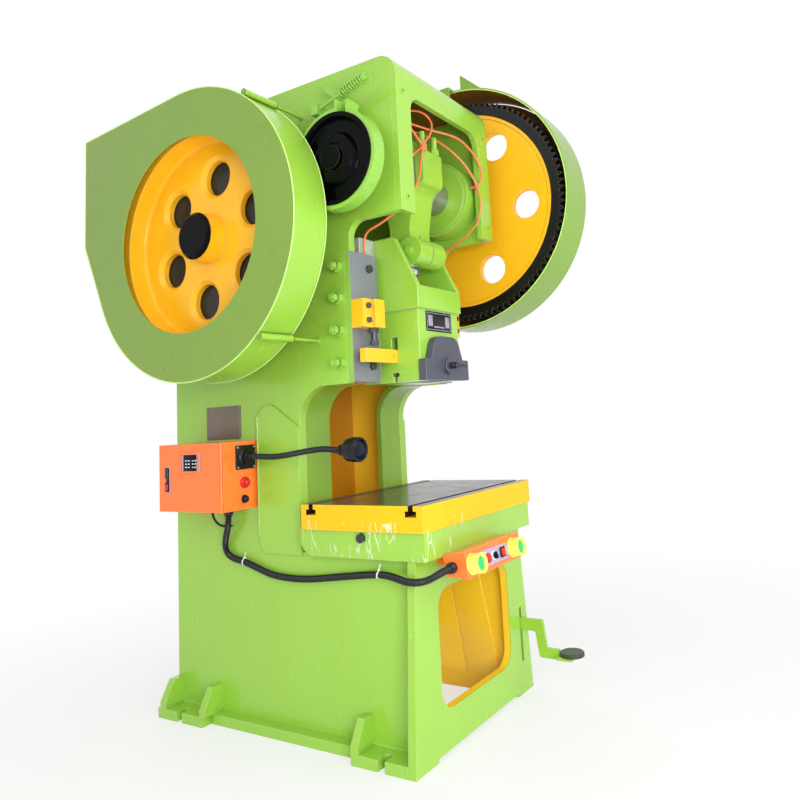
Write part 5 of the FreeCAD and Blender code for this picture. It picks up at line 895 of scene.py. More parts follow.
class Forge:
    """Collects closed shapes in millimetres and makes one object of them."""

    TIP = 1e-6
    SAME_POINT = 1e-4

    def __init__(self, name: str) -> None:
        """Starts with nothing.

        Args:
            name: The piece's name.
        """
        self.name = name
        self.bm = bmesh.new()
        self.finishes: list[Shop] = []

    def _index(self, finish: Shop) -> int:
        """Finds the slot number of a finish on this piece, or gives it one."""
        if finish not in self.finishes:
            self.finishes.append(finish)
        return self.finishes.index(finish)

    def lathe(self, finish: Shop, profile: Sequence[Pair], centre: Sequence[float],
              direction: Sequence[float], steps: int = 48) -> None:
        """Turns a profile about a line.

        Args:
            finish: The finish of its faces.
            profile: Pairs of height along the line and radius, from one end to the other.
            centre: The point where the height is nought.
            direction: The line's direction.
            steps: Faces round the line.
        """
        place = Matrix.Translation(Vector(centre)) @ turn_to(direction)
        slot = self._index(finish)
        rings = []
        for height, radius in profile:
            if radius < self.TIP:
                rings.append([self.bm.verts.new(place @ Vector((0, 0, height)))])
                continue
            turns = [math.tau * step / steps for step in range(steps)]
            rings.append([self.bm.verts.new(place @ Vector((radius * math.cos(turn), radius * math.sin(turn), height)))
                          for turn in turns])
        made = []
        for first, second in zip(rings, rings[1:]):
            for step in range(steps):
                after = (step + 1) % steps
                corners = [first[step % len(first)], first[after % len(first)],
                           second[after % len(second)], second[step % len(second)]]
                corners = list(dict.fromkeys(corners))
                if len(corners) > 2:
                    made.append(self.bm.faces.new(corners))
        closed = rings[0][0] is rings[-1][0]
        for ring in (rings[0], rings[-1]):
            if len(ring) > 2 and not closed:
                made.append(self.bm.faces.new(ring))
        for face in made:
            face.material_index = slot

    def tube_ring(self, finish: Shop, outline: Sequence[Pair], centre: Sequence[float],
                  direction: Sequence[float], steps: int = 48) -> None:
        """Turns a closed outline, which makes a ring with a bore.

        Args:
            finish: The finish of its faces.
            outline: Pairs of height along the line and radius, all the way round the section.
            centre: The point where the height is nought.
            direction: The line's direction.
            steps: Faces round the line.
        """
        place = Matrix.Translation(Vector(centre)) @ turn_to(direction)
        slot = self._index(finish)
        rings = []
        for step in range(steps):
            angle = math.tau * step / steps
            rings.append([self.bm.verts.new(place @ Vector((r * math.cos(angle), r * math.sin(angle), h)))
                          for h, r in outline])
        count = len(outline)
        for step in range(steps):
            first, second = rings[step], rings[(step + 1) % steps]
            for k in range(count):
                n = (k + 1) % count
                self.bm.faces.new((first[k], first[n], second[n], second[k])).material_index = slot

    def block(self, finish: Shop, low: Sequence[float], high: Sequence[float], round_by: float = 1.0,
              place: Optional[Matrix] = None, segments: int = 2) -> None:
        """Adds a box with rounded edges.

        Args:
            finish: The finish of its faces.
            low, high: Two corners.
            round_by: The edges' radius.
            place: Where the box goes, if its corners are in another frame.
            segments: Faces across each rounded edge.
        """
        slot = self._index(finish)
        lo, hi = Vector(low), Vector(high)
        made = bmesh.ops.create_cube(self.bm, size=1.0)["verts"]
        for vert in made:
            vert.co = Vector(((lo[i] + hi[i]) / 2 + vert.co[i] * (hi[i] - lo[i]) for i in range(3)))
        edges = list(dict.fromkeys(edge for vert in made for edge in vert.link_edges))
        faces = set()
        if round_by:
            done = bmesh.ops.bevel(self.bm, geom=edges, offset=round_by, segments=segments, profile=0.5,
                                   affect="EDGES", clamp_overlap=True)
            made = list(dict.fromkeys(vert for face in done["faces"] for vert in face.verts))
        for vert in made:
            faces.update(vert.link_faces)
            if place is not None:
                vert.co = place @ vert.co
        for face in faces:
            face.material_index = slot

    def prism(self, finish: Shop, outline: Sequence[Pair], thick: float, place: Matrix,
              round_by: float = 0.6) -> None:
        """Raises a flat outline to a plate with softened rims.

        Args:
            finish: The finish of its faces.
            outline: Points in the plate's own plane.
            thick: How far it rises along the plane's normal.
            place: The frame of the plane.
            round_by: The rims' radius.
        """
        slot = self._index(finish)
        base, top = ([self.bm.verts.new(Vector((x, y, z))) for x, y in outline] for z in (0.0, thick))
        self.bm.faces.new(base)
        self.bm.faces.new(top)
        for k in range(len(outline)):
            self.bm.faces.new((base[k - 1], base[k], top[k], top[k - 1]))
        every = base + top
        if round_by:
            rims = dict.fromkeys(e for v in top for e in v.link_edges if e.other_vert(v) in top)
            done = bmesh.ops.bevel(self.bm, geom=list(rims), offset=round_by, segments=2, profile=0.5,
                                   affect="EDGES", clamp_overlap=True)
            rounded = [v for face in done["faces"] for v in face.verts]
            every = dict.fromkeys([v for v in every if v.is_valid] + rounded)
        faces = set()
        for vert in every:
            vert.co = place @ vert.co
            faces.update(vert.link_faces)
        for item in faces:
            item.material_index = slot

    def finish(self, body: Body, slot: Slot, replaces: Iterable[str] = (), smooth: float = 35.0) -> bpy.types.Object:
        """Args:
            body: The body that it rides on.
            slot: The record's slot of its main finish; not used.
            replaces: Solids that it stands for.
            smooth: The angle in degrees over which an edge stays sharp.

        Returns:
            The finished object.
        """
        bmesh.ops.remove_doubles(self.bm, verts=self.bm.verts, dist=self.SAME_POINT)
        bmesh.ops.recalc_face_normals(self.bm, faces=self.bm.faces)
        bmesh.ops.scale(self.bm, vec=(MM, MM, MM), verts=self.bm.verts)
        mesh = bpy.data.meshes.new(self.name)
        self.bm.to_mesh(mesh)
        self.bm.free()
        for finish in self.finishes:
            mesh.materials.append(finish.made)
        return install(bpy.data.objects.new(self.name, mesh), body, replaces, smooth)


def install(piece: bpy.types.Object, body: Body, replaces: Iterable[str] = (),
            smooth: float = 35.0) -> bpy.types.Object:
    """Args:
        piece: The mesh object, in place.
        body: The body that it rides on.
        replaces: Solids that it stands for.
        smooth: The angle in degrees over which an edge stays sharp.

    Returns:
        The piece.
    """
    link(piece)
    piece.data.shade_smooth()
    piece.data.set_sharp_from_angle(angle=math.radians(smooth))
    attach(piece, body.value)
    names = list(replaces)
    if names:
        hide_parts(*names)
    LOG.info("%s on %s, %d faces", piece.name, body.value, len(piece.data.polygons))
    return piece


# -------- repeated forms


class PatternTree:
    """A Geometry Nodes tree with named inputs. Each run of it on a mesh gives a plain mesh."""

    title = ""
    takes: dict[str, tuple[str, Any]] = {}

    def __init__(self) -> None:
        """Builds the tree."""
        self.tree = bpy.data.node_groups.new(self.title, "GeometryNodeTree")
        face = self.tree.interface
        face.new_socket(name="Geometry", in_out="INPUT", socket_type="NodeSocketGeometry")
        self.keys = {}
        for name, (kind, start) in self.takes.items():
            socket = face.new_socket(name=name, in_out="INPUT", socket_type=kind)
            if start is not None:
                socket.default_value = start
            self.keys[name] = socket.identifier
        face.new_socket(name="Geometry", in_out="OUTPUT", socket_type="NodeSocketGeometry")
        wires = Wiring(self.tree)
        entry = wires.add("NodeGroupInput").outputs
        out = wires.add("NodeGroupOutput")
        shape = self.fill(wires, entry)
        real = wires.add("GeometryNodeRealizeInstances", {"Geometry": shape}).outputs[0]
        set_finish = wires.add("GeometryNodeSetMaterial", {"Geometry": real, "Material": entry["Finish"]}).outputs[0]
        self.tree.links.new(set_finish, out.inputs[0])

    def fill(self, wires: Wiring, given: Any) -> Socket:
        """Builds the pattern and gives its geometry."""
        raise NotImplementedError

    def run(self, name: str, base: bpy.types.Mesh, finish: Shop, **values: Any) -> bpy.types.Object:
        """Runs the tree on a mesh and keeps the plain result.

        Args:
            name: The piece's name.
            base: The mesh that the pattern follows.
            finish: The finish of the result.
            values: The tree's inputs by name.

        Returns:
            An object that holds a plain mesh.
        """
        carrier = bpy.data.objects.new(name + "_carrier", base)
        link(carrier)
        modifier = carrier.modifiers.new("pattern", "NODES")
        modifier.node_group = self.tree
        modifier[self.keys["Finish"]] = finish.made
        for key, value in values.items():
            modifier[self.keys[key]] = value
        graph = bpy.context.evaluated_depsgraph_get()
        mesh = bpy.data.meshes.new_from_object(carrier.evaluated_get(graph))
        mesh.name = name
        bpy.data.objects.remove(carrier)
        return bpy.data.objects.new(name, mesh)


class RibbedHose(PatternTree):
    """A hose along a line of edges, with round ribs at a steady pitch."""

    title = "ribbed_hose"
    takes = {
        "Radius": ("NodeSocketFloat", 0.0125),
        "Pitch": ("NodeSocketFloat", 0.005),
        "Rib": ("NodeSocketFloat", 0.0008),
        "Sides": ("NodeSocketInt", 20),
        "Finish": ("NodeSocketMaterial", None),
    }

    def fill(self, wires: Wiring, given: Any) -> Socket:
        """Sweeps a circle and lifts its skin by a wave of the length.

        Args:
            wires: The tree's wiring.
            given: The tree's inputs, by name.

        Returns:
            The geometry of the pattern.
        """
        line = wires.add("GeometryNodeMeshToCurve", {"Mesh": given["Geometry"]}).outputs[0]
        step = wires.math("MULTIPLY", given["Pitch"], 0.25)
        even = wires.add("GeometryNodeResampleCurve", {"Curve": line, "Length": step}, mode="LENGTH").outputs[0]
        run = wires.add("GeometryNodeSplineParameter").outputs["Length"]
        marked = wires.add("GeometryNodeStoreNamedAttribute", {"Geometry": even, "Name": "run", "Value": run},
                           data_type="FLOAT", domain="POINT").outputs[0]
        ring = wires.add("GeometryNodeCurvePrimitiveCircle", {"Resolution": given["Sides"], "Radius": given["Radius"]})
        skin = wires.add("GeometryNodeCurveToMesh", {"Curve": marked, "Profile Curve": ring.outputs[0],
                                                     "Fill Caps": True}).outputs[0]
        along = wires.add("GeometryNodeInputNamedAttribute", {"Name": "run"}, data_type="FLOAT").outputs[0]
        turn = wires.math("MULTIPLY", wires.math("DIVIDE", along, given["Pitch"]), math.tau)
        lift = wires.math("MULTIPLY", wires.math("SUBTRACT", wires.math("COSINE", turn), 1.0), given["Rib"])
        out = wires.add("GeometryNodeInputNormal").outputs[0]
        offset = wires.add("ShaderNodeVectorMath", {0: out}, operation="SCALE")
        self.tree.links.new(lift, offset.inputs["Scale"])
        return wires.add("GeometryNodeSetPosition", {"Geometry": skin, "Offset": offset.outputs[0]}).outputs[0]


class HeadsOnPoints(PatternTree):
    """A small turned head with a chamfer on every point, which stands along its own direction."""

    CAP_SHARE = 0.35
    CAP_TOP = 0.72

    title = "heads_on_points"
    takes = {
        "Radius": ("NodeSocketFloat", 0.004),
        "Height": ("NodeSocketFloat", 0.003),
        "Sides": ("NodeSocketInt", 20),
        "Finish": ("NodeSocketMaterial", None),
    }

    def fill(self, wires: Wiring, given: Any) -> Socket:
        """Stacks a cylinder and a cone, and places copies.

        Args:
            wires: The tree's wiring.
            given: The tree's inputs, by name.

        Returns:
            The geometry of the pattern.
        """
        half = wires.math("MULTIPLY", given["Height"], 0.5)
        body = wires.add("GeometryNodeMeshCylinder", {"Vertices": given["Sides"], "Radius": given["Radius"],
                                                      "Depth": given["Height"]}).outputs[0]
        cap_height = wires.math("MULTIPLY", given["Height"], self.CAP_SHARE)
        cap = wires.add("GeometryNodeMeshCone", {"Vertices": given["Sides"], "Radius Bottom": given["Radius"],
                                                 "Radius Top": wires.math("MULTIPLY", given["Radius"], self.CAP_TOP),
                                                 "Depth": cap_height}).outputs[0]
        low = wires.add("ShaderNodeCombineXYZ", {"Z": half}).outputs[0]
        body = wires.add("GeometryNodeTransform", {"Geometry": body, "Translation": low}).outputs[0]
        top = wires.add("ShaderNodeCombineXYZ", {"Z": given["Height"]}).outputs[0]
        cap = wires.add("GeometryNodeTransform", {"Geometry": cap, "Translation": top}).outputs[0]
        head = wires.add("GeometryNodeJoinGeometry")
        for part in (body, cap):
            self.tree.links.new(part, head.inputs[0])
        away = wires.add("GeometryNodeInputNamedAttribute", {"Name": "away"}, data_type="FLOAT_VECTOR").outputs[0]
        turn = wires.add("FunctionNodeAlignRotationToVector", {"Vector": away}, axis="Z").outputs[0]
        return wires.add("GeometryNodeInstanceOnPoints", {"Points": given["Geometry"], "Instance": head.outputs[0],
                                                          "Rotation": turn}).outputs[0]


class BarsOnPoints(PatternTree):
    """A flat bar on every point, its height along one direction and its length along another."""

    title = "bars_on_points"
    takes = {
        "Size": ("NodeSocketVector", (0.3, 0.004, 0.012)),
        "Finish": ("NodeSocketMaterial", None),
    }

    def fill(self, wires: Wiring, given: Any) -> Socket:
        """Places copies of a box, turned twice.

        Args:
            wires: The tree's wiring.
            given: The tree's inputs, by name.

        Returns:
            The geometry of the pattern.
        """
        bar = wires.add("GeometryNodeMeshCube", {"Size": given["Size"]}).outputs[0]
        away = wires.add("GeometryNodeInputNamedAttribute", {"Name": "away"}, data_type="FLOAT_VECTOR").outputs[0]
        along = wires.add("GeometryNodeInputNamedAttribute", {"Name": "along"}, data_type="FLOAT_VECTOR").outputs[0]
        up = wires.add("FunctionNodeAlignRotationToVector", {"Vector": away}, axis="Z").outputs[0]
        turn = wires.add("FunctionNodeAlignRotationToVector", {"Rotation": up, "Vector": along}, axis="X",
                         pivot_axis="Z").outputs[0]
        return wires.add("GeometryNodeInstanceOnPoints", {"Points": given["Geometry"], "Instance": bar,
                                                          "Rotation": turn}).outputs[0]


class WeldBead(PatternTree):
    """Overlapping scales of a fillet weld along lines of edges."""

    title = "weld_bead"
    takes = {
        "Width": ("NodeSocketFloat", 0.006),
        "Pitch": ("NodeSocketFloat", 0.006),
        "Seed": ("NodeSocketInt", 7),
        "Finish": ("NodeSocketMaterial", None),
    }

    def fill(self, wires: Wiring, given: Any) -> Socket:
        """Places flattened drops that differ a little.

        Args:
            wires: The tree's wiring.
            given: The tree's inputs, by name.

        Returns:
            The geometry of the pattern.
        """
        line = wires.add("GeometryNodeMeshToCurve", {"Mesh": given["Geometry"]}).outputs[0]
        keys = {"Curve": line, "Length": given["Pitch"]}
        even = wires.add("GeometryNodeResampleCurve", keys, mode="LENGTH").outputs[0]
        drop = wires.add("GeometryNodeMeshUVSphere", {"Segments": 8, "Rings": 5, "Radius": given["Width"]}).outputs[0]
        size = wires.add("FunctionNodeRandomValue", {"Min": (0.8, 0.8, 0.8), "Max": (1.15, 1.15, 1.1),
                                                     "Seed": given["Seed"]}, data_type="FLOAT_VECTOR").outputs[0]
        return wires.add("GeometryNodeInstanceOnPoints", {"Points": even, "Instance": drop, "Scale": size}).outputs[0]


class Patterns:
    """The four pattern trees, each built once."""

    def __init__(self) -> None:
        """Builds the trees."""
        self.hose = RibbedHose()
        self.heads = HeadsOnPoints()
        self.bars = BarsOnPoints()
        self.weld = WeldBead()


def smooth_line(name: str, route: Sequence[Point], fineness: int = 10) -> bpy.types.Mesh:
    """Draws a smooth line that a few control points hold.

    Args:
        name: The mesh's name.
        route: Control points in millimetres.
        fineness: Steps between two points.

    Returns:
        A mesh of edges, in metres.
    """
    curve = bpy.data.curves.new(name, "CURVE")
    curve.dimensions = "3D"
    spline = curve.splines.new("NURBS")
    spline.points.add(len(route) - 1)
    for point, place in zip(spline.points, route):
        point.co = (*(v * MM for v in place), 1.0)
    spline.order_u = 3
    spline.use_endpoint_u = True
    curve.resolution_u = fineness
    holder = bpy.data.objects.new(name, curve)
    link(holder)
    graph = bpy.context.evaluated_depsgraph_get()
    mesh = bpy.data.meshes.new_from_object(holder.evaluated_get(graph))
    bpy.data.objects.remove(holder)
    return mesh


def straight_lines(name: str, lines: Sequence[Sequence[Point]]) -> bpy.types.Mesh:
    """Makes a mesh of edges.

    Args:
        name: The mesh's name.
        lines: Lists of points in millimetres.

    Returns:
        The mesh, in metres.
    """
    verts: list[Point] = []
    edges: list[tuple[int, int]] = []
    for line in lines:
        start = len(verts)
        verts += [tuple(v * MM for v in point) for point in line]
        edges += [(start + k, start + k + 1) for k in range(len(line) - 1)]
    mesh = bpy.data.meshes.new(name)
    mesh.from_pydata(verts, edges, [])
    return mesh


def marked_points(name: str, places: Sequence[Point], away: Sequence[Point],
                  along: Optional[Sequence[Point]] = None) -> bpy.types.Mesh:
    """Makes a mesh of loose points with directions.

    Args:
        name: The mesh's name.
        places: The points, in millimetres.
        away: The direction in which each copy stands.
        along: The direction in which each copy lies.

    Returns:
        The mesh, in metres.
    """
    mesh = bpy.data.meshes.new(name)
    mesh.from_pydata([tuple(v * MM for v in place) for place in places], [], [])
    for key, values in (("away", away), ("along", along)):
        if values is None:
            continue
        layer = mesh.attributes.new(key, "FLOAT_VECTOR", "POINT")
        for item, value in zip(layer.data, values):
            item.vector = value
    return mesh


# -------- carried-over solids


@dataclass(frozen=True)
class PaintShop:
    """Gives every carried-over solid its finish."""

    finishes: tuple[tuple[Shop, tuple[str, ...]], ...] = (
        (Shop.GREEN_WALLS, ("side_plate_left", "side_plate_right")),
        (Shop.GREEN_SHADE, ("throat_flanges",)),
        (Shop.GREEN_PLATE, ("rear_plates", "foot_flanges", "throat_doublers", "motor_bracket", "pedal_lever")),
        (Shop.GREEN_BASE_FRONT, ("base_front_plate",)),
        (Shop.GREEN_HEAD, ("head_cover",)),
        (Shop.GREEN_BED, ("bed_support",)),
        (Shop.GREEN_GUARD, ("flywheel_guard",)),
        (Shop.GREEN_GEAR_GUARD, ("gear_guard",)),
        (Shop.GREEN_CASTING, ("bearing_housings", "shaft_bearings", "conrod", "conrod_cap", "motor")),
        (Shop.GREEN_RAM, ("ram",)),
        (Shop.FRAME_HARDWARE, ("frame_screws",)),
        (Shop.GREEN_HARDWARE, ("brake_band", "brake_lever", "brake_rod", "brake_spring")),
        (Shop.ROD_HARDWARE, ("conrod_fasteners",)),
        (Shop.STUD_HARDWARE, ("guide_studs",)),
        (Shop.AMBER_SHADE, ("throat_back_plate",)),
        (Shop.AMBER_PLATE, ("stop_brackets", "knock_out_bar")),
        (Shop.AMBER_WHEEL, ("flywheel",)),
        (Shop.AMBER_GEAR, ("drive_gear",)),
        (Shop.AMBER_TABLE, ("bolster_table",)),
        (Shop.ORANGE_BOX, ("electrical_box", "box_door", "control_box")),
        (Shop.BLACK_DRUM, ("brake_drum", "flywheel_cap")),
        (Shop.CRANK_STEEL, ("crankshaft",)),
        (Shop.TURNED_STEEL, ("gear_end_cap", "pinion_shaft", "motor_pulley", "adjusting_screw")),
        (Shop.GIB_STEEL, ("gibs",)),
        (Shop.GROUND_STEEL, ("guide_bars",)),
        (Shop.DARK_STEEL, ("ram_screws",)),
        (Shop.CLAMP_CASTING, ("die_clamp",)),
        (Shop.BELT, ("drive_belts",)),
        (Shop.BLACK_MOULDING, ("lamp_head",)),
        (Shop.PAD_RUBBER, ("pedal_pad",)),
        (Shop.RED_MOULDING, ("box_button_red",)),
        (Shop.BLACK_MOULDING, ("box_button_black",)),
        (Shop.YELLOW_MOULDING, ("button_shrouds",)),
    )

    def dress(self, nodes: dict[str, bpy.types.Object]) -> None:
        """Puts the finishes into the solids' material slots.

        Args:
            nodes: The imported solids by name.
        """
        for finish, names in self.finishes:
            for name in names:
                piece = nodes[name]
                if not piece.material_slots:
                    piece.data.materials.append(finish.made)
                for slot in piece.material_slots:
                    slot.material = finish.made
                LOG.info("%s is %s", name, finish.name.lower())


# -------- sub-assemblies


@dataclass(frozen=True)
class ConduitRun:
    """The ribbed conduit along the left wall, its two ties, and the short lead beside it."""

    route: tuple[Point, ...] = (
        (-378, 682, 811), (-378, 682, 781), (-373, 694, 745), (-363, 716, 712), (-357, 730, 676), (-355, 720, 645),
        (-354, 686, 628), (-354, 630, 620), (-355, 567, 604), (-354, 490, 580), (-354, 415, 571), (-355, 325, 570),
        (-354, 235, 577), (-355, 150, 588), (-356, 66, 598), (-358, -10, 607), (-366, -80, 612), (-384, -140, 609),
        (-404, -190, 605), (-414, -235, 606), (-408, -276, 612), (-385, -300, 624), (-348, -311, 634),
        (-307, -311, 634),
    )
    lead: tuple[Point, ...] = (
        (-400, 749, 829), (-400, 749, 806), (-398, 742, 784), (-388, 727, 762), (-364, 710, 752), (-338, 710, 752),
    )
    radius: float = 12.5
    lead_radius: float = 4.5
    ties: tuple[Point, ...] = ((-354, 622, 618), (-362, -50, 610))
    tie_width: float = 5.2
    tie_lean: float = 0.35
    gland_ends: tuple[tuple[Point, Point], ...] = (((-378, 682, 826), (0, 0, -1)), ((-290, -311, 634), (-1, 0, 0)))

    def build(self, patterns: Patterns) -> None:
        """Makes the hose, the lead, the ties and the glands.

        Args:
            patterns: The shared pattern trees.
        """
        line = smooth_line("conduit_line", self.route)
        hose = patterns.hose.run("conduit_hose", line, Shop.HOSE, Radius=self.radius * MM, Pitch=0.0056, Rib=0.0009)
        install(hose, Body.FRAME, ("conduit",))
        thin = smooth_line("lead_line", self.lead)
        lead = patterns.hose.run("conduit_lead", thin, Shop.BELT, Radius=self.lead_radius * MM, Rib=0.0, Sides=12)
        install(lead, Body.FRAME)
        ties = Forge("conduit_ties")
        for place in self.ties:
            x, y, z = place
            inner, outer, half = self.radius + 0.1, self.radius + 1.7, self.tie_width / 2
            outline = [(-half, inner), (-half, outer), (half, outer), (half, inner)]
            ties.tube_ring(Shop.WHITE_MOULDING, outline, place, (0, 1, 0.12), 28)
            ties.block(Shop.WHITE_MOULDING, (x - 5, y - 3.4, z + outer - 1), (x + 3, y + 3.4, z + outer + 4), 0.8)
            tail = Matrix.Translation((x - 1, y, z + outer + 2)) @ Matrix.Rotation(self.tie_lean, 4, "X")
            ties.block(Shop.WHITE_MOULDING, (-0.7, -2.2, 0), (0.7, 2.2, 22), 0.3, tail)
            ties.block(Shop.ZINC, (x + outer - 4, y - 5, z - 4), (-WALL_X - 0.2, y + 5, z + 4), 1.0)
        ties.finish(Body.FRAME, Slot.RUBBER)
        glands = Forge("conduit_glands")
        cup = [(3, 12.9), (3, 18.6), (7, 19.4), (17, 19.4), (20, 17.2), (27, 16.4), (29, 15), (29, 12.9)]
        for place, direction in self.gland_ends:
            glands.tube_ring(Shop.HOSE, cup, place, direction, 36)
        glands.finish(Body.FRAME, Slot.RUBBER)


@dataclass(frozen=True)
class WorkLamp:
    """The gooseneck arm, its socket flange on the box, and the lamp's collar, rim and lens."""

    x: float = -400
    z: float = 1028
    face_y: float = 556
    arm: tuple[Point, ...] = (
        (-400, 526, 1028), (-400, 474, 1028), (-400, 392, 1024), (-400, 300, 1034), (-400, 217, 1044),
        (-400, 142, 1049), (-400, 94, 1042), (-400, 56, 1042),
    )
    radius: float = 11.0
    head_rise: float = 14.0

    def build(self, patterns: Patterns) -> None:
        """Makes the ribbed arm, the flange with its screws, the collar, the rim and the lens.

        Args:
            patterns: The shared pattern trees.
        """
        line = smooth_line("lamp_arm_line", self.arm)
        arm = patterns.hose.run("lamp_gooseneck", line, Shop.HOSE, Radius=self.radius * MM, Pitch=0.0046, Rib=0.0008)
        install(arm, Body.FRAME, ("lamp_arm",))
        flange = Forge("lamp_socket")
        flange.block(Shop.BLACK_MOULDING, (self.x - 50, self.face_y - 7, self.z - 46),
                     (self.x + 45, self.face_y - 0.3, self.z + 46), 2.5)
        boss = [(0, 0), (0, 38), (4, 38.5), (7, 36), (9, 29), (24, 28.4), (27, 26), (27, 20), (31, 18.5), (36, 18),
                (38, 16), (38, 11.2), (40, 0)]
        flange.lathe(Shop.BLACK_MOULDING, boss, (self.x, self.face_y - 5, self.z), TO_FRONT, 56)
        flange.finish(Body.FRAME, Slot.BLACK_MOULDING)
        spots = [(self.x + dx, self.face_y - 7, self.z + dz) for dx in (-42, 37) for dz in (-38, 38)]
        base = marked_points("lamp_socket_points", spots, [TO_FRONT] * 4)
        heads = patterns.heads.run("lamp_socket_screws", base, Shop.ZINC, Radius=0.0046, Height=0.0024)
        install(heads, Body.FRAME)
        head = Forge("lamp_details")
        collar = [(0, 11.3), (0, 19), (3, 20), (14, 20), (17, 17), (24, 15), (24, 11.3)]
        head.tube_ring(Shop.BLACK_MOULDING, collar, (self.x, 54, self.z + self.head_rise), (0, 1, 0), 40)
        rim = [(0, 36.2), (0, 42.5), (3, 43.8), (7, 43.6), (9, 42.6), (9, 36.2)]
        head.tube_ring(Shop.BLACK_MOULDING, rim, (self.x, -11.5, self.z + self.head_rise), TO_FRONT, 56)
        lens = [(0, 0), (0, 35), (4, 34.5), (8, 30), (11, 21), (12.4, 10), (12.8, 0)]
        head.lathe(Shop.LAMP_LENS, lens, (self.x, -8, self.z + self.head_rise), TO_FRONT, 48)
        head.finish(Body.FRAME, Slot.BLACK_MOULDING)


@dataclass(frozen=True)
class ElectricalBox:
    """The door's window, latch and hinge, and the two push buttons with their collars.

    A row of the latch gives its finish, how far its outside and its inside stand off the door, half its width,
    its foot, its top and its edges' radius.
    """

    door_x: float = -511.3
    window: tuple[float, float, float, float] = (684, 774, 985, 1050)
    marks_y: tuple[Pair, ...] = ((14, 24), (30, 38), (52, 62), (68, 78))
    marks_z: tuple[float, ...] = (14, 26.5, 39)
    latch_y: float = 873
    latch: tuple[tuple[Shop, float, float, float, float, float, float], ...] = (
        (Shop.LILAC_STRIP, 3, -0.2, 15, 903, 1003, 1.4),
        (Shop.BLACK_MOULDING, 6, 2, 12, 906, 1000, 1.6),
        (Shop.DARK_STEEL, 9, 5, 7, 944, 995, 2.0),
        (Shop.RED_MOULDING, 8, 5, 6, 912, 936, 1.4),
    )
    hinge: Pair = (-513.3, 561)
    hinge_z: tuple[float, ...] = (862, 1040)
    face_y: float = 556.0
    buttons: tuple[tuple[float, float, Body, Shop, Slot, str], ...] = (
        (-406, 931, Body.RED_BUTTON, Shop.RED_MOULDING, Slot.RED_MOULDING, "box_button_red"),
        (-414, 869, Body.BLACK_BUTTON, Shop.BLACK_MOULDING, Slot.BLACK_MOULDING, "box_button_black"),
    )

    def build(self) -> None:
        """Makes the door's pieces and the buttons."""
        y0, y1, z0, z1 = self.window
        door = Forge("box_window")
        x = self.door_x
        door.block(Shop.DARK_GLASS, (x - 4.6, y0 + 0.5, z0 + 0.5), (x - 2.2, y1 - 0.5, z1 - 0.5), 1.0)
        rim = ((y0 - 4, y1 + 4, z0 - 4, z0 + 0.6), (y0 - 4, y1 + 4, z1 - 0.6, z1 + 4),
               (y0 - 4, y0 + 0.6, z0, z1), (y1 - 0.6, y1 + 4, z0, z1))
        for a, b, c, d in rim:
            door.block(Shop.LILAC_STRIP, (x - 5.8, a, c), (x - 0.4, b, d), 1.0)
        for row in self.marks_z:
            for left, right in self.marks_y:
                low, high = (x - 5.0, y0 + left, z0 + row), (x - 4.4, y0 + right, z0 + row + 4)
                door.block(Shop.WHITE_MOULDING, low, high, 0.2)
        door.finish(Body.DOOR, Slot.ORANGE)
        latch = Forge("box_latch")
        for finish, outer, inner, half, low, high, round_by in self.latch:
            latch.block(finish, (x - outer, self.latch_y - half, low), (x - inner, self.latch_y + half, high), round_by)
        latch.finish(Body.DOOR, Slot.BLACK_MOULDING)
        hinge = Forge("box_hinge_knuckles")
        knuckle = [(0, 0), (0, 5.6), (1, 6.4), (33, 6.4), (34, 5.6), (34, 0)]
        for z in self.hinge_z:
            hinge.lathe(Shop.ORANGE_BOX, knuckle, (*self.hinge, z), (0, 0, 1), 24)
        hinge.finish(Body.DOOR, Slot.ORANGE)
        collars = Forge("box_button_collars")
        for x, z, body, finish, slot, node in self.buttons:
            wide = 21.5 if finish is Shop.RED_MOULDING else 17.5
            ring = [(0, 13.6), (0, wide), (4, wide), (8, wide - 1.4), (12, wide - 4), (13, 15), (13, 13.6)]
            collars.tube_ring(finish, ring, (x, self.face_y + 0.2, z), TO_FRONT, 40)
            cap = Forge(node + "_cap")
            dome = [(0, 0), (0, 12.9), (17, 12.9), (20, 12.2), (22.5, 9.6), (24, 5), (24.4, 0)]
            cap.lathe(finish, dome, (x, self.face_y, z), TO_FRONT, 36)
            cap.finish(body, slot, (node,))
        collars.finish(Body.FRAME, Slot.BLACK_MOULDING)


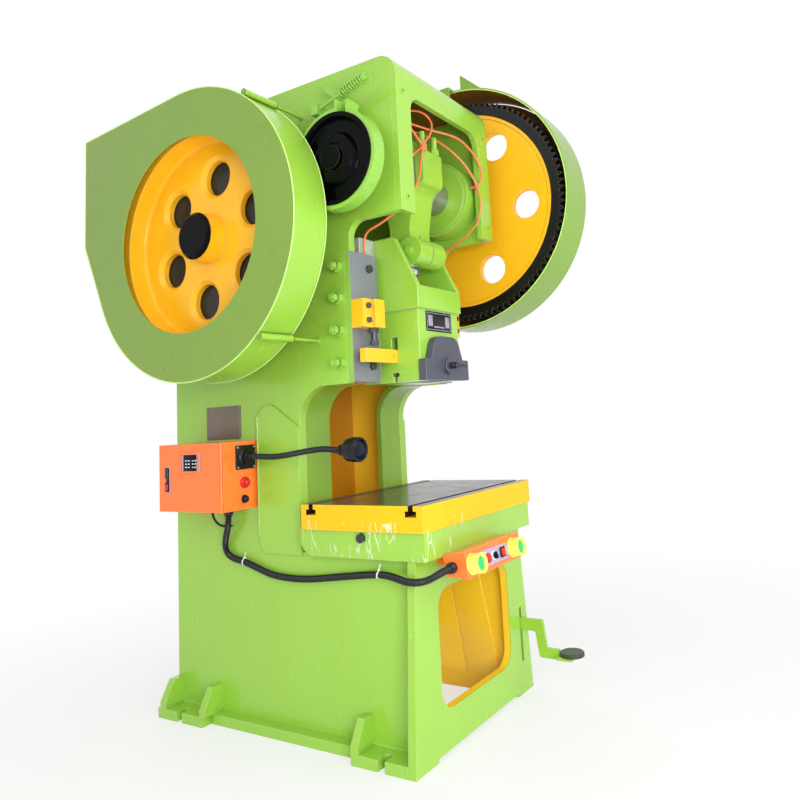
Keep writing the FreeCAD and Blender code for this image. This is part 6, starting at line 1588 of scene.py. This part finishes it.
@dataclass(frozen=True)
class ControlBox:
    """The two-hand control box's strip, its collars and its buttons, on the sloping front."""

    low: Point = (0, -369, 597)
    up: Point = (0, 0.16620, 0.98609)
    out: Point = (0, -0.98609, 0.16620)
    middle: float = 43.0
    palms: tuple[tuple[float, Body, str], ...] = (
        (-252, Body.LEFT_PALM, "start_button_left"), (42, Body.RIGHT_PALM, "start_button_right"),
    )
    strip: Pair = (-215, 5)
    strip_half: float = 27
    screw_inset: float = 6
    mushroom_x: float = -160
    selector_x: float = -104
    square_x: float = -40

    def spot(self, x: float, up: float, out: float) -> Vector:
        """A point on the sloping front."""
        return Vector((x, self.low[1], self.low[2])) + Vector(self.up) * up + Vector(self.out) * out

    def face(self, x: float, up: float, out: float) -> Matrix:
        """The frame of the sloping front: its X along the box, its Y up and its Z outwards."""
        turn = Matrix((Vector(TO_RIGHT), Vector(self.up), Vector(self.out))).transposed().to_4x4()
        return Matrix.Translation(self.spot(x, up, out)) @ turn

    def build(self) -> None:
        """Makes the strip, the collars and every button."""
        strip = Forge("control_strip")
        (x0, x1), half, inset = self.strip, self.strip_half, self.screw_inset
        strip.block(Shop.LILAC_STRIP, (x0, -half, 0.2), (x1, half, 1.8), 0.8, self.face(0, self.middle, 0))
        for x, up in ((x, up) for x in (x0 + inset, x1 - inset) for up in (inset - half, half - inset)):
            strip.lathe(Shop.ZINC, [(0, 0), (0, 3.6), (1.6, 3.2), (2.4, 1.6), (2.6, 0)],
                        self.spot(x, self.middle + up, 1.6), self.out, 20)
        strip.finish(Body.FRAME, Slot.ORANGE)
        collars = Forge("palm_collars")
        for x, body, node in self.palms:
            ring = [(24, 23.2), (36, 23.2), (39, 24.4), (40, 27), (40, 29.4), (24, 29.4)]
            collars.tube_ring(Shop.YELLOW_MOULDING, ring, self.spot(x, self.middle, 0), self.out, 56)
            lip = [(0, 33.6), (0, 36), (2.4, 36), (3.6, 34.4), (3.6, 33.6)]
            collars.tube_ring(Shop.YELLOW_MOULDING, lip, self.spot(x, self.middle, 0.1), self.out, 56)
            palm = Forge(node + "_cap")
            dome = [(-6, 0), (-6, 12), (20, 12), (22, 22), (33, 22.4), (36, 21.4), (38, 17), (39.2, 9), (39.6, 0)]
            palm.lathe(Shop.GREEN_MOULDING, dome, self.spot(x, self.middle, 0), self.out, 48)
            palm.finish(body, Slot.GREEN_MOULDING, (node,))
        collars.finish(Body.FRAME, Slot.YELLOW_MOULDING)
        rings = Forge("button_collars")
        white = [(0.2, 9.6), (0.2, 20), (1.4, 20.6), (2.4, 19.4), (2.8, 17), (2.8, 9.6)]
        rings.tube_ring(Shop.WHITE_MOULDING, white, self.spot(self.mushroom_x, self.middle, 0), self.out, 40)
        disc = [(1, 9.6), (1, 15.4), (3, 16), (4.6, 15), (5, 13), (5, 9.6)]
        rings.tube_ring(Shop.WHITE_MOULDING, disc, self.spot(self.selector_x, self.middle, 0), self.out, 36)
        square_face = self.face(self.square_x, self.middle, 0)
        bars = (((-18, -18), (18, -13.6)), ((-18, 13.6), (18, 18)), ((-18, -14), (-13.6, 14)), ((13.6, -14), (18, 14)))
        for low, high in bars:
            rings.block(Shop.BLACK_MOULDING, (*low, 0.2), (*high, 7), 1.0, square_face)
        rings.finish(Body.FRAME, Slot.BLACK_MOULDING)
        stop = Forge("stop_mushroom_cap")
        cap = [(-6, 0), (-6, 8.6), (7, 8.6), (8, 15), (10, 17.2), (14, 17.6), (18, 15), (20, 9), (20.6, 0)]
        stop.lathe(Shop.RED_MOULDING, cap, self.spot(self.mushroom_x, self.middle, 0), self.out, 40)
        stop.finish(Body.MUSHROOM, Slot.RED_MOULDING, ("stop_mushroom",))
        knob = Forge("selector_knob_cap")
        stem = [(-6, 0), (-6, 8.6), (7, 8.6), (8, 12.4), (11, 12.4), (12.4, 11), (12.4, 0)]
        knob.lathe(Shop.BLACK_MOULDING, stem, self.spot(self.selector_x, self.middle, 0), self.out, 36)
        knob_face = self.face(self.selector_x, self.middle, 0)
        knob.block(Shop.BLACK_MOULDING, (-3.6, -12, 11), (3.6, 12, 20), 1.8, knob_face)
        knob.block(Shop.WHITE_MOULDING, (-0.8, 3, 19.6), (0.8, 11, 20.3), 0.2, knob_face)
        knob.finish(Body.SELECTOR, Slot.BLACK_MOULDING, ("selector_knob",))
        square = Forge("stop_button_square_cap")
        square.block(Shop.RED_MOULDING, (-12.8, -12.8, -6), (12.8, 12.8, 11), 2.2, square_face)
        square.finish(Body.SQUARE, Slot.RED_MOULDING, ("stop_button_square",))


@dataclass(frozen=True)
class OilLines:
    """The orange oil tubes in the head, their fittings and the block that joins four of them.

    All heights are measured from the crank's line.
    """

    radius: float = 4.5
    routes: tuple[tuple[Point, ...], ...] = (
        ((-292, -92, 236), (-215, -96, 246), (-140, -108, 262), (-92, -130, 276), (-56, -148, 266), (-37, -163, 230),
         (-62, -169, 176), (-100, -168, 138), (-116, -167, 112)),
        ((-292, -138, 196), (-240, -144, 190), (-199, -150, 178), (-162, -158, 150), (-128, -167, 110)),
        ((-124, -167, 96), (-134, -165, 60), (-139, -162, 10), (-155, -158, -40), (-176, -144, -96), (-208, -90, -160),
         (-236, -20, -206), (-240, 34, -222), (-234, 56, -250), (-232, 58, -298)),
        ((-130, -167, 100), (-168, -176, 76), (-218, -192, 46), (-240, -196, 27), (-240, -178.4, 27)),
        ((-292, -64, 226), (-180, -72, 228), (-70, -110, 224), (-8, -146, 212), (60, -166, 216), (120, -188, 210),
         (176, -208, 178), (223, -220, 132), (245, -224, 82), (246, -214, 48), (240, -196, 27), (240, -178.4, 27)),
        ((-292, -30, 240), (-110, -36, 238), (10, -56, 232), (70, -104, 212), (117, -160, 156), (163, -190, 104),
         (196, -210, 48), (216, -222, -12), (220, -222, -74), (224, -204, -132), (229, -164, -166), (232, -112, -196),
         (234, -50, -222), (234, 12, -244), (234, 48, -264), (234, 50, -298)),
    )
    fittings: tuple[tuple[Point, Point], ...] = (
        ((-306, -92, 236), TO_RIGHT), ((-306, -138, 196), TO_RIGHT), ((-306, -64, 226), TO_RIGHT),
        ((-306, -30, 240), TO_RIGHT), ((-232, 58, -312), (0, 0, 1)), ((234, 50, -312), (0, 0, 1)),
        ((-240, -164.4, 27), TO_FRONT), ((240, -164.4, 27), TO_FRONT),
    )
    joint: Point = (-122, -167, 104)
    joint_half: Point = (12, 9, 14)

    def build(self, patterns: Patterns) -> None:
        """Makes the tubes, a nut at every end and the joint block.

        Args:
            patterns: The shared pattern trees.
        """
        for index, route in enumerate(self.routes):
            line = smooth_line("oil_line_%d" % index, [(x, y, z + CRANK_Z) for x, y, z in route], 12)
            tube = patterns.hose.run("oil_tube_%d" % index, line, Shop.TUBE_ORANGE, Radius=self.radius * MM,
                                     Rib=0.0, Sides=14)
            install(tube, Body.FRAME, ("oil_tubes",) if index == 0 else ())
        fittings = Forge("oil_fittings")
        nut = [(0, 0), (0, 7.4), (9, 7.4), (10, 6.4), (14, 6.2), (16, 5.2), (16, 0)]
        collar = [(0, 0), (0, 8), (3, 8.6), (5, 8), (5, 0)]
        for (x, y, z), direction in self.fittings:
            fittings.lathe(Shop.TUBE_ORANGE, nut, (x, y, z + CRANK_Z), direction, 6)
            fittings.lathe(Shop.BRASS, collar, (x, y, z + CRANK_Z), direction, 24)
        middle = Vector(self.joint) + Vector(CRANK_LINE)
        half = Vector(self.joint_half)
        fittings.block(Shop.TUBE_ORANGE, middle - half, middle + half, 2.5)
        fittings.finish(Body.FRAME, Slot.OIL_TUBE)


def border(low: Pair, high: Pair, inset: Pair, width: float) -> list[tuple[float, float, float, float]]:
    """Finds the four bars of a frame line on a plate.

    Args:
        low, high: Two corners of the plate, in its own plane.
        inset: How far the line is from the plate's edges, one way and the other.
        width: The line's width.

    Returns:
        Each bar's ends along the first way, and then along the second.
    """
    a, b, c, d = low[0] + inset[0], high[0] - inset[0], low[1] + inset[1], high[1] - inset[1]
    return [(a, b, c, c + width), (a, b, d - width, d), (a, a + width, c, d), (b - width, b, c, d)]


@dataclass(frozen=True)
class BarePlates:
    """The bare data plates on the left wall and on the ram, each held by rivets.

    A plate gives its face's X or Y, and then its ends along both ways of that face.
    """

    wall: tuple[float, float, float, float, float] = (-WALL_X, 644, 850, 1096, 1233)
    ram: tuple[float, float, float, float, float] = (-118.0, -92, 92, 1473, 1553)
    rivet_inset: float = 5

    def build(self, patterns: Patterns) -> None:
        """Makes both plates and their rivets.

        Args:
            patterns: The shared pattern trees.
        """
        inset = self.rivet_inset
        x, y0, y1, z0, z1 = self.wall
        plate = Forge("wall_plate")
        plate.block(Shop.PLATE_ALLOY, (x - 1.6, y0, z0), (x + 0.1, y1, z1), 0.5)
        for a, b, c, d in border((y0, z0), (y1, z1), (10, 9), 1.6):
            plate.block(Shop.CLAMP_CASTING, (x - 2.0, a, c), (x - 1.4, b, d), 0.2)
        plate.finish(Body.FRAME, Slot.STEEL)
        spots = [(x - 1.4, y, z) for y in (y0 + inset, y1 - inset) for z in (z0 + inset, z1 - inset)]
        base = marked_points("wall_rivet_points", spots, [(-1, 0, 0)] * 4)
        install(patterns.heads.run("wall_plate_rivets", base, Shop.ZINC, Radius=0.0032, Height=0.0016),
                Body.FRAME)
        y, x0, x1, z0, z1 = self.ram
        badge = Forge("ram_plate")
        badge.block(Shop.BLACK_MOULDING, (x0, y - 2.0, z0), (x1, y + 0.1, z1), 1.0)
        for a, b, c, d in border((x0, z0), (x1, z1), (6, 6), 2.4):
            badge.block(Shop.PLATE_SILVER, (a, y - 2.7, c), (b, y - 1.6, d), 0.3)
        for a, b in ((x0 + 16, x0 + 46), (x1 - 46, x1 - 16)):
            badge.block(Shop.PLATE_SILVER, (a, y - 2.6, z0 + 20), (b, y - 1.6, z1 - 16), 0.4)
        badge.block(Shop.PLATE_SILVER, (x0 + 56, y - 2.6, z0 + 16), (x1 - 56, y - 1.6, z0 + 22), 0.4)
        badge.finish(Body.RAM, Slot.BLACK)
        spots = [(x, y - 2.0, z) for x in (x0 + inset, x1 - inset) for z in (z0 + inset, z1 - inset)]
        base = marked_points("ram_rivet_points", spots, [TO_FRONT] * 4)
        install(patterns.heads.run("ram_plate_rivets", base, Shop.ZINC, Radius=0.0026, Height=0.0016),
                Body.RAM)


@dataclass(frozen=True)
class MotorShell:
    """The motor's cooling fins and its fan cowl with a grille.

    No fin stands where the sine of its angle is under bare_below or over bare_above.
    """

    centre: Pair = (1120, 2185)
    radius: float = 130
    fins: int = 40
    fin_middle: float = 2.5
    bare_below: float = -0.8
    bare_above: float = 0.82
    from_x: float = -402
    to_x: float = -96
    cowl_x: float = -92
    grille_x: float = -19.5
    grille_rows: tuple[float, ...] = (68, 85, 102)
    grille_count: int = 24

    def build(self, patterns: Patterns) -> None:
        """Makes the fins and the grille by pattern, and the cowl by turning.

        Args:
            patterns: The shared pattern trees.
        """
        places, outs = [], []
        middle = (self.from_x + self.to_x) / 2
        for step in range(self.fins):
            angle = math.tau * step / self.fins
            if self.bare_below < math.sin(angle) < self.bare_above:
                places.append(about_x(middle, self.centre, self.radius + self.fin_middle, angle))
                outs.append(about_x(0.0, (0.0, 0.0), 1.0, angle))
        base = marked_points("motor_fin_points", places, outs, [TO_RIGHT] * len(places))
        size = ((self.to_x - self.from_x) * MM, 0.0034, 0.011)
        install(patterns.bars.run("motor_fins", base, Shop.GREEN_CASTING, Size=size), Body.FRAME)
        cowl = Forge("motor_cowl")
        shell = [(0, 100), (0, 134), (4, 136), (60, 135), (68, 131), (72, 122), (72, 60), (70, 56), (66, 56), (66, 100)]
        cowl.tube_ring(Shop.GREEN_CASTING, shell, (self.cowl_x, *self.centre), TO_RIGHT, 72)
        cowl.lathe(Shop.BLACK_MOULDING, [(60, 0), (60, 60), (64, 58), (66, 16), (68, 0)],
                   (self.cowl_x, *self.centre), TO_RIGHT, 40)
        cowl.finish(Body.FRAME, Slot.GREEN)
        turns = [math.tau * step / self.grille_count for step in range(self.grille_count)]
        spots = [about_x(self.grille_x, self.centre, radius, turn) for radius in self.grille_rows for turn in turns]
        dots = marked_points("cowl_grille_points", spots, [(1.0, 0.0, 0.0)] * len(spots))
        grille = patterns.heads.run("motor_cowl_grille", dots, Shop.BLACK_MOULDING, Radius=0.0052, Height=0.0012,
                                    Sides=12)
        install(grille, Body.FRAME)


@dataclass(frozen=True)
class GuardLips:
    """The rolled lips along both edges of the flywheel guard, whose two rear corners are given as Y and Z. The lips'
    lighter green is a painted highlight.
    """

    centre: Pair = (WHEEL_Y, WHEEL_Z)
    radius: float = 565
    rear: tuple[Pair, ...] = ((1237, 2404), (1237, 1940))
    planes: tuple[float, ...] = (-636, -476)
    bead: float = 2.6
    steps: int = 64

    def outline(self, x: float) -> list[Point]:
        """Finds the guard's closed outline in one plane.

        Args:
            x: Where the plane crosses X.

        Returns:
            Points along the outline, the first one again at the end.
        """
        turns = []
        for (y, z), sign in zip(self.rear, (1, -1)):
            dy, dz = y - self.centre[0], z - self.centre[1]
            turns.append(math.atan2(dz, dy) + sign * math.acos(self.radius / math.hypot(dy, dz)))
        sweep = (turns[1] - turns[0]) % math.tau
        points = [about_x(x, self.centre, self.radius, turns[0] + sweep * step / self.steps)
                  for step in range(self.steps + 1)]
        return points + [(x, *self.rear[1]), (x, *self.rear[0]), points[0]]

    def build(self, patterns: Patterns) -> None:
        """Lays a thin bead along each edge.

        Args:
            patterns: The shared pattern trees.
        """
        lines = straight_lines("guard_lip_lines", [self.outline(x) for x in self.planes])
        lips = patterns.hose.run("guard_lips", lines, Shop.LIT_GREEN_LIP, Radius=self.bead * MM, Pitch=0.08, Rib=0.0,
                                 Sides=8)
        install(lips, Body.FRAME)


@dataclass(frozen=True)
class WheelSleeves:
    """The cast collars behind the flywheel's six holes."""

    centre: Pair = (WHEEL_Y, WHEEL_Z)
    pitch: float = 247.0
    phase: float = 38.5
    bore: float = 70.0
    outer: float = 79.0
    span: Pair = (-506.0, -482.5)

    def build(self) -> None:
        """Turns one short collar at every hole."""
        collars = Forge("wheel_sleeves")
        start, end = self.span
        ring = [(0, self.bore), (0, self.outer), (end - start, self.outer - 2), (end - start, self.bore)]
        for step in range(6):
            place = about_x(start, self.centre, self.pitch, math.radians(self.phase + 60 * step))
            collars.tube_ring(Shop.AMBER_WHEEL, ring, place, TO_RIGHT, 48)
        collars.finish(Body.FLYWHEEL, Slot.AMBER)


@dataclass(frozen=True)
class GearGuardRim:
    """The dark-brown flange on the open side of the gear guard, which is painted shade over the gap there, and the thin
    lip on its inner side, whose lighter green is a painted highlight.
    """

    inner: float = 508.0
    outer: float = 554.6
    sweep: Pair = (36.0, 288.0)
    flange: Pair = (574.4, 577.4)
    lip_x: float = 376.0
    lip_r: float = 556.6
    steps: int = 72

    def arc(self, x: float, radius: float) -> list[Point]:
        """Finds points round the crank's line.

        Args:
            x: Where their plane crosses X.
            radius: Their distance from the line.

        Returns:
            The points, from the sweep's start to its end.
        """
        low, high = self.sweep
        turns = [math.radians(low + (high - low) * k / self.steps) for k in range(self.steps + 1)]
        return [about_x(x, (0.0, CRANK_Z), radius, turn) for turn in turns]

    def build(self, patterns: Patterns) -> None:
        """Makes the flange and lays the bead.

        Args:
            patterns: The shared pattern trees.
        """
        # Painted shade: a dark-brown ring across the gap between the guard's band and the teeth.
        rim = Forge("gear_guard_shadow_flange")
        outline = self.arc(0.0, self.outer) + self.arc(0.0, self.inner)[::-1]
        start, end = self.flange
        rim.prism(Shop.GUARD_SHADOW_FLANGE, [(y, z) for _, y, z in outline], end - start, across_x(start), 0.0)
        rim.finish(Body.FRAME, Slot.GREEN)
        lines = straight_lines("gear_guard_lip_line", [self.arc(self.lip_x, self.lip_r)])
        lip = patterns.hose.run("gear_guard_lip", lines, Shop.LIT_GREEN_LIP, Radius=0.0028, Pitch=0.08, Rib=0.0, Sides=8)
        install(lip, Body.FRAME)


@dataclass(frozen=True)
class BaseLining:
    """The two sheets on the right wall inside the base, with a narrow gap between them.

    An edge is given by its Y at the foot and its Y at the top.
    """

    wall_x: float = 306.8
    thick: float = 5.0
    low_z: float = 70.0
    top_z: float = 640.0
    front_edge: Pair = (-130, -24)
    seam: Pair = (26, 118)
    rear_y: float = 470.0
    gap: float = 5.0

    def build(self) -> None:
        """Makes both sheets."""
        plane = across_x(self.wall_x, -1)
        sheets = Forge("base_lining")
        behind = (self.seam[0] + self.gap, self.seam[1] + self.gap)
        for front, rear in ((self.front_edge, self.seam), (behind, (self.rear_y, self.rear_y))):
            outline = [(front[0], self.low_z), (rear[0], self.low_z), (rear[1], self.top_z), (front[1], self.top_z)]
            sheets.prism(Shop.LINING, outline, self.thick, plane, 1.2)
        sheets.finish(Body.FRAME, Slot.AMBER)


@dataclass(frozen=True)
class CoverSockets:
    """The dark hexagon sockets in the four screws of the head's front plate."""

    spots: tuple[Pair, ...] = ((-300, 2350), (300, 2350), (-300, 1943), (300, 1943))
    face_y: float = -211.0

    def build(self, patterns: Patterns) -> None:
        """Sets a flat six-sided disc in every head.

        Args:
            patterns: The shared pattern trees.
        """
        places = [(x, self.face_y, z) for x, z in self.spots]
        base = marked_points("cover_socket_points", places, [TO_FRONT] * len(places))
        discs = patterns.heads.run("cover_sockets", base, Shop.DARK_STEEL, Radius=0.0042, Height=0.0006, Sides=6)
        install(discs, Body.FRAME)


@dataclass(frozen=True)
class Welds:
    """Fillet welds where the frame's plates meet.

    A run gives its X on the right side, and its two ends as Y and Z. The left side gets the same.
    """

    face_x: float = WALL_X + 0.5
    runs: tuple[tuple[float, Pair, Pair], ...] = (
        (face_x, (-180, 42), (-180, 650)),
        (face_x, (-178, 39), (50, 39)),
        (face_x, (795, 39), (1040, 39)),
        (349.0, (541, 720), (541, 1180)),
        (face_x, (-160, 664), (286, 664)),
    )
    boss_radius: float = 76.0
    boss_steps: int = 48

    def boss(self, x: float) -> list[Point]:
        """A closed circle about the wheel's line."""
        turns = (math.tau * k / self.boss_steps for k in range(self.boss_steps + 1))
        return [about_x(x, (WHEEL_Y, WHEEL_Z), self.boss_radius, turn) for turn in turns]

    def build(self, patterns: Patterns) -> None:
        """Lays the beads on both sides of the frame.

        Args:
            patterns: The shared pattern trees.
        """
        lines: list[Sequence[Point]] = []
        for side in (-1, 1):
            lines += [[(x * side, *start), (x * side, *end)] for x, start, end in self.runs]
            lines.append(self.boss(self.face_x * side))
        base = straight_lines("weld_lines", lines)
        beads = patterns.weld.run("frame_welds", base, Shop.GREEN_CASTING, Width=0.0046, Pitch=0.0058)
        install(beads, Body.FRAME)


# -------- studio


@dataclass(frozen=True)
class Viewpoint:
    """The camera at the photograph's angle, which is in radians. Focal length, centre and side are in pixels."""

    place: Point = (-2383.3, -1652.4, 1144.2)
    yaw: float = 1.043
    pitch: float = 0.123
    roll: float = -0.060
    focal: float = 713.65
    centre: Pair = (470.2, 325.0)
    side: float = 800.0
    sensor: float = 36.0

    def build(self) -> None:
        """Makes the camera and makes it the scene's own."""
        ahead = Vector((math.sin(self.yaw) * math.cos(self.pitch), math.cos(self.yaw) * math.cos(self.pitch),
                        math.sin(self.pitch)))
        right = Vector((math.cos(self.yaw), -math.sin(self.yaw), 0.0))
        up = right.cross(ahead)
        turned_right = right * math.cos(self.roll) + up * math.sin(self.roll)
        turned_up = up * math.cos(self.roll) - right * math.sin(self.roll)
        data = bpy.data.cameras.new("viewpoint")
        data.sensor_width = self.sensor
        data.lens = self.focal / self.side * data.sensor_width
        data.shift_x = (self.side / 2 - self.centre[0]) / self.side
        data.shift_y = (self.centre[1] - self.side / 2) / self.side
        data.clip_end = 100.0
        camera = bpy.data.objects.new("viewpoint", data)
        frame = Matrix((turned_right, turned_up, -ahead)).transposed().to_4x4()
        camera.matrix_world = Matrix.Translation(Vector(self.place) * MM) @ frame
        link(camera)
        bpy.context.scene.camera = camera


@dataclass(frozen=True)
class SoftLamp:
    """One square area lamp, aimed at a point. Its size is in metres and its power in watts."""

    title: str
    place: Point
    size: float
    power: float
    aim: Point = (0, 300, 1200)

    def build(self) -> None:
        """Makes the lamp."""
        data = bpy.data.lights.new(self.title, "AREA")
        data.size = self.size
        data.energy = self.power
        lamp = bpy.data.objects.new(self.title, data)
        lamp.location = Vector(self.place) * MM
        lamp.rotation_euler = (Vector(self.place) - Vector(self.aim)).to_track_quat("Z", "Y").to_euler()
        link(lamp)


@dataclass(frozen=True)
class Studio:
    """A pale floor, a white room and large soft lamps."""

    ambient: float = 0.62
    floor_tone: float = 0.88
    floor_glow: float = 0.6
    floor_half: float = 30.0
    lamps: tuple[SoftLamp, ...] = (
        SoftLamp("front_lamp", (600, -5200, 4200), 3.6, 112.0),
        SoftLamp("low_lamp", (-2500, -2700, 1250), 1.5, 88.0, (250, 150, 800)),
        SoftLamp("left_lamp", (-5200, -600, 4800), 3.4, 62.0),
        SoftLamp("rear_lamp", (3600, 5200, 5200), 3.8, 80.0),
    )

    @staticmethod
    def seen(wires: Wiring) -> Socket:
        """Finds the rays that the eye sees directly, in a mirror or through glass.

        Args:
            wires: The wiring of the world or of a material.

        Returns:
            One for these rays, and nought for all others.
        """
        rays = wires.add("ShaderNodeLightPath").outputs
        bent = wires.math("MAXIMUM", rays["Is Glossy Ray"], rays["Is Transmission Ray"])
        return wires.math("MAXIMUM", rays["Is Camera Ray"], bent)

    def build(self) -> None:
        """Makes the world, the floor and the lamps."""
        scene = bpy.context.scene
        scene.view_settings.view_transform = "Standard"
        world = bpy.data.worlds.new("white_room")
        scene.world = world
        world.use_nodes = True
        wires = Wiring(world.node_tree)
        level = wires.spread(self.seen(wires), 0.0, 1.0, self.ambient, 1.0)
        sky = wires.add("ShaderNodeBackground", {"Color": (1.0, 1.0, 1.0, 1.0), "Strength": level})
        wires.add("ShaderNodeOutputWorld", {"Surface": sky.outputs[0]})
        self.floor()
        for lamp in self.lamps:
            lamp.build()

    def floor(self) -> None:
        """Makes the floor, which shows white and keeps the shadow."""
        mesh = bpy.data.meshes.new("shop_floor")
        half = self.floor_half
        mesh.from_pydata([(-half, -half, 0), (half, -half, 0), (half, half, 0), (-half, half, 0)], [], [(0, 1, 2, 3)])
        finish = bpy.data.materials.new("pale_floor")
        finish.use_nodes = True
        wires = Wiring(finish.node_tree)
        place = wires.here()
        tone = wires.spread(wires.noise(place, 1.5, 3.0), 0.3, 0.7, self.floor_tone - 0.01, self.floor_tone + 0.01)
        fade = wires.spread(wires.vector("LENGTH", place), 1.2, 3.2, self.floor_glow, 1.0)
        colour = wires.add("ShaderNodeCombineColor", {0: tone, 1: tone, 2: tone}).outputs[0]
        matt = {"Base Color": colour, "Roughness": 0.9, "Specular IOR Level": 0.1}
        shader = wires.add("ShaderNodeBsdfPrincipled", matt)
        glow = wires.add("ShaderNodeEmission", {"Color": (1.0, 1.0, 1.0, 1.0), "Strength": 1.0})
        share = wires.math("MULTIPLY", self.seen(wires), fade)
        mixed = wires.add("ShaderNodeMixShader", {0: share, 1: shader.outputs[0], 2: glow.outputs[0]})
        wires.add("ShaderNodeOutputMaterial", {"Surface": mixed.outputs[0]})
        mesh.materials.append(finish)
        plane = bpy.data.objects.new("shop_floor", mesh)
        link(plane)


def main() -> None:
    """Builds the press round its frame, sub-assembly by sub-assembly."""
    logging.basicConfig(level=logging.INFO, format="%(name)s: %(message)s")
    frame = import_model()
    Viewpoint().build()
    Studio().build()
    PaintShop().dress(frame["nodes"])
    patterns = Patterns()
    ConduitRun().build(patterns)
    OilLines().build(patterns)
    WorkLamp().build(patterns)
    ElectricalBox().build()
    ControlBox().build()
    BarePlates().build(patterns)
    MotorShell().build(patterns)
    GuardLips().build(patterns)
    GearGuardRim().build(patterns)
    WheelSleeves().build()
    BaseLining().build()
    CoverSockets().build(patterns)
    Welds().build(patterns)


if __name__ == "__main__":
    main()
